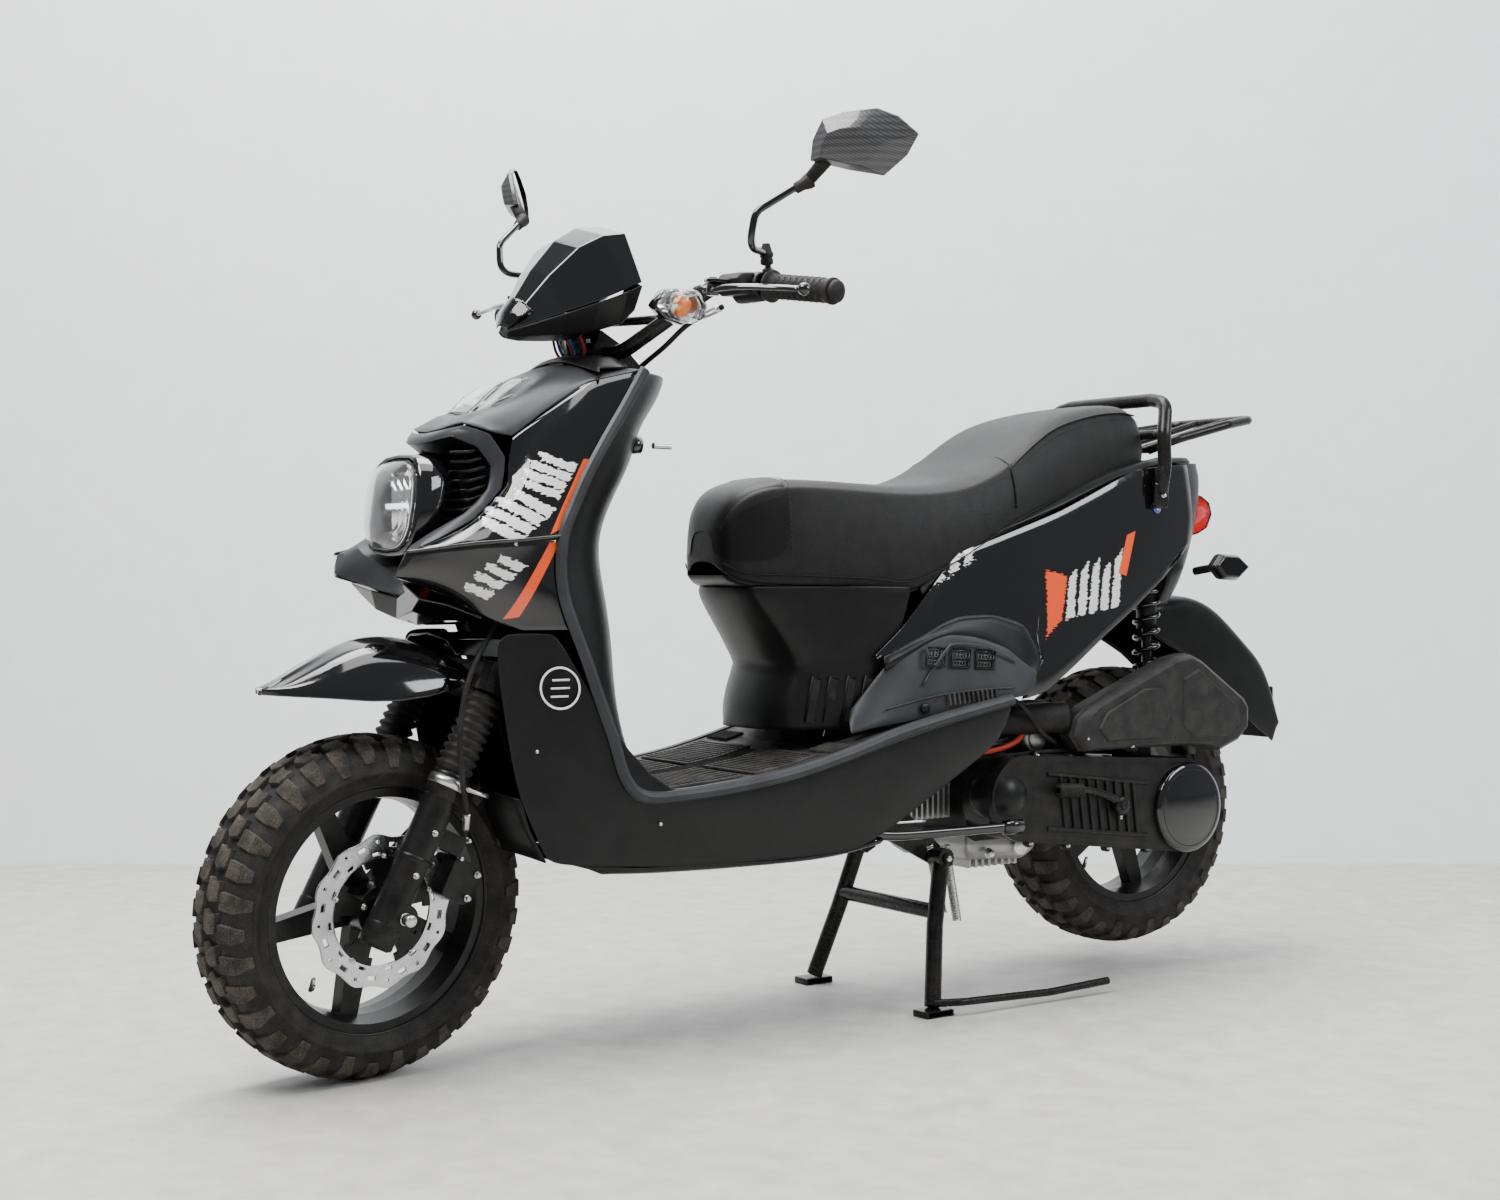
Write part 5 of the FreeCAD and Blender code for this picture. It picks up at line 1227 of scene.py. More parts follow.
class SCOOTER_OT_floor(bpy.types.Operator):
    """Build the footboard with its rubber mats, ridges and ribbed corners"""
    bl_idname = "scooter.floor"
    bl_label = "Floor"

    @staticmethod
    def height(y):
        table = ((338, 372), (400, 374), (490, 380), (592, 394), (690, 417), (776, 441), (880, 461), (1002, 481))
        for (y0, z0), (y1, z1) in zip(table, table[1:]):
            if y <= y1:
                return z0 + (z1 - z0) * (y - y0) / (y1 - y0)
        return table[-1][1]

    def strip(self, y0, y1, x0, x1, rise, tall, rounds=6):
        """A raised pad on the footboard between two y and two x values."""
        ys = [y0 + (y1 - y0) * i / rounds for i in range(rounds + 1)]
        rows = [[at(x0, y, self.height(y) + rise), at(x1, y, self.height(y) + rise),
                 at(x1 - math.copysign(1, x1 - x0), y, self.height(y) + rise + tall),
                 at(x0 + math.copysign(1, x1 - x0), y, self.height(y) + rise + tall)] for y in ys]
        return capped(rows)

    def execute(self, context):
        rows = []
        for y in (338, 360, 400, 490, 592, 690, 776, 840, 900, 1002):
            z = self.height(y)
            rows.append([(186, y, z - 4), (183, y, z), (165, y, z - 1), (110, y, z - 3), (50, y, z - 3), (0, y, z - 3)]
                        if y < 700 else
                        [(186, y, z - 4), (183, y, z), (165, y, z - 1), (150, y, z - 2), (135, y, z - 3), (118, y, z - 3)])
        front = add_piece("footboard_front", "chassis", FINISHES["floor"], "dark_plastic",
                          *grid(mirrored_rows(rows[:6])), instead_of=["floorboard"])
        panel_from(front, 2)
        rear = add_piece("footboard_rear", "chassis", FINISHES["floor"], "dark_plastic", *half_panel(rows[5:]))
        panel_from(rear, 2)
        mats, ridges, ribs = [], [], []
        for s in (1, -1):
            mats.append(self.strip(386, 520, s * 20, s * 150, -1.5, 4))
            mats.append(self.strip(536, 650, s * 20, s * 156, -1.5, 4))
            for i in range(16):
                y = 392 + i * 8
                ridges.append(self.strip(y, y + 3.4, s * 26, s * 144, 2.3, 1.8, 1))
            for i in range(13):
                y = 542 + i * 8
                ridges.append(self.strip(y, y + 3.4, s * 26, s * 150, 2.3, 1.8, 1))
            for i in range(8):
                x = 112 + i * 7
                ribs.append(self.strip(664, 700, s * x, s * (x + 3.4), -2, 5, 2))
            for i in range(12):
                y = 900 + i * 7
                ribs.append(self.strip(y, y + 3.4, s * 140, s * 178, -2, 5, 1))
        for x in range(-12, 13, 6):
            ridges.append(self.strip(392, 640, x - 1.2, x + 1.2, -2, 4, 10))
        plain = add_piece("floor_mats", "chassis", FINISHES["mat"], "soft_rubber", *merge(*mats))
        round_edges(plain, 0.8)
        for name, parts in (("mat_ridges", ridges), ("floor_ribs", ribs)):
            obj = add_piece(name, "chassis", FINISHES["mat"], "soft_rubber", *merge(*parts))
            round_edges(obj, 0.5, 1)
        return {"FINISHED"}


# ---------------------------------------------------------------- seat

# Each row across the seat: y, half width, bottom, waist, shoulder and top heights, and the crown's flat share.
SEAT_ROWS = ((547, 30, 690, 702, 722, 736, 0.5), (552, 52, 676, 696, 742, 760, 0.5),
             (566, 66, 664, 694, 770, 786, 0.52), (592, 80, 657, 692, 792, 806, 0.54),
             (640, 96, 654, 700, 802, 817, 0.56), (700, 112, 650, 704, 800, 817, 0.58),
             (770, 126, 646, 704, 796, 814, 0.58), (835, 138, 640, 706, 792, 811, 0.58),
             (900, 146, 664, 716, 794, 814, 0.56), (970, 147, 700, 744, 806, 824, 0.56),
             (1045, 145, 740, 776, 840, 860, 0.58), (1100, 141, 762, 800, 880, 900, 0.6),
             (1156, 136, 782, 826, 910, 929, 0.62), (1240, 128, 812, 856, 932, 949, 0.62),
             (1310, 118, 838, 878, 940, 958, 0.6), (1350, 108, 850, 884, 938, 956, 0.56),
             (1374, 96, 858, 880, 918, 934, 0.5), (1380, 84, 866, 880, 896, 902, 0.5))


def seat_half(row, grow=0.0):
    """Half of a row, from the bottom edge round to the middle of the top."""
    y, half, low, waist, shoulder, top, flat = row
    half, top, shoulder = half + grow, top + grow, shoulder + grow
    return [(half * 0.8, y, low + 2), (half * 0.955, y, low), (half * 0.99, y, low + 10), (half, y, waist),
            (half * 0.975, y, (waist + shoulder) / 2), (half * 0.9, y, shoulder),
            (half * (0.9 + flat) / 2, y, shoulder + (top - shoulder) * 0.72), (half * flat, y, top - 1.5),
            (half * 0.25, y, top), (0, y, top)]


def seat_line(share_of_half, rows, lift=0.6):
    """A line along the seat's surface through the same place in each row, between corners of seat_half."""
    points = []
    for row in rows:
        half = seat_half(row, lift)
        place = share_of_half
        a, b = half[int(place)], half[min(int(place) + 1, len(half) - 1)]
        t = place - int(place)
        points.append(tuple(a[i] + (b[i] - a[i]) * t for i in range(3)))
    return points


class SCOOTER_OT_seat(bpy.types.Operator):
    """Build the padded two-level seat, its nose patch, seams and base"""
    bl_idname = "scooter.seat"
    bl_label = "Seat"

    def execute(self, context):
        rows = mirrored_rows([seat_half(row) for row in SEAT_ROWS])
        verts, faces = grid(rows)
        count = len(rows[0])
        faces.append(tuple(range(count)))
        faces.append(tuple(range((len(rows) - 1) * count, len(rows) * count)))
        cushion = add_piece("seat_cushion", "seat", FINISHES["leather"], "seat_vinyl", verts, faces,
                            instead_of=["seat"])
        crease(cushion, lambda a, b: self.is_welt(a, rows) and self.is_welt(b, rows), 0.45)
        modifier(cushion, "SUBSURF", levels=3, render_levels=3)
        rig.padded(cushion, fill=0.8)
        self.seams()
        self.base()
        return {"FINISHED"}

    @staticmethod
    def is_welt(point, rows):
        return any((point - row[i]).length < 1e-5 for row in rows for i in (5, -6))

    @staticmethod
    def arch(row, grow, behind=0):
        """A line over the seat from waist to waist, a little behind a row."""
        half = [at(x, y + behind, z) for x, y, z in seat_half(row, grow)[3:]]
        return half + [Vector((-p.x, p.y, p.z)) for p in half[-2::-1]]

    def seams(self):
        """Stitched welts: along each shoulder, over the step and round the nose."""
        tubes = []
        for s in (1, -1):
            edge = [at(s * x, y, z) for x, y, z in seat_line(5.0, SEAT_ROWS[10:-2], -0.6)]
            tubes.append(tube(smooth_path(edge, 6), 1.5, 8))
            low = [at(s * x, y, z) for x, y, z in seat_line(2.2, SEAT_ROWS[1:-2], 0.3)]
            tubes.append(tube(smooth_path(low, 6), 1.1, 8))
        tubes.append(tube(smooth_path(self.arch(SEAT_ROWS[10], 0.3), 5), 1.5, 8))
        add_piece("seat_welts", "seat", FINISHES["smooth_hide"], "seat_vinyl", *merge(*tubes))
        shield = [seat_half(row, 0.9)[3:] for row in SEAT_ROWS[:5]]
        patch = add_piece("seat_nose_patch", "seat", FINISHES["smooth_hide"], "seat_vinyl",
                          *grid(mirrored_rows(shield)))
        modifier(patch, "SUBSURF", levels=2, render_levels=2)
        stitches = []
        for s in (1, -1):
            line = smooth_path([at(s * x, y, z) for x, y, z in seat_line(4.7, SEAT_ROWS[10:-2], 0.2)], 30)
            stitches += [tube([a, b], 0.55, 6) for a, b in list(zip(line, line[1:]))[::2]]
        line = smooth_path(self.arch(SEAT_ROWS[4], 1.3, 4), 14)
        stitches += [tube([a, b], 0.6, 6) for a, b in list(zip(line, line[1:]))[::2]]
        add_piece("seat_stitches", "seat", FINISHES["thread"], "seat_vinyl", *merge(*stitches))

    def base(self):
        rows = []
        for y, half, low, *_ in SEAT_ROWS[1:-1]:
            rows.append([(half * 0.93, y, low + 3), (half * 0.92, y, low - 5), (half * 0.8, y, low - 7), (0, y, low - 7)])
        pan = add_piece("seat_base", "seat", FINISHES["satin"], "dark_plastic", *grid(mirrored_rows(rows)))
        panel_from(pan, 1)


# ---------------------------------------------------------------- middle and rear panels

class SCOOTER_OT_under_seat(bpy.types.Operator):
    """Build the panel below the seat's nose, with its facets, slots and lower ribs"""
    bl_idname = "scooter.under_seat"
    bl_label = "Under-Seat Panel"

    def execute(self, context):
        levels = (
            (440, ((126, 770), (118, 716), (96, 650), (56, 622), (0, 618))),
            (476, ((130, 780), (122, 716), (92, 642), (52, 622), (0, 619))),
            (534, ((132, 804), (124, 740), (92, 664), (50, 646), (0, 642))),
            (575, ((134, 816), (126, 740), (90, 640), (50, 622), (0, 618))),
            (612, ((136, 828), (128, 740), (84, 610), (46, 596), (0, 592))),
            (644, ((138, 836), (130, 740), (80, 588), (44, 576), (0, 573))),
            (654, ((137, 838), (128, 742), (79, 592), (43, 580), (0, 577))))
        rows = [[(x, y, z) for x, y in half] for z, half in levels]
        panel = add_piece("seat_pillar", "chassis", FINISHES["satin"], "satin_black", *grid(mirrored_rows(rows)),
                          instead_of=["under_seat_panel"])
        crease(panel, lambda a, b: abs(a.z - b.z) < 1e-5 and abs(a.z - 0.534) < 1e-4, 0.6)
        crease(panel, lambda a, b: abs(abs(a.x) - 0.09) < 0.0125 and abs(abs(b.x) - 0.09) < 0.0125, 0.5)
        panel_from(panel, 2)
        slots, lips = [], []
        for s in (1, -1):
            for i in range(4):
                y, x = 664 + i * 27, 101 + i * 8
                hole = [at(s * x, y, 452), at(s * (x + 5), y + 14, 450), at(s * (x + 8), y + 24, 516),
                        at(s * (x + 4), y + 12, 520)]
                slots.append(capped([hole, [p - Vector((s * 0.004, 0, 0)) for p in hole]]))
                lips.append(tube([hole[0], hole[3], hole[2]], 1.8, 8))
        holes = add_piece("pillar_slots", "chassis", FINISHES["rubber"], "dark_plastic", *merge(*slots))
        round_edges(holes, 0.8)
        add_piece("pillar_slot_lips", "chassis", FINISHES["satin"], "satin_black", *merge(*lips))
        return {"FINISHED"}


class SCOOTER_OT_vent_panels(bpy.types.Operator):
    """Build the grey panels above the footboard, with their mesh vents and foot pads"""
    bl_idname = "scooter.vent_panels"
    bl_label = "Vent Panels"

    def execute(self, context):
        columns = [[(132, 726, 470), (142, 716, 452), (152, 712, 436)],
                   [(138, 764, 512), (150, 758, 484), (160, 752, 444)],
                   [(146, 806, 558), (158, 812, 512), (167, 818, 452)],
                   [(151, 850, 577), (164, 858, 522), (172, 864, 460)],
                   [(155, 892, 589), (167, 900, 532), (176, 910, 467)],
                   [(159, 946, 580), (169, 954, 532), (179, 962, 476)],
                   [(163, 1002, 563), (172, 1008, 526), (181, 1006, 480)],
                   [(168, 1034, 538), (175, 1034, 512), (181, 1024, 482)],
                   [(172, 1064, 519), (176, 1058, 500), (179, 1036, 484)]]
        panel = add_piece("vent_shell", "chassis", FINISHES["grey"], "satin_grey", *half_panel(columns),
                          instead_of=["vent_panels"])
        panel_from(panel, 2)
        frames, meshes, lines = [], [], []
        for s in (1, -1):
            for i in range(3):
                y = 858 + i * 48
                z = 540 - i * 3
                corners = [at(s * (163.8 + i * 2), y - 10, z + 22), at(s * (165 + i * 2), y + 26, z + 20),
                           at(s * (168.4 + i * 2), y + 20, z - 8), at(s * (167.6 + i * 2), y - 16, z - 6)]
                frames.append(tube(corners + [corners[0]], 1.8, 8))
                for k in range(6):
                    t = (k + 0.5) / 6
                    meshes.append(tube([corners[0].lerp(corners[1], t), corners[3].lerp(corners[2], t)], 0.9, 6))
                for k in range(5):
                    t = (k + 0.5) / 5
                    meshes.append(tube([corners[0].lerp(corners[3], t), corners[1].lerp(corners[2], t)], 0.9, 6))
            lines.append(tube(smooth_path([at(s * x, y, z) for x, y, z in (
                (166, 838, 505), (169, 880, 556), (168, 900, 566), (171, 960, 560), (173, 1020, 536))], 6), 2.2, 8,
                flat=0.6))
            lines.append(tube(smooth_path([at(s * x, y, z) for x, y, z in (
                (162, 770, 470), (170, 850, 486), (176, 930, 494), (180, 1010, 496))], 6), 2.0, 8, flat=0.6))
        add_piece("vent_frames", "chassis", FINISHES["satin"], "satin_black", *merge(*frames))
        add_piece("vent_mesh", "chassis", FINISHES["gloss"], "gloss_black", *merge(*meshes))
        add_piece("vent_lines", "chassis", FINISHES["grey"], "satin_grey", *merge(*lines))
        pads, bolts = [], []
        for s in (1, -1):
            for i in range(11):
                y = 880 + i * 9
                x, z = 177 + i * 0.35, 478 + i * 0.7
                pads.append(capped([[at(s * x, y, z - 5), at(s * x, y + 4, z - 5), at(s * (x + 3), y + 4, z - 5),
                                     at(s * (x + 3), y, z - 5)],
                                    [at(s * (x - 4), y, z + 12), at(s * (x - 4), y + 4, z + 12),
                                     at(s * (x - 1), y + 4, z + 12), at(s * (x - 1), y, z + 12)]]))
            bolts.append(disc_bar(at(s * 166, 838, 470), (s, 0, 0), 8, 2, 8))
        ribbed = add_piece("foot_pads", "chassis", FINISHES["mat"], "soft_rubber", *merge(*pads))
        round_edges(ribbed, 0.5, 1)
        add_piece("vent_plugs", "chassis", FINISHES["satin"], "satin_black", *merge(*bolts))
        return {"FINISHED"}


class SCOOTER_OT_side_panels(bpy.types.Operator):
    """Build the gloss panels below the seat, the satin strip over them and the round badge"""
    bl_idname = "scooter.side_panels"
    bl_label = "Side Panels"

    def execute(self, context):
        columns = [[(136, 770, 550), (137, 771, 549), (138, 771, 547), (140, 770, 545)],
                   [(139, 818, 590), (141, 818, 583), (143, 817, 575), (146, 816, 562)],
                   [(142, 858, 634), (146, 858, 618), (149, 860, 600), (151, 860, 580)],
                   [(144, 894, 674), (148, 892, 648), (151, 892, 620), (152, 892, 594)],
                   [(145, 926, 706), (150, 926, 668), (152, 926, 630), (152, 922, 602)],
                   [(147, 985, 724), (152, 988, 680), (154, 990, 634), (154, 988, 604)],
                   [(147, 1035, 740), (152, 1040, 690), (155, 1046, 636), (156, 1052, 586)],
                   [(146, 1085, 756), (152, 1085, 696), (156, 1088, 630), (158, 1090, 536)],
                   [(145, 1110, 764), (152, 1100, 690), (157, 1080, 590), (158, 1044, 474)],
                   [(144, 1140, 774), (151, 1136, 690), (157, 1128, 600), (158, 1098, 486)],
                   [(142, 1200, 798), (150, 1196, 712), (155, 1188, 630), (157, 1166, 530)],
                   [(139, 1262, 824), (147, 1258, 740), (152, 1250, 660), (154, 1226, 570)],
                   [(135, 1320, 844), (142, 1322, 772), (147, 1320, 700), (148, 1294, 610)],
                   [(128, 1390, 854), (134, 1394, 796), (138, 1392, 740), (140, 1376, 664)],
                   [(118, 1456, 858), (122, 1460, 814), (127, 1460, 772), (130, 1452, 724)]]
        panel = add_piece("flank_panels", "chassis", FINISHES["flank"], "gloss_black", *half_panel(columns),
                          instead_of=["side_panels"])
        panel_from(panel, 2)
        arch = [[(143, 780, 549), (147, 820, 563), (151, 866, 584), (152, 922, 604), (154, 988, 607),
                 (156, 1052, 590), (158, 1088, 544), (158, 1074, 500)],
                [(150, 778, 536), (153, 818, 552), (156, 858, 572), (159, 896, 584), (162, 946, 579),
                 (166, 1002, 560), (171, 1034, 535), (175, 1062, 512)],
                [(146, 780, 526), (149, 820, 542), (152, 858, 562), (155, 896, 574), (158, 946, 569),
                 (161, 1000, 551), (166, 1030, 527), (170, 1056, 504)]]
        inner = add_piece("flank_arch", "chassis", FINISHES["satin"], "satin_black", *half_panel(arch))
        panel_from(inner, 2)
        strip = [[(142, 856, 640), (136, 856, 650), (126, 856, 652)], [(144, 926, 712), (138, 926, 722), (128, 926, 724)],
                 [(146, 1035, 746), (140, 1035, 757), (130, 1035, 759)],
                 [(143, 1140, 780), (137, 1140, 791), (127, 1140, 793)],
                 [(138, 1262, 829), (132, 1262, 840), (122, 1262, 842)],
                 [(127, 1390, 859), (121, 1390, 868), (111, 1390, 869)],
                 [(116, 1466, 862), (108, 1466, 870), (98, 1466, 871)]]
        band = add_piece("seat_band", "chassis", FINISHES["satin"], "satin_black", *half_panel(strip))
        panel_from(band, 2)
        badge, spot = [], []
        for s in (1, -1):
            axis = Vector((s, 0.12, 0.08))
            badge.append(disc_bar(at(s * 137.5, 1362, 782), axis, 9.5, 0, 3))
            spot.append(disc_bar(at(s * 137.5, 1362, 782), axis, 4.2, 2, 3.6, 0.4))
        add_piece("round_badge", "chassis", FINISHES["dot"], "dark_plastic", *merge(*badge))
        add_piece("badge_centre", "chassis", FINISHES["white"], "clear_lens", *merge(*spot))
        return {"FINISHED"}


class SCOOTER_OT_tail(bpy.types.Operator):
    """Build the tail, its lamp, the rear indicators, the mudguard and the number plate holder"""
    bl_idname = "scooter.tail"
    bl_label = "Tail"

    def execute(self, context):
        levels = ((620, ((110, 1392), (104, 1424), (60, 1436), (0, 1438))),
                  (652, ((122, 1400), (112, 1456), (62, 1474), (0, 1476))),
                  (728, ((118, 1418), (104, 1494), (64, 1512), (0, 1514))),
                  (800, ((112, 1438), (92, 1520), (66, 1536), (0, 1538))),
                  (846, ((106, 1448), (84, 1528), (66, 1540), (0, 1542))),
                  (862, ((100, 1452), (80, 1520), (60, 1530), (0, 1532))))
        rows = [[(x, y, z) for x, y in half] for z, half in levels]
        cover = add_piece("tail_shell", "chassis", FINISHES["satin"], "satin_black", *grid(mirrored_rows(rows)),
                          instead_of=["tail_cover"])
        panel_from(cover, 2)
        deck = [[(100, 1452, 862), (60, 1446, 868), (0, 1444, 870)], [(80, 1520, 863), (56, 1522, 868), (0, 1524, 870)],
                [(62, 1534, 852), (44, 1538, 856), (0, 1540, 858)]]
        lid = add_piece("tail_deck", "chassis", FINISHES["satin"], "satin_black", *grid(mirrored_rows(deck)))
        panel_from(lid, 1)
        lamp = [[(62, 1542, 742), (40, 1546, 738), (0, 1548, 737)], [(66, 1560, 752), (44, 1572, 748), (0, 1576, 747)],
                [(70, 1568, 776), (46, 1582, 774), (0, 1587, 773)], [(70, 1562, 796), (46, 1580, 800), (0, 1584, 801)],
                [(66, 1546, 808), (44, 1552, 812), (0, 1554, 813)]]
        red = add_piece("tail_lamp", "chassis", FINISHES["red_lens"], "red_lens", *grid(mirrored_rows(lamp)),
                        instead_of=["rear_lamps"])
        panel_from(red, 2, 2)
        self.indicators()
        self.mudguard()
        return {"FINISHED"}

    def indicators(self):
        bodies, lenses = [], []
        for s in (1, -1):
            rows = [[at(s * x, y, z) for x, y, z in row] for row in (
                [(140, 1486, 684), (140, 1500, 672), (140, 1520, 674), (140, 1530, 686), (140, 1516, 696),
                 (140, 1496, 696)],
                [(146, 1472, 684), (146, 1494, 664), (146, 1530, 662), (146, 1558, 684), (146, 1530, 702),
                 (146, 1490, 704)],
                [(156, 1470, 685), (156, 1494, 662), (156, 1534, 660), (156, 1566, 684), (156, 1534, 705),
                 (156, 1490, 707)])]
            bodies.append(capped(rows))
            front = [rows[2], [at(s * x, y, z) for x, y, z in (
                (168, 1478, 685), (168, 1498, 668), (168, 1530, 667), (168, 1554, 684), (168, 1530, 700),
                (168, 1494, 701))]]
            lenses.append(capped(front))
            bodies.append(tube([at(s * 100, 1490, 676), at(s * 142, 1504, 684)], 7, 14))
        shells = add_piece("rear_turn_bodies", "chassis", FINISHES["satin"], "satin_black", *merge(*bodies))
        round_edges(shells, 3, 3)
        covers = add_piece("rear_turn_lenses", "chassis", FINISHES["smoke"], "clear_lens", *merge(*lenses))
        round_edges(covers, 3, 3)

    def mudguard(self):
        spine = ((1426, 628, 76, 566), (1502, 640, 80, 530), (1564, 622, 80, 486), (1610, 588, 80, 452),
                 (1653, 552, 80, 424), (1694, 522, 78, 398), (1722, 470, 76, 384), (1740, 420, 74, 372))
        rows = []
        for i, (y, z, half, low) in enumerate(spine):
            back = 0.35 * i
            rows.append([(half, y - 6 * back - 6, low), (half, y - 4 * back, (z + low) / 2), (half, y - back, z - 16),
                         (half - 10, y, z - 2), (half * 0.5, y, z), (0, y, z + 2)])
        guard = add_piece("rear_guard", "chassis", FINISHES["satin"], "satin_black", *grid(mirrored_rows(rows)),
                          instead_of=["rear_mudguard"])
        panel_from(guard, 2)
        plate = block(at(-70, 1722, 378), at(70, 1727, 470))
        holder = add_piece("plate_holder", "chassis", FINISHES["satin"], "satin_black", *plate)
        round_edges(holder, 3, 3)
        reflector = disc_bar(at(0, 1741, 442), (0, 1, 0.2), 22, 0, 5)
        add_piece("rear_reflector", "chassis", FINISHES["red_lens"], "red_lens", *reflector)


class SCOOTER_OT_rails(bpy.types.Operator):
    """Build the grab rails, their bolted feet and the rack's bolts"""
    bl_idname = "scooter.rails"
    bl_label = "Rails"

    def execute(self, context):
        half = [at(x, y, z) for x, y, z in ((148, 1362, 806), (147, 1372, 850), (145, 1372, 905),
                                            (134, 1388, 958), (96, 1394, 966))]
        hoop = rounded_path(half + [Vector((-p.x, p.y, p.z)) for p in reversed(half)], 0.034, 8)
        rail = [tube(hoop, 11.5, 20)]
        across = rounded_path([at(x, y, z) for x, y, z in (
            (140, 1380, 905), (104, 1398, 908), (-104, 1398, 908), (-140, 1380, 905))], 0.02, 6)
        rail.append(tube(across, 8, 16))
        add_piece("grab_rails", "chassis", FINISHES["tube"], "frame_paint", *merge(*rail), instead_of=["grab_rail"])
        feet = [capped([[at(s * 144, 1346, 780), at(s * 144, 1378, 780), at(s * 144, 1382, 824), at(s * 144, 1350, 824)],
                        [at(s * 151, 1348, 782), at(s * 151, 1376, 782), at(s * 151, 1380, 822),
                         at(s * 151, 1352, 822)]]) for s in (1, -1)]
        base = add_piece("rail_feet", "chassis", FINISHES["tube"], "frame_paint", *merge(*feet))
        round_edges(base, 2.5, 3)
        bolts = [hex_bolt(at(s * 151, 1364, 803), (s, 0, 0), 6.5, 6) for s in (1, -1)]
        bolts += [hex_bolt(at(x, 1490, 908), (0, 0, 1), 5, 4) for x in (-36, 36)]
        add_piece("rail_bolts", "chassis", FINISHES["zinc"], "bright_steel", *merge(*bolts))
        return {"FINISHED"}


# ---------------------------------------------------------------- handlebar and controls

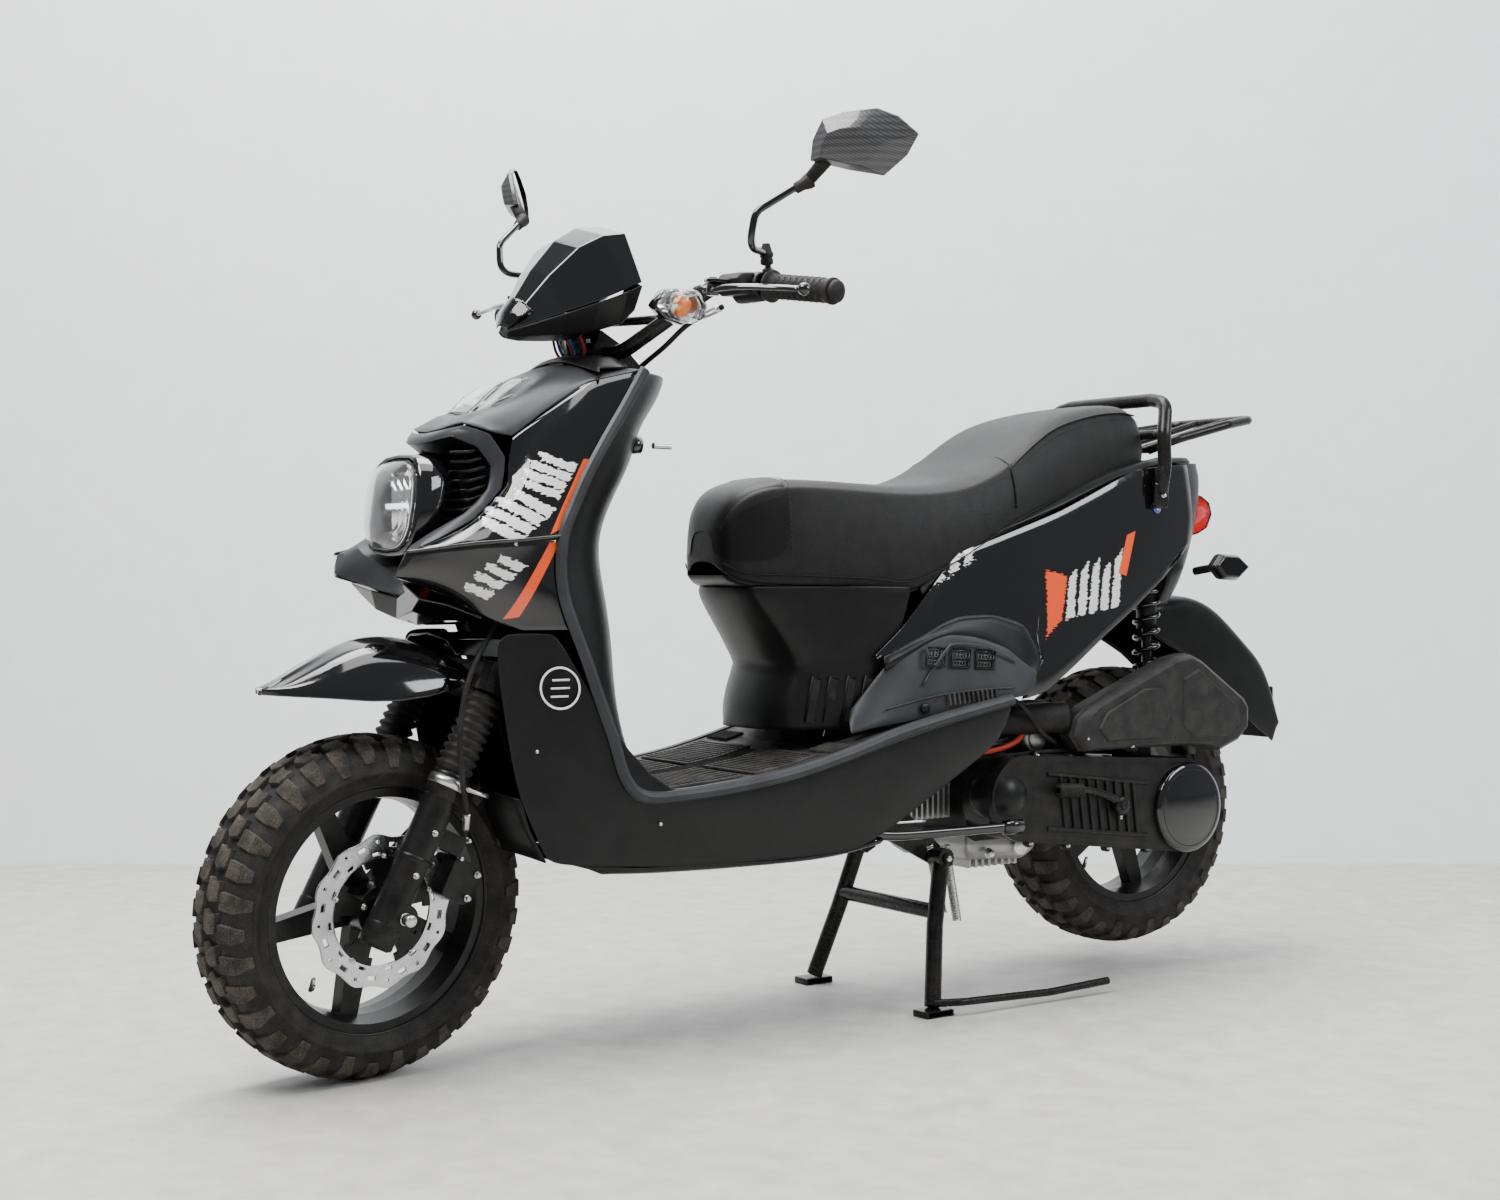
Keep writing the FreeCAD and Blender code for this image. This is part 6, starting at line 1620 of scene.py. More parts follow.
class SCOOTER_OT_dash(bpy.types.Operator):
    """Build the pointed instrument cowl, its visor, the dial and the wires below"""
    bl_idname = "scooter.dash"
    bl_label = "Instrument Cowl"

    def execute(self, context):
        upper = [[(10, 201, 1012), (5, 199, 1016), (0, 198, 1018)],
                 [(40, 224, 1024), (22, 216, 1044), (0, 212, 1050)],
                 [(66, 258, 1040), (38, 248, 1090), (0, 244, 1100)],
                 [(88, 300, 1058), (54, 286, 1132), (0, 282, 1144)],
                 [(101, 336, 1076), (64, 322, 1152), (0, 318, 1166)],
                 [(106, 360, 1088), (68, 356, 1158), (0, 358, 1173)]]
        hood = add_piece("dash_hood", "steering", FINISHES["gloss"], "gloss_black", *grid(mirrored_rows(upper)),
                         turned=True, instead_of=["dash_cowl"])
        self.facet(hood)
        lower = [[(10, 201, 1011), (5, 203, 1006), (0, 204, 1004)],
                 [(40, 224, 1023), (26, 226, 1008), (0, 226, 1002)],
                 [(66, 258, 1038), (46, 260, 1012), (0, 262, 1004)],
                 [(88, 300, 1056), (62, 304, 1018), (0, 306, 1008)],
                 [(101, 338, 1073), (76, 346, 1032), (0, 348, 1022)],
                 [(105, 360, 1084), (82, 364, 1052), (0, 366, 1044)]]
        chin = add_piece("dash_chin", "steering", FINISHES["satin"], "satin_black", *grid(mirrored_rows(lower)),
                         turned=True)
        self.facet(chin)
        bezel = [[(104, 358, 1088), (66, 354, 1155), (0, 356, 1169)], [(96, 352, 1090), (60, 348, 1148), (0, 350, 1160)],
                 [(90, 346, 1088), (56, 342, 1142), (0, 344, 1152)]]
        under = [[(104, 359, 1084), (80, 363, 1054), (0, 365, 1047)], [(96, 353, 1086), (74, 357, 1062), (0, 359, 1055)],
                 [(90, 347, 1088), (70, 350, 1068), (0, 352, 1061)]]
        ring = merge(grid(mirrored_rows(bezel)), grid(mirrored_rows(under)))
        rim = add_piece("dash_bezel", "steering", FINISHES["satin"], "satin_black", *ring, turned=True)
        modifier(rim, "SOLIDIFY", thickness=0.002)
        self.dial()
        self.visor()
        return {"FINISHED"}

    def facet(self, obj):
        modifier(obj, "SOLIDIFY", thickness=0.003, offset=-1, use_even_offset=True)
        round_edges(obj, 3.0, 3, 6)

    def dial(self):
        face = lathe([(0, 0.01), (0, 36), (4, 39), (7, 40), (7, 43), (2, 44), (-8, 44)],
                     at(0, 345, 1104), Vector((0, 0.94, 0.34)), 56)
        add_piece("dial_face", "steering", FINISHES["satin"], "dark_plastic", *face, turned=True,
                  instead_of=["speedometer"])
        marks, axis = [], Vector((0, 0.94, 0.34)).normalized()
        up = Vector((0, -axis.z, axis.y))
        for i in range(13):
            a = math.radians(-135 + i * 22.5)
            out = Vector((math.sin(a), 0, 0)) + up * math.cos(a)
            centre = at(0, 345, 1104) + axis * 0.0016
            marks.append(tube([centre + out * 0.029, centre + out * (0.034 if i % 2 else 0.0355)], 0.8, 6))
        a = math.radians(-118)
        out = Vector((math.sin(a), 0, 0)) + up * math.cos(a)
        marks.append(tube([at(0, 345, 1104) + axis * 0.003, at(0, 345, 1104) + axis * 0.003 + out * 0.026], 1.0, 6))
        add_piece("dial_marks", "steering", FINISHES["white"], "clear_lens", *merge(*marks), turned=True)
        cover = lathe([(9, 0.01), (8.6, 20), (7, 39.5)], at(0, 345, 1104), axis, 40)
        glass_piece = add_piece("dial_glass", "steering", FINISHES["clear"], "clear_lens", *cover, turned=True)
        modifier(glass_piece, "SOLIDIFY", thickness=0.0012)

    def visor(self):
        rows = [[(14, 198, 1014), (7, 195, 1017), (0, 194, 1018)], [(30, 208, 1030), (16, 203, 1040), (0, 201, 1044)],
                [(38, 224, 1040), (22, 217, 1054), (0, 214, 1060)]]
        lens = add_piece("dash_visor", "steering", FINISHES["smoke"], "clear_lens", *grid(mirrored_rows(rows)),
                         turned=True)
        panel_from(lens, 2, 1.5)
        wires = []
        chooser = random.Random(4)
        for i in range(7):
            x = (i - 3) * 9
            points = [at(x, 306 + chooser.uniform(-8, 8), 1016), at(x * 1.3 + chooser.uniform(-6, 6), 318, 992),
                      at(x * 0.9, 322 + chooser.uniform(-6, 6), 976), at(x * 0.4, 326, 962)]
            wires.append(tube(smooth_path(points, 5), 2.1, 8))
        for name, finish, part in (("dash_wires_red", "red_hose", wires[::3]), ("dash_wires_blue", "dot", wires[1::3]),
                                   ("dash_wires_dark", "rubber", wires[2::3])):
            add_piece(name, "steering", FINISHES[finish], "soft_rubber", *merge(*part), turned=True)


BAR_PATH = ((398, 462, 1068), (270, 447, 1081), (190, 424, 1084), (66, 358, 990))


class SCOOTER_OT_bars(bpy.types.Operator):
    """Build the handlebar, its brace, clamp, grips and bar ends"""
    bl_idname = "scooter.bars"
    bl_label = "Handlebar"

    def execute(self, context):
        half = [at(*p) for p in BAR_PATH]
        whole = half + [Vector((-p.x, p.y, p.z)) for p in reversed(half)]
        path = rounded_path(whole, 0.045, 8)
        brace = rounded_path([at(124, 393, 1038), at(-124, 393, 1038)], 0.01)
        knobs = [disc_bar(at(s * 124, 393, 1038), (s, 0, 0), 9, -6, 6) for s in (1, -1)]
        add_piece("bar_tube", "steering", FINISHES["tube"], "frame_paint",
                  *merge(tube(path, 11, 24), tube(brace, 6.5, 16), *knobs), turned=True, instead_of=["handlebar"])
        bolts = [hex_bolt(at(s * 24, 352 + k * 22, 1003), (0, -0.2, 1), 5, 6) for s in (1, -1) for k in (-1, 1)]
        add_piece("bar_clamp_bolts", "steering", FINISHES["zinc"], "bright_steel", *merge(*bolts), turned=True)
        for name, body, sign, node in (("grip_left", "steering", 1, "left_grip"),
                                       ("grip_right", "throttle", -1, "throttle_grip")):
            self.grip(name, body, sign, node)
        return {"FINISHED"}

    def grip(self, name, body, sign, node):
        inner, outer = at(sign * 280, 448.2, 1080), at(sign * 394, 461.5, 1068.4)
        axis = (outer - inner).normalized()
        profile = [(0, 12), (0, 22), (3.4, 22.6), (4.6, 21), (5.4, 17.4)]
        for i in range(9):
            low = 14 + i * 10.4
            profile += [(low, 16.8), (low + 1.2, 15.4), (low + 3.2, 15.4), (low + 4.4, 16.8)]
        profile += [(108, 16.8), (110, 18.2), (113.4, 18.4), (114.4, 17), (114.6, 12)]
        rubber = lathe(profile, inner, axis, 48)
        side = axis.orthogonal().normalized()
        other = axis.cross(side)
        chevrons = []
        for i in range(8):
            for k in range(6):
                for turn in (1, -1):
                    a = math.tau * (k + 0.1) / 6
                    b = a + turn * 0.42
                    start = inner + axis * (19.4 + i * 10.4) * MM + (side * math.cos(a) + other * math.sin(a)) * 0.0168
                    end = inner + axis * (24 + i * 10.4) * MM + (side * math.cos(b) + other * math.sin(b)) * 0.0168
                    chevrons.append(tube([start, end], 1.1, 6))
        add_piece(name, body, FINISHES["rubber"], "soft_rubber", *merge(rubber, *chevrons), turned=True,
                  instead_of=[node])
        cap = lathe([(-2, 14), (0, 15.5), (5, 15), (8, 11), (8.6, 4), (8, 0.01)], outer + axis * 0.0006, axis, 32)
        add_piece(name + "_end", body, FINISHES["rubber"], "soft_rubber", *cap, turned=True)


class SCOOTER_OT_controls(bpy.types.Operator):
    """Build the switch boxes, their buttons, the lever perches and the levers"""
    bl_idname = "scooter.controls"
    bl_label = "Controls"

    def execute(self, context):
        for sign, end in ((1, "left"), (-1, "right")):
            near, far = at(sign * 226, 433, 1077), at(sign * 268, 447, 1080.6)
            axis = (far - near).normalized()
            body = lathe([(0, 11.2), (0, 17), (2, 20.4), (16, 21.2), (20, 20.2), (24, 21.2), (41, 20.6), (43, 18),
                          (43, 11.2)], near, axis, 40)
            pod = []
            for share, grow in ((0.05, 0.86), (0.15, 1), (0.85, 1), (0.95, 0.86)):
                middle = near.lerp(far, share) + Vector((0, -0.026, 0.002))
                pod.append([middle + Vector((0, y * grow * MM, z * grow * MM)) for y, z in (
                    (14, -14), (-8, -15), (-17, -8), (-18, 6), (-10, 15), (12, 17))])
            box = add_piece(f"switch_{end}", "steering", FINISHES["satin"], "dark_plastic",
                            *merge(body, capped(pod)), turned=True,
                            instead_of=["switch_boxes"] if sign > 0 else ())
            round_edges(box, 1.6, 3)
            self.switches(end, sign, near, far)
            self.lever(end, sign)
        return {"FINISHED"}

    def switches(self, end, sign, near, far):
        back = Vector((0, 1, 0.1)).normalized()
        rocker = capped([[near.lerp(far, a) + Vector((0, 0.0185 + d * MM, z * MM)) for a, z in (
            (0.3, 7), (0.6, 7), (0.6, 13), (0.3, 13))] for d in (-3, 3)])
        rear = [rocker, disc_bar(near.lerp(far, 0.3) + back * 0.0195 + Vector((0, 0, -0.008)), back, 4.6, 0, 4)]
        add_piece(f"switch_keys_{end}", "steering", FINISHES["red_hose" if sign < 0 else "grey"], "dark_plastic",
                  *merge(*rear), turned=True)
        node = "horn_button" if sign > 0 else "starter_button"
        button = disc_bar(at(sign * 247, 458, 1079), (0, 1, 0), 5.8, 0, 12, 1.6)
        add_piece(node + "_cap", "horn" if sign > 0 else "starter", FINISHES["amber" if sign > 0 else "grey"],
                  "dark_plastic", *button, turned=True, instead_of=[node])
        perch = capped([[at(sign * (238 + x), y, z) for x, y in (
            (-13, 400), (-10, 372), (4, 366), (14, 374), (16, 392), (10, 424), (-12, 424))] for z in (1081.2, 1086)])
        perch = merge(perch, disc_bar(at(sign * 238, 380, 1080), (0, 0, 1), 6, 0, 9),
                      tube(smooth_path([at(sign * 224, 392, 1074), at(sign * 208, 386, 1074), at(sign * 194, 384, 1070)],
                                       4), 5, 12))
        mount = add_piece(f"lever_perch_{end}", "steering", FINISHES["gloss"], "gloss_black", *perch, turned=True)
        round_edges(mount, 1.0)
        boot = lathe([(0, 5), (1, 7), (8, 7.6), (16, 6), (24, 4), (25, 2)], at(sign * 206, 386, 1074),
                     Vector((-sign * 0.9, -0.1, -0.25)), 20)
        add_piece(f"cable_boot_{end}", "steering", FINISHES["rubber"], "soft_rubber", *boot, turned=True)

    def lever(self, end, sign):
        path = smooth_path([at(sign * x, y, z) for x, y, z in (
            (236, 380, 1072), (256, 374, 1072), (292, 380, 1073), (340, 396, 1071), (386, 406, 1067.6))], 6)
        blade = tube(path, 6.2, 16, flat=0.62, end_scale=0.8)
        ball = lathe([(8.6 * -math.cos(a), 8.6 * math.sin(a) + 0.01) for a in [math.pi * i / 12 for i in range(13)]],
                     at(sign * 393, 408, 1067), (1, 0, 0), 24)
        eye = disc_bar(at(sign * 238, 380, 1063.6), (0, 0, 1), 9, 0, 16.4, 1.2)
        add_piece(f"lever_{end}", f"lever_{end}", FINISHES["gloss"], "gloss_black", *merge(blade, ball, eye),
                  turned=True, instead_of=[f"brake_lever_{end}"])


class SCOOTER_OT_mirrors(bpy.types.Operator):
    """Build the carbon-look mirror heads, their glass, the arms and the rubber boots"""
    bl_idname = "scooter.mirrors"
    bl_label = "Mirrors"

    OUTLINE = ((348, 452, 1244), (384, 492, 1233), (418, 522, 1226), (452, 530, 1250), (470, 532, 1276),
               (448, 516, 1300), (424, 498, 1312), (386, 474, 1308), (360, 462, 1300), (350, 454, 1272))

    def execute(self, context):
        arms, boots, posts = [], [], []
        bends = {"left": [(300, 390, 1126), (308, 392, 1172), (334, 446, 1212), (342, 462, 1220)],
                 "right": [(300, 390, 1126), (308, 392, 1172), (334, 446, 1212), (342, 462, 1220)]}
        for sign, end in ((1, "left"), (-1, "right")):
            arm = rounded_path([at(sign * x, y, z) for x, y, z in [(274, 444, 1112), (273, 443, 1124)] + bends[end]],
                               0.024, 8)
            arms.append(tube(arm, 5.2, 16))
            posts.append(disc_bar(at(sign * 275, 447, 1092), (0, -0.1, 1), 8.5, 0, 12))
            posts.append(hex_bolt(at(sign * 275, 446, 1104), (0, -0.1, 1), 8, 9))
            boots.append(lathe([(-6, 5), (-4, 8.6), (2, 9), (4, 7.6), (6, 9.4), (10, 9.6), (13, 8), (20, 6.2), (24, 5)],
                               at(sign * 274, 444, 1114), (0, -0.1, 1), 24))
            elbow = at(sign * bends[end][2][0] - sign * 3, bends[end][2][1] - 6, 1206)
            boots.append(lathe([(0, 5.4), (2, 7.6), (12, 8), (20, 10.5), (26, 11)], elbow,
                               Vector((sign * 0.45, 0.72, 0.52)), 24))
            self.head(sign, end)
        add_piece("mirror_stalks", "steering", FINISHES["gloss"], "gloss_black", *merge(*arms), turned=True,
                  instead_of=["mirror_arms"])
        add_piece("mirror_posts", "steering", FINISHES["gloss"], "gloss_black", *merge(*posts), turned=True)
        add_piece("mirror_boots", "steering", FINISHES["rubber"], "soft_rubber", *merge(*boots), turned=True)
        return {"FINISHED"}

    def head(self, sign, end):
        inward, rearward = (0, 0)
        outline = [at(sign * (x - inward), y + rearward, z) for x, y, z in self.OUTLINE]
        normal = (outline[2] - outline[0]).cross(outline[6] - outline[0]).normalized()
        if normal.y < 0:
            normal.negate()
        flat = [p - normal * (p - outline[0]).dot(normal) for p in outline]
        middle = sum(flat, Vector()) / len(flat)
        tip = middle.lerp(flat[0], 0.2) - normal * 0.027
        loops = [[middle + (p - middle) * 0.93 + normal * 0.0005 for p in flat], flat,
                 [middle + (p - middle) * 1.0 - normal * 0.007 for p in flat],
                 [tip + (p - middle) * 0.58 + normal * 0.003 for p in flat],
                 [tip + (p - middle) * 0.3 for p in flat]]
        verts, faces = grid(loops, closed=True)
        faces.append(tuple(range(4 * len(flat), 5 * len(flat))))
        shell = add_piece(f"mirror_shell_{end}", f"mirror_{end}", FINISHES["carbon"], "gloss_black", verts, faces,
                          turned=True, instead_of=[f"mirror_head_{end}"])
        round_edges(shell, 1.5, 3, 20)
        glass_loop = [middle + (p - middle) * 0.93 - normal * 0.001 for p in flat]
        pane = capped([[p - normal * 0.001 for p in glass_loop], glass_loop])
        add_piece(f"mirror_glass_{end}", f"mirror_{end}", FINISHES["mirror"], "chrome", *pane, turned=True)
        knuckle = tube([at(sign * (340 - inward), 456 + rearward, 1218), middle.lerp(flat[0], 0.55) - normal * 0.01], 8.5, 20, end_scale=1.25)
        add_piece(f"mirror_knuckle_{end}", f"mirror_{end}", FINISHES["rubber"], "soft_rubber", *knuckle, turned=True)


class SCOOTER_OT_front_indicators(bpy.types.Operator):
    """Build the front indicators: stalk, body, bulb, reflector and faceted lens"""
    bl_idname = "scooter.front_indicators"
    bl_label = "Front Indicators"

    def execute(self, context):
        shells, lenses, bulbs, cups, stalks = [], [], [], [], []
        outline = ((0, -2), (30, -8), (46, 16), (26, 40), (-4, 38), (-20, 16))
        for s in (1, -1):
            def ring(x, y, grow):
                return [at(s * x, y + 13 + (a - 13) * grow, 1034 + 16 + (b - 16) * grow) for a, b in outline]
            shells.append(capped([ring(152, 350, 0.55), ring(160, 348, 0.95), ring(176, 346, 1.02), ring(182, 345, 1.0)]))
            lenses.append(capped([ring(182.4, 345, 0.97), ring(206, 344, 1.0), ring(222, 346, 0.82), ring(227, 348, 0.5)]))
            cups.append(lathe([(0, 4), (3, 12), (14, 17)], at(s * 184, 360, 1051), (s, 0, 0), 24))
            bulbs.append(lathe([(7 * -math.cos(a) + 12, 7 * math.sin(a) + 0.01) for a in
                                [math.pi * i / 8 for i in range(9)]], at(s * 186, 360, 1051), (s, 0, 0), 20))
            stalks.append(tube(smooth_path([at(s * 164, 364, 1050), at(s * 150, 376, 1046), at(s * 138, 396, 1046)], 5),
                               6.5, 14))
        for name, finish, parts, slot in (("front_turn_bodies", "gloss", shells, "gloss_black"),
                                          ("front_turn_stalks", "rubber", stalks, "soft_rubber"),
                                          ("front_turn_bulbs", "amber", bulbs, "clear_lens"),
                                          ("front_turn_reflectors", "chrome", cups, "chrome")):
            add_piece(name, "steering", FINISHES[finish], slot, *merge(*parts), turned=True)
        cover = add_piece("front_turn_lenses", "steering", FINISHES["ribbed"], "clear_lens", *merge(*lenses),
                          turned=True, instead_of=["front_indicators"])
        round_edges(cover, 2.5, 3)
        return {"FINISHED"}


# ---------------------------------------------------------------- engine

class SCOOTER_OT_engine(bpy.types.Operator):
    """Build the belt case with its ribs, round cap and snorkel, and the crankcase details"""
    bl_idname = "scooter.engine"
    bl_label = "Engine"

    BOSSES = ((1014, 352), (1088, 384), (1164, 376), (1244, 370), (1334, 362), (1004, 280), (1074, 246),
              (1154, 236), (1244, 226), (1334, 218))

    @staticmethod
    def band(front_radius, back_radius, x, steps=14):
        """The outline of the belt case at one x: two arcs joined by straight runs."""
        fy, fz, by, bz = 1058, 318, 1417, 285
        loop = []
        for cy, cz, r, start in ((fy, fz, front_radius, math.pi / 2), (by, bz, back_radius, -math.pi / 2)):
            for i in range(steps + 1):
                a = start + math.pi * i / steps - 0.09
                loop.append(at(x, cy + r * math.cos(a), cz + r * math.sin(a)))
        return loop

    def execute(self, context):
        case = [self.band(66, 76, 78), self.band(68, 78, 84), self.band(68, 78, 126), self.band(66, 76, 132)]
        cover = [self.band(69, 79, 132.5), self.band(69, 79, 138), self.band(64, 74, 148), self.band(56, 68, 151)]
        body = add_piece("belt_case", "engine", FINISHES["case"], "case_black", *merge(capped(case), capped(cover)))
        round_edges(body, 1.4, 3)
        self.cover_details()
        self.bottom_end()
        return {"FINISHED"}

    def cover_details(self):
        ribs = []
        for i in range(9):
            y = 1128 + i * 20
            ribs.append(capped([[at(x, y + dy, z) for dy, z in ((0, 352 - i * 2.2), (5, 352 - i * 2.2),
                                                               (17, 262 - i * 2.4), (12, 262 - i * 2.4))]
                                for x in (150, 155)]))
        for z in (268, 354):
            ribs.append(tube([at(151, 1104, z), at(151, 1326, z - 26)], 4, 10))
        webs = add_piece("belt_case_ribs", "engine", FINISHES["case"], "case_black", *merge(*ribs))
        round_edges(webs, 0.9)
        cap = lathe([(148, 75), (158, 75), (162, 72.5), (163.6, 66), (163.2, 60), (164.4, 56), (164.8, 0.01)],
                    at(0, 1417, 282), (1, 0, 0), 72)
        add_piece("round_case_cap", "engine", FINISHES["gloss"], "gloss_black", *cap)
        ring = lathe([(163.2 + 0.7 * math.cos(a), 64 + 0.9 * math.sin(a)) for a in [math.tau * i / 8 for i in range(8)]],
                     at(0, 1417, 282), (1, 0, 0), 72, closed=True)
        add_piece("round_cap_ring", "engine", FINISHES["satin"], "satin_black", *ring)
        snorkel = lathe([(-14, 8), (-12, 40), (-6, 45), (16, 46), (34, 42), (52, 30), (58, 14), (59, 0.01)],
                        at(112, 1040, 322), Vector((0.5, -0.86, 0.05)), 40)
        add_piece("case_snorkel", "engine", FINISHES["satin"], "dark_plastic", *snorkel)
        slots = [tube([at(142 + i * 0.4, 1004 + i * 9, 300), at(142 + i * 0.4, 1004 + i * 9, 346)], 2.6, 8)
                 for i in range(4)]
        add_piece("snorkel_slots", "engine", FINISHES["rubber"], "soft_rubber", *merge(*slots))
        bolts = [disc_bar(at(133, y, z), (1, 0, 0), 7, 0, 12, 0.8, 20) for y, z in self.BOSSES]
        add_piece("case_bosses", "engine", FINISHES["case"], "case_black", *merge(*bolts))
        heads = [hex_bolt(at(144.6, y, z), (1, 0, 0), 4.6, 5) for y, z in self.BOSSES]
        add_piece("case_bolts", "engine", FINISHES["zinc"], "bright_steel", *merge(*heads))

    def bottom_end(self):
        """The bare alloy crankcase below the belt case, the starter, the inlet and its hoses."""
        sump = [[at(x, y, z) for x, y, z in row] for row in (
            [(-70, 1004, 260), (-70, 1146, 250), (74, 1146, 250), (74, 1004, 260)],
            [(-64, 1000, 234), (-64, 1150, 226), (78, 1150, 226), (78, 1000, 234)],
            [(-50, 1012, 214), (-50, 1130, 208), (66, 1130, 208), (66, 1012, 214)])]
        pan = add_piece("crankcase_sump", "engine", FINISHES["alloy"], "cast_alloy", *capped(sump))
        round_edges(pan, 8, 4)
        fins = [block(at(-40, 1020 + i * 14, 200), at(58, 1026 + i * 14, 214)) for i in range(8)]
        ribs = add_piece("sump_fins", "engine", FINISHES["alloy"], "cast_alloy", *merge(*fins))
        round_edges(ribs, 1.2)
        plug = merge(hex_bolt(at(84, 1040, 226), (1, 0, 0), 12, 9), disc_bar(at(70, 1110, 232), (1, 0, 0), 15, 0, 14))
        add_piece("drain_plug", "engine", FINISHES["zinc"], "bright_steel", *plug)
        motor = merge(disc_bar(at(30, 1120, 408), (1, 0, 0), 24, 0, 78, 3), disc_bar(at(96, 1120, 408), (1, 0, 0), 17, 0, 16))
        add_piece("starter_motor", "engine", FINISHES["alloy"], "cast_alloy", *motor)
        carb = merge(disc_bar(at(40, 932, 424), (0, 1, 0), 26, -2, 52, 3), disc_bar(at(52, 958, 384), (0, 0, 1), 19, 0, 64, 3),
                     disc_bar(at(50, 958, 446), (0, 0, 1), 23, 0, 12, 3))
        add_piece("carburettor", "engine", FINISHES["zinc"], "bright_steel", *carb)
        inlet = tube(smooth_path([at(52, 984, 424), at(80, 1040, 430), at(112, 1110, 440), at(132, 1160, 442)], 6), 25, 24)
        add_piece("inlet_duct", "engine", FINISHES["rubber"], "soft_rubber", *inlet)
        clamp = lathe([(0, 26), (0, 27.4), (9, 27.4), (9, 26)], at(56, 990, 424), (0.4, 0.9, 0.08), 32, closed=True)
        add_piece("inlet_clamp", "engine", FINISHES["steel"], "bright_steel", *clamp)
        red = [tube(smooth_path([at(*p) for p in run], 8), 4.4, 12) for run in (
            ((70, 950, 400), (104, 970, 392), (124, 1010, 394), (122, 1060, 404), (104, 1100, 420)),
            ((64, 944, 410), (92, 954, 420), (100, 990, 418)))]
        add_piece("red_hoses", "engine", FINISHES["red_hose"], "soft_rubber", *merge(*red))
        black = [tube(smooth_path([at(*p) for p in run], 8), r, 12) for r, run in (
            (5, ((60, 1000, 460), (96, 1040, 470), (110, 1090, 462), (96, 1130, 440))),
            (4, ((72, 960, 470), (100, 1010, 486), (128, 1060, 470), (130, 1110, 420), (120, 1150, 400))),
            (3.4, ((80, 990, 380), (118, 1040, 384), (132, 1110, 388), (120, 1190, 384))),
            (6, ((40, 1080, 430), (60, 1130, 460), (84, 1180, 452), (90, 1240, 420))))]
        add_piece("black_hoses", "engine", FINISHES["rubber"], "soft_rubber", *merge(*black))


class SCOOTER_OT_air_box(bpy.types.Operator):
    """Build the air filter box with its raised panel, bead and screws"""
    bl_idname = "scooter.air_box"
    bl_label = "Air Filter Box"

    OUTLINE = ((1150, 412), (1160, 440), (1182, 458), (1290, 500), (1380, 534), (1418, 540), (1444, 530),
               (1552, 460), (1563, 444), (1562, 410), (1536, 388), (1490, 372), (1462, 384), (1300, 386), (1172, 386))

    def execute(self, context):
        middle = (1360, 448)

        def ring(x, grow):
            return [at(x, middle[0] + (y - middle[0]) * grow, middle[1] + (z - middle[1]) * grow)
                    for y, z in self.OUTLINE]
        box = add_piece("air_box_body", "engine", FINISHES["box"], "dark_plastic",
                        *capped([ring(122, 0.95), ring(126, 0.985), ring(150, 0.99), ring(154, 0.965), ring(155, 0.965),
                                 ring(158, 0.98), ring(166, 0.95), ring(171, 0.9)]), instead_of=["air_filter_box"])
        round_edges(box, 2, 3)
        inner = ((1196, 422), (1212, 448), (1300, 486), (1340, 486), (1360, 440), (1340, 402), (1216, 402))
        mid = (1276, 444)
        raised = [[at(x, mid[0] + (y - mid[0]) * g, mid[1] + (z - mid[1]) * g) for y, z in inner]
                  for x, g in ((169, 1.0), (174, 0.96), (175, 0.9))]
        panel = add_piece("air_box_panel", "engine", FINISHES["box"], "dark_plastic", *capped(raised))
        round_edges(panel, 1.6, 3)
        rear = ((1386, 420), (1388, 500), (1424, 516), (1520, 452), (1530, 420), (1500, 398), (1420, 396))
        mid = (1452, 450)
        raised = [[at(x, mid[0] + (y - mid[0]) * g, mid[1] + (z - mid[1]) * g) for y, z in rear]
                  for x, g in ((168, 1.0), (173, 0.95), (174, 0.88))]
        second = add_piece("air_box_rear_panel", "engine", FINISHES["box"], "dark_plastic", *capped(raised))
        round_edges(second, 1.6, 3)
        screws = [hex_bolt(at(167, y, z), (1, 0, 0), 4.4, 4) for y, z in (
            (1176, 408), (1190, 446), (1374, 520), (1538, 438), (1372, 402), (1276, 392))]
        add_piece("air_box_screws", "engine", FINISHES["zinc"], "bright_steel", *merge(*screws))
        foot = merge(block(at(96, 1300, 366), at(124, 1330, 398)), block(at(96, 1440, 366), at(124, 1470, 398)))
        add_piece("air_box_feet", "engine", FINISHES["case"], "case_black", *foot)
        return {"FINISHED"}


class SCOOTER_OT_kick_lever(bpy.types.Operator):
    """Build the kick lever with its clamp, bent arm and serrated rubber"""
    bl_idname = "scooter.kick_lever"
    bl_label = "Kick Lever"

    def execute(self, context):
        hub = disc_bar(at(154, 1256, 296), (1, 0, 0), 15, 0, 15, 2)
        arm = tube(smooth_path([at(162, 1254, 300), at(164, 1222, 314), at(164, 1186, 324), at(166, 1150, 328)], 6),
                   8, 16, flat=0.7, end_scale=0.85)
        add_piece("kick_arm", "kick_lever", FINISHES["tube"], "frame_paint", *merge(hub, arm), instead_of=["kick_lever"])
        profile = [(0, 5)]
        for i in range(9):
            profile += [(1 + i * 5.2, 11.5), (3.6 + i * 5.2, 11.5), (4.4 + i * 5.2, 9.6), (5.6 + i * 5.2, 9.6)]
        profile += [(49, 10.5), (50, 5)]
        rubber = lathe(profile, at(166, 1164, 326), Vector((0, -1, 0.06)), 28)
        add_piece("kick_rubber", "kick_lever", FINISHES["rubber"], "soft_rubber", *rubber)
        bolt = hex_bolt(at(161, 1256, 280), (0, 0.2, -1), 5, 7)
        add_piece("kick_bolt", "kick_lever", FINISHES["zinc"], "bright_steel", *bolt)
        return {"FINISHED"}


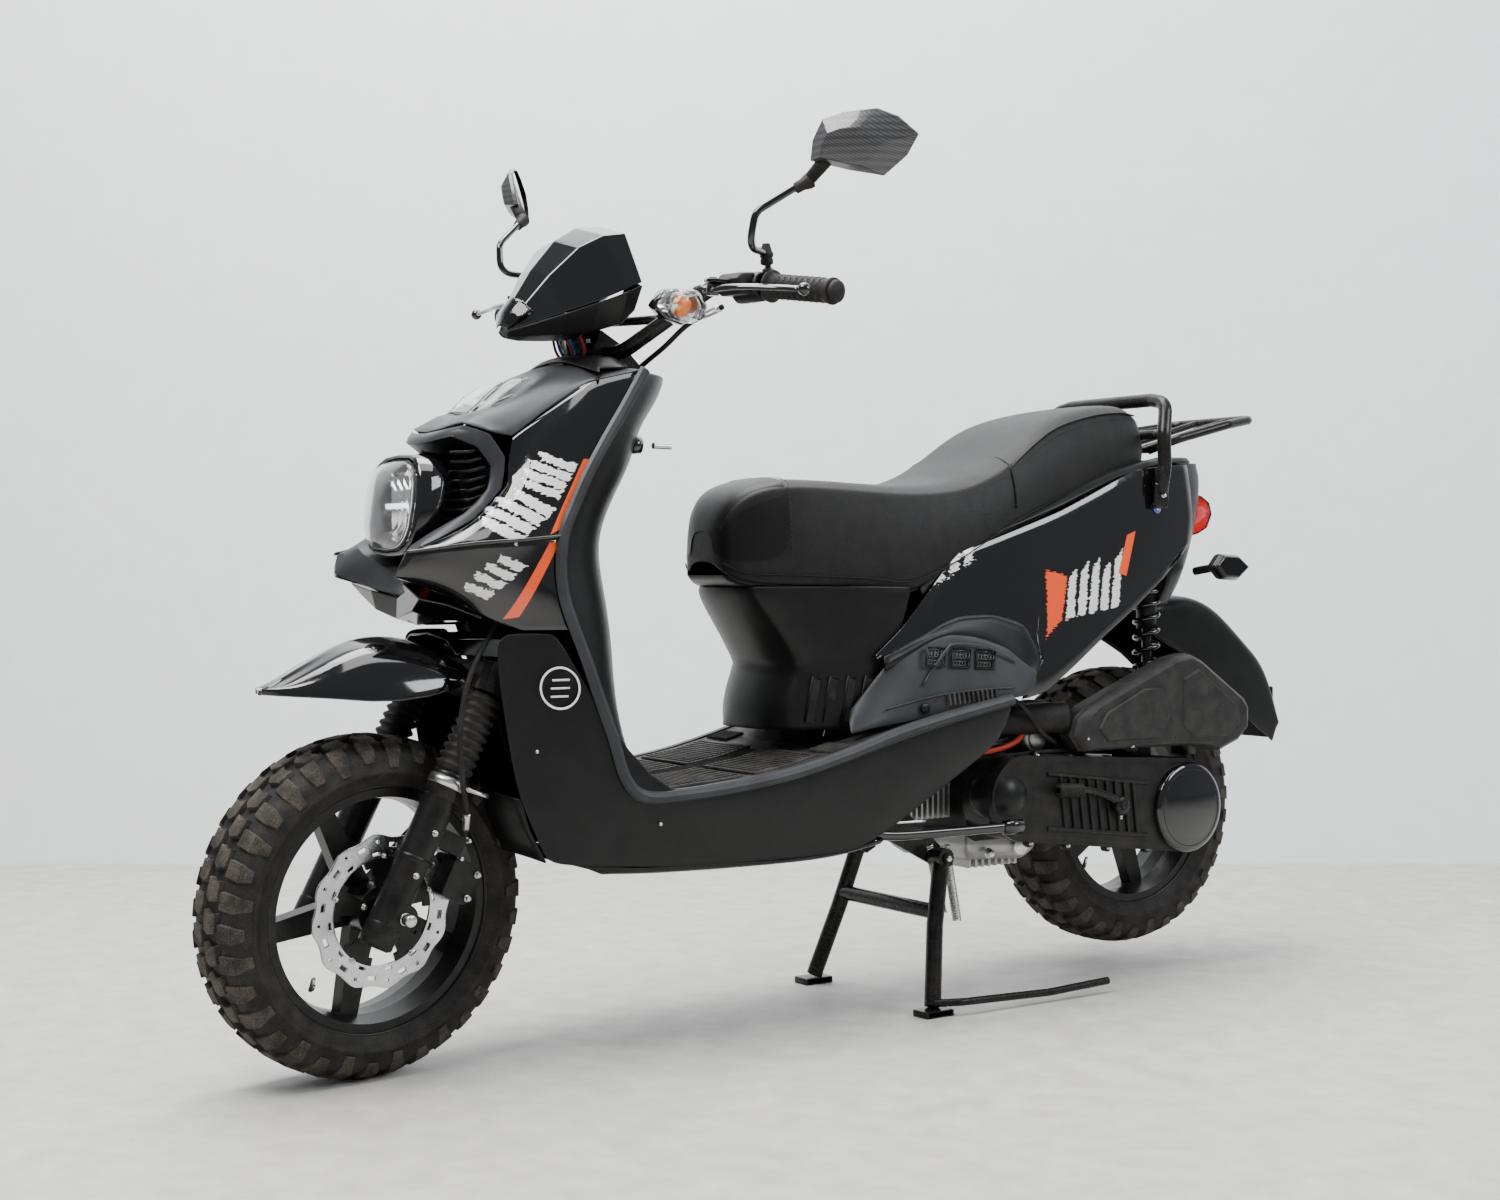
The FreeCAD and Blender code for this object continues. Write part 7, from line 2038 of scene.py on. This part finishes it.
class SCOOTER_OT_shock(bpy.types.Operator):
    """Build the coil spring round the damper"""
    bl_idname = "scooter.shock"
    bl_label = "Rear Shock"

    def execute(self, context):
        turns, top, foot = 9.2, 665, 464
        points = []
        for i in range(int(turns * 20) + 1):
            share = i / (turns * 20)
            squeeze = share - 0.03 * math.sin(math.tau * share)
            a = math.tau * turns * share
            points.append(at(92 + 20 * math.cos(a), 1385 + 20 * math.sin(a), foot + (top - foot) * squeeze))
        coil = tube(points, 4.2, 10)
        add_piece("shock_coil", "shock_damper", FINISHES["gloss"], "frame_paint", *coil, instead_of=["shock_spring"])
        sleeve = lathe([(0, 12), (0, 17), (40, 17), (44, 15), (44, 9)], at(92, 1385, 580), (0, 0, 1), 28)
        add_piece("shock_sleeve", "shock_damper", FINISHES["satin"], "satin_black", *sleeve)
        return {"FINISHED"}


# ---------------------------------------------------------------- stands

class SCOOTER_OT_stands(bpy.types.Operator):
    """Build the stands' springs, pads, bolts and wire loops"""
    bl_idname = "scooter.stands"
    bl_label = "Stands"

    def execute(self, context):
        springs = []
        for x, start, end in ((98, (938, 248), (962, 128)), (84, (916, 250), (944, 140))):
            a, b = at(x, *start), at(x, *end)
            axis = (b - a).normalized()
            side = axis.orthogonal().normalized()
            other = axis.cross(side)
            coil = [a.lerp(b, i / 220) + (side * math.cos(i * 0.9) + other * math.sin(i * 0.9)) * 0.0065
                    for i in range(221)]
            springs.append(tube(coil, 1.5, 6))
        add_piece("stand_springs", "chassis", FINISHES["zinc"], "bright_steel", *merge(*springs))
        feet = []
        for s in (1, -1):
            feet.append(capped([[at(s * 154 + dx, 868 + dy, z) for dx, dy in (
                (-17, -24), (-12, -27), (12, -27), (17, -24), (17, 24), (12, 27), (-12, 27), (-17, 24))]
                for z in (0.5, 10.4)]))
        pads = add_piece("stand_pads", "center_stand", FINISHES["tube"], "frame_paint", *merge(*feet))
        round_edges(pads, 1.6, 2)
        pivot = [hex_bolt(at(s * 119, 924, 231), (s, 0, 0), 9, 8) for s in (1, -1)]
        add_piece("stand_pivot_nuts", "chassis", FINISHES["zinc"], "bright_steel", *merge(*pivot))
        side_bolt = merge(hex_bolt(at(152, 738, 284), (1, 0, 0), 9, 8), disc_bar(at(128, 716, 306), (1, 0, 0), 7, 0, 14))
        add_piece("side_stand_bolt", "chassis", FINISHES["zinc"], "bright_steel", *side_bolt)
        loops = [tube(smooth_path([at(*p) for p in run], 6), 2.2, 8) for run in (
            ((140, 716, 306), (150, 740, 312), (152, 780, 300), (156, 850, 298)),
            ((142, 712, 300), (152, 726, 296), (150, 760, 290)))]
        add_piece("side_stand_wires", "side_stand", FINISHES["zinc"], "bright_steel", *merge(*loops))
        leg = tube(smooth_path([at(144, 746, 284), at(152, 800, 279), at(170, 900, 280), at(187, 1004, 282)], 8),
                   8.6, 18, flat=0.8)
        tip = tube([at(182, 984, 281), at(191, 1014, 282)], 13, 20, flat=0.8)
        hub = disc_bar(at(132, 738, 284), (1, 0, 0), 15, 0, 20, 2)
        add_piece("side_stand_leg", "side_stand", FINISHES["gloss"], "frame_paint", *merge(leg, tip, hub),
                  instead_of=["side_stand"])
        return {"FINISHED"}


# ---------------------------------------------------------------- studio

class SCOOTER_OT_stage(bpy.types.Operator):
    """Add the floor, the wall, the lights and the camera"""
    bl_idname = "scooter.stage"
    bl_label = "Stage"

    def execute(self, context):
        floor_finish = finish_of("pale_concrete", (0.5, 0.49, 0.47), 0.5, grain="cast", grain_mm=6, depth_mm=0.4,
                                 mottle=0.12, dust=0.3, dust_colour=(0.36, 0.35, 0.33), wear=0.12).material
        wall_finish = finish_of("pale_plaster", (0.86, 0.88, 0.9), 0.85, grain_mm=8, depth_mm=0.15,
                                mottle=0.02).material
        view_along = Vector((-math.sin(CAMERA_TURN), math.cos(CAMERA_TURN), 0))
        across = Vector((view_along.y, -view_along.x, 0))
        wall_foot = view_along * 1.55
        corners = [wall_foot - across * 9, wall_foot + across * 9]
        floor_parts = [corners[0] - view_along * 12, corners[1] - view_along * 12, corners[1], corners[0]]
        for name, points, finish in (
                ("studio_floor", floor_parts, floor_finish),
                ("studio_wall", [corners[0], corners[1], corners[1] + Vector((0, 0, 6)),
                                 corners[0] + Vector((0, 0, 6))], wall_finish)):
            mesh = bpy.data.meshes.new(name)
            mesh.from_pydata([tuple(p) for p in points], [], [(0, 1, 2, 3)])
            plane = bpy.data.objects.new(name, mesh)
            context.scene.collection.objects.link(plane)
            mesh.materials.append(finish)
            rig.stage(plane)
        self.add_lights(context, view_along, across)
        lens = bpy.data.cameras.new("main_camera")
        camera = bpy.data.objects.new("main_camera", lens)
        context.scene.collection.objects.link(camera)
        camera.location = CAMERA_PLACE
        camera.rotation_euler = (math.pi / 2, 0, CAMERA_TURN)
        lens.lens = CAMERA_LENS
        lens.shift_y = CAMERA_SHIFT
        context.scene.camera = camera
        return {"FINISHED"}

    def add_lights(self, context, ahead, across):
        spots = (("key_panel", across * -1.6 - ahead * 1.6, 3.4, 2.2, 170, (1.0, 0.99, 0.97)),
                 ("fill_panel", across * 3.0 - ahead * 1.2, 2.4, 2.0, 80, (0.95, 0.98, 1.0)),
                 ("top_panel", Vector((0, 0, 0)), 3.6, 3.4, 110, (1.0, 1.0, 1.0)),
                 ("wall_panel", ahead * 0.6 - across * 0.5, 4.2, 3.0, 190, (1.0, 1.0, 1.0)))
        for name, spot, height, wide, power, colour in spots:
            light = bpy.data.lights.new(name, "AREA")
            light.shape = "RECTANGLE"
            light.size, light.size_y = wide, wide * 0.6
            light.energy = power
            light.color = colour
            lamp = bpy.data.objects.new(name, light)
            context.scene.collection.objects.link(lamp)
            lamp.location = spot + Vector((0, 0, height))
            aim = Vector((0, 0, 0.5)) - lamp.location
            lamp.rotation_euler = aim.to_track_quat("-Z", "Y").to_euler()
        world = bpy.data.worlds.new("studio_air")
        context.scene.world = world
        world.use_nodes = True
        world.node_tree.nodes["Background"].inputs["Color"].default_value = (0.9, 0.94, 1.0, 1.0)
        world.node_tree.nodes["Background"].inputs["Strength"].default_value = 0.32


# ---------------------------------------------------------------- sidebar and run

class SCOOTER_PT_sidebar(bpy.types.Panel):
    bl_idname = "SCOOTER_PT_sidebar"
    bl_label = "Scooter"
    bl_space_type = "VIEW_3D"
    bl_region_type = "UI"
    bl_category = "Scooter"

    def draw(self, context):
        for name in ScooterSettings.__annotations__:
            self.layout.prop(context.scene.scooter, name)
        for operator in OPERATORS:
            self.layout.operator(operator.bl_idname)


CAMERA_PLACE = (2.5606, -1.8813, 0.6781)
CAMERA_TURN = math.radians(55.479)
CAMERA_LENS = 49.08
CAMERA_SHIFT = -0.0198

OPERATORS = tuple(value for name, value in list(globals().items()) if name.startswith("SCOOTER_OT_"))


def register():
    for item in (ScooterSettings, *OPERATORS, SCOOTER_PT_sidebar):
        bpy.utils.register_class(item)
    bpy.types.Scene.scooter = bpy.props.PointerProperty(type=ScooterSettings)


def unregister():
    del bpy.types.Scene.scooter
    for item in reversed((ScooterSettings, *OPERATORS, SCOOTER_PT_sidebar)):
        bpy.utils.unregister_class(item)


def main():
    register()
    make_finishes()
    for operator in OPERATORS:
        group, name = operator.bl_idname.split(".")
        getattr(getattr(bpy.ops, group), name)()
    size = {"frame": [list(corner) for corner in FRAME_BOX], "finished": [list(corner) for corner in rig.bounds()]}
    with open(SIZE_FILE, "w") as out:
        json.dump(size, out)


if __name__ == "__main__":
    main()
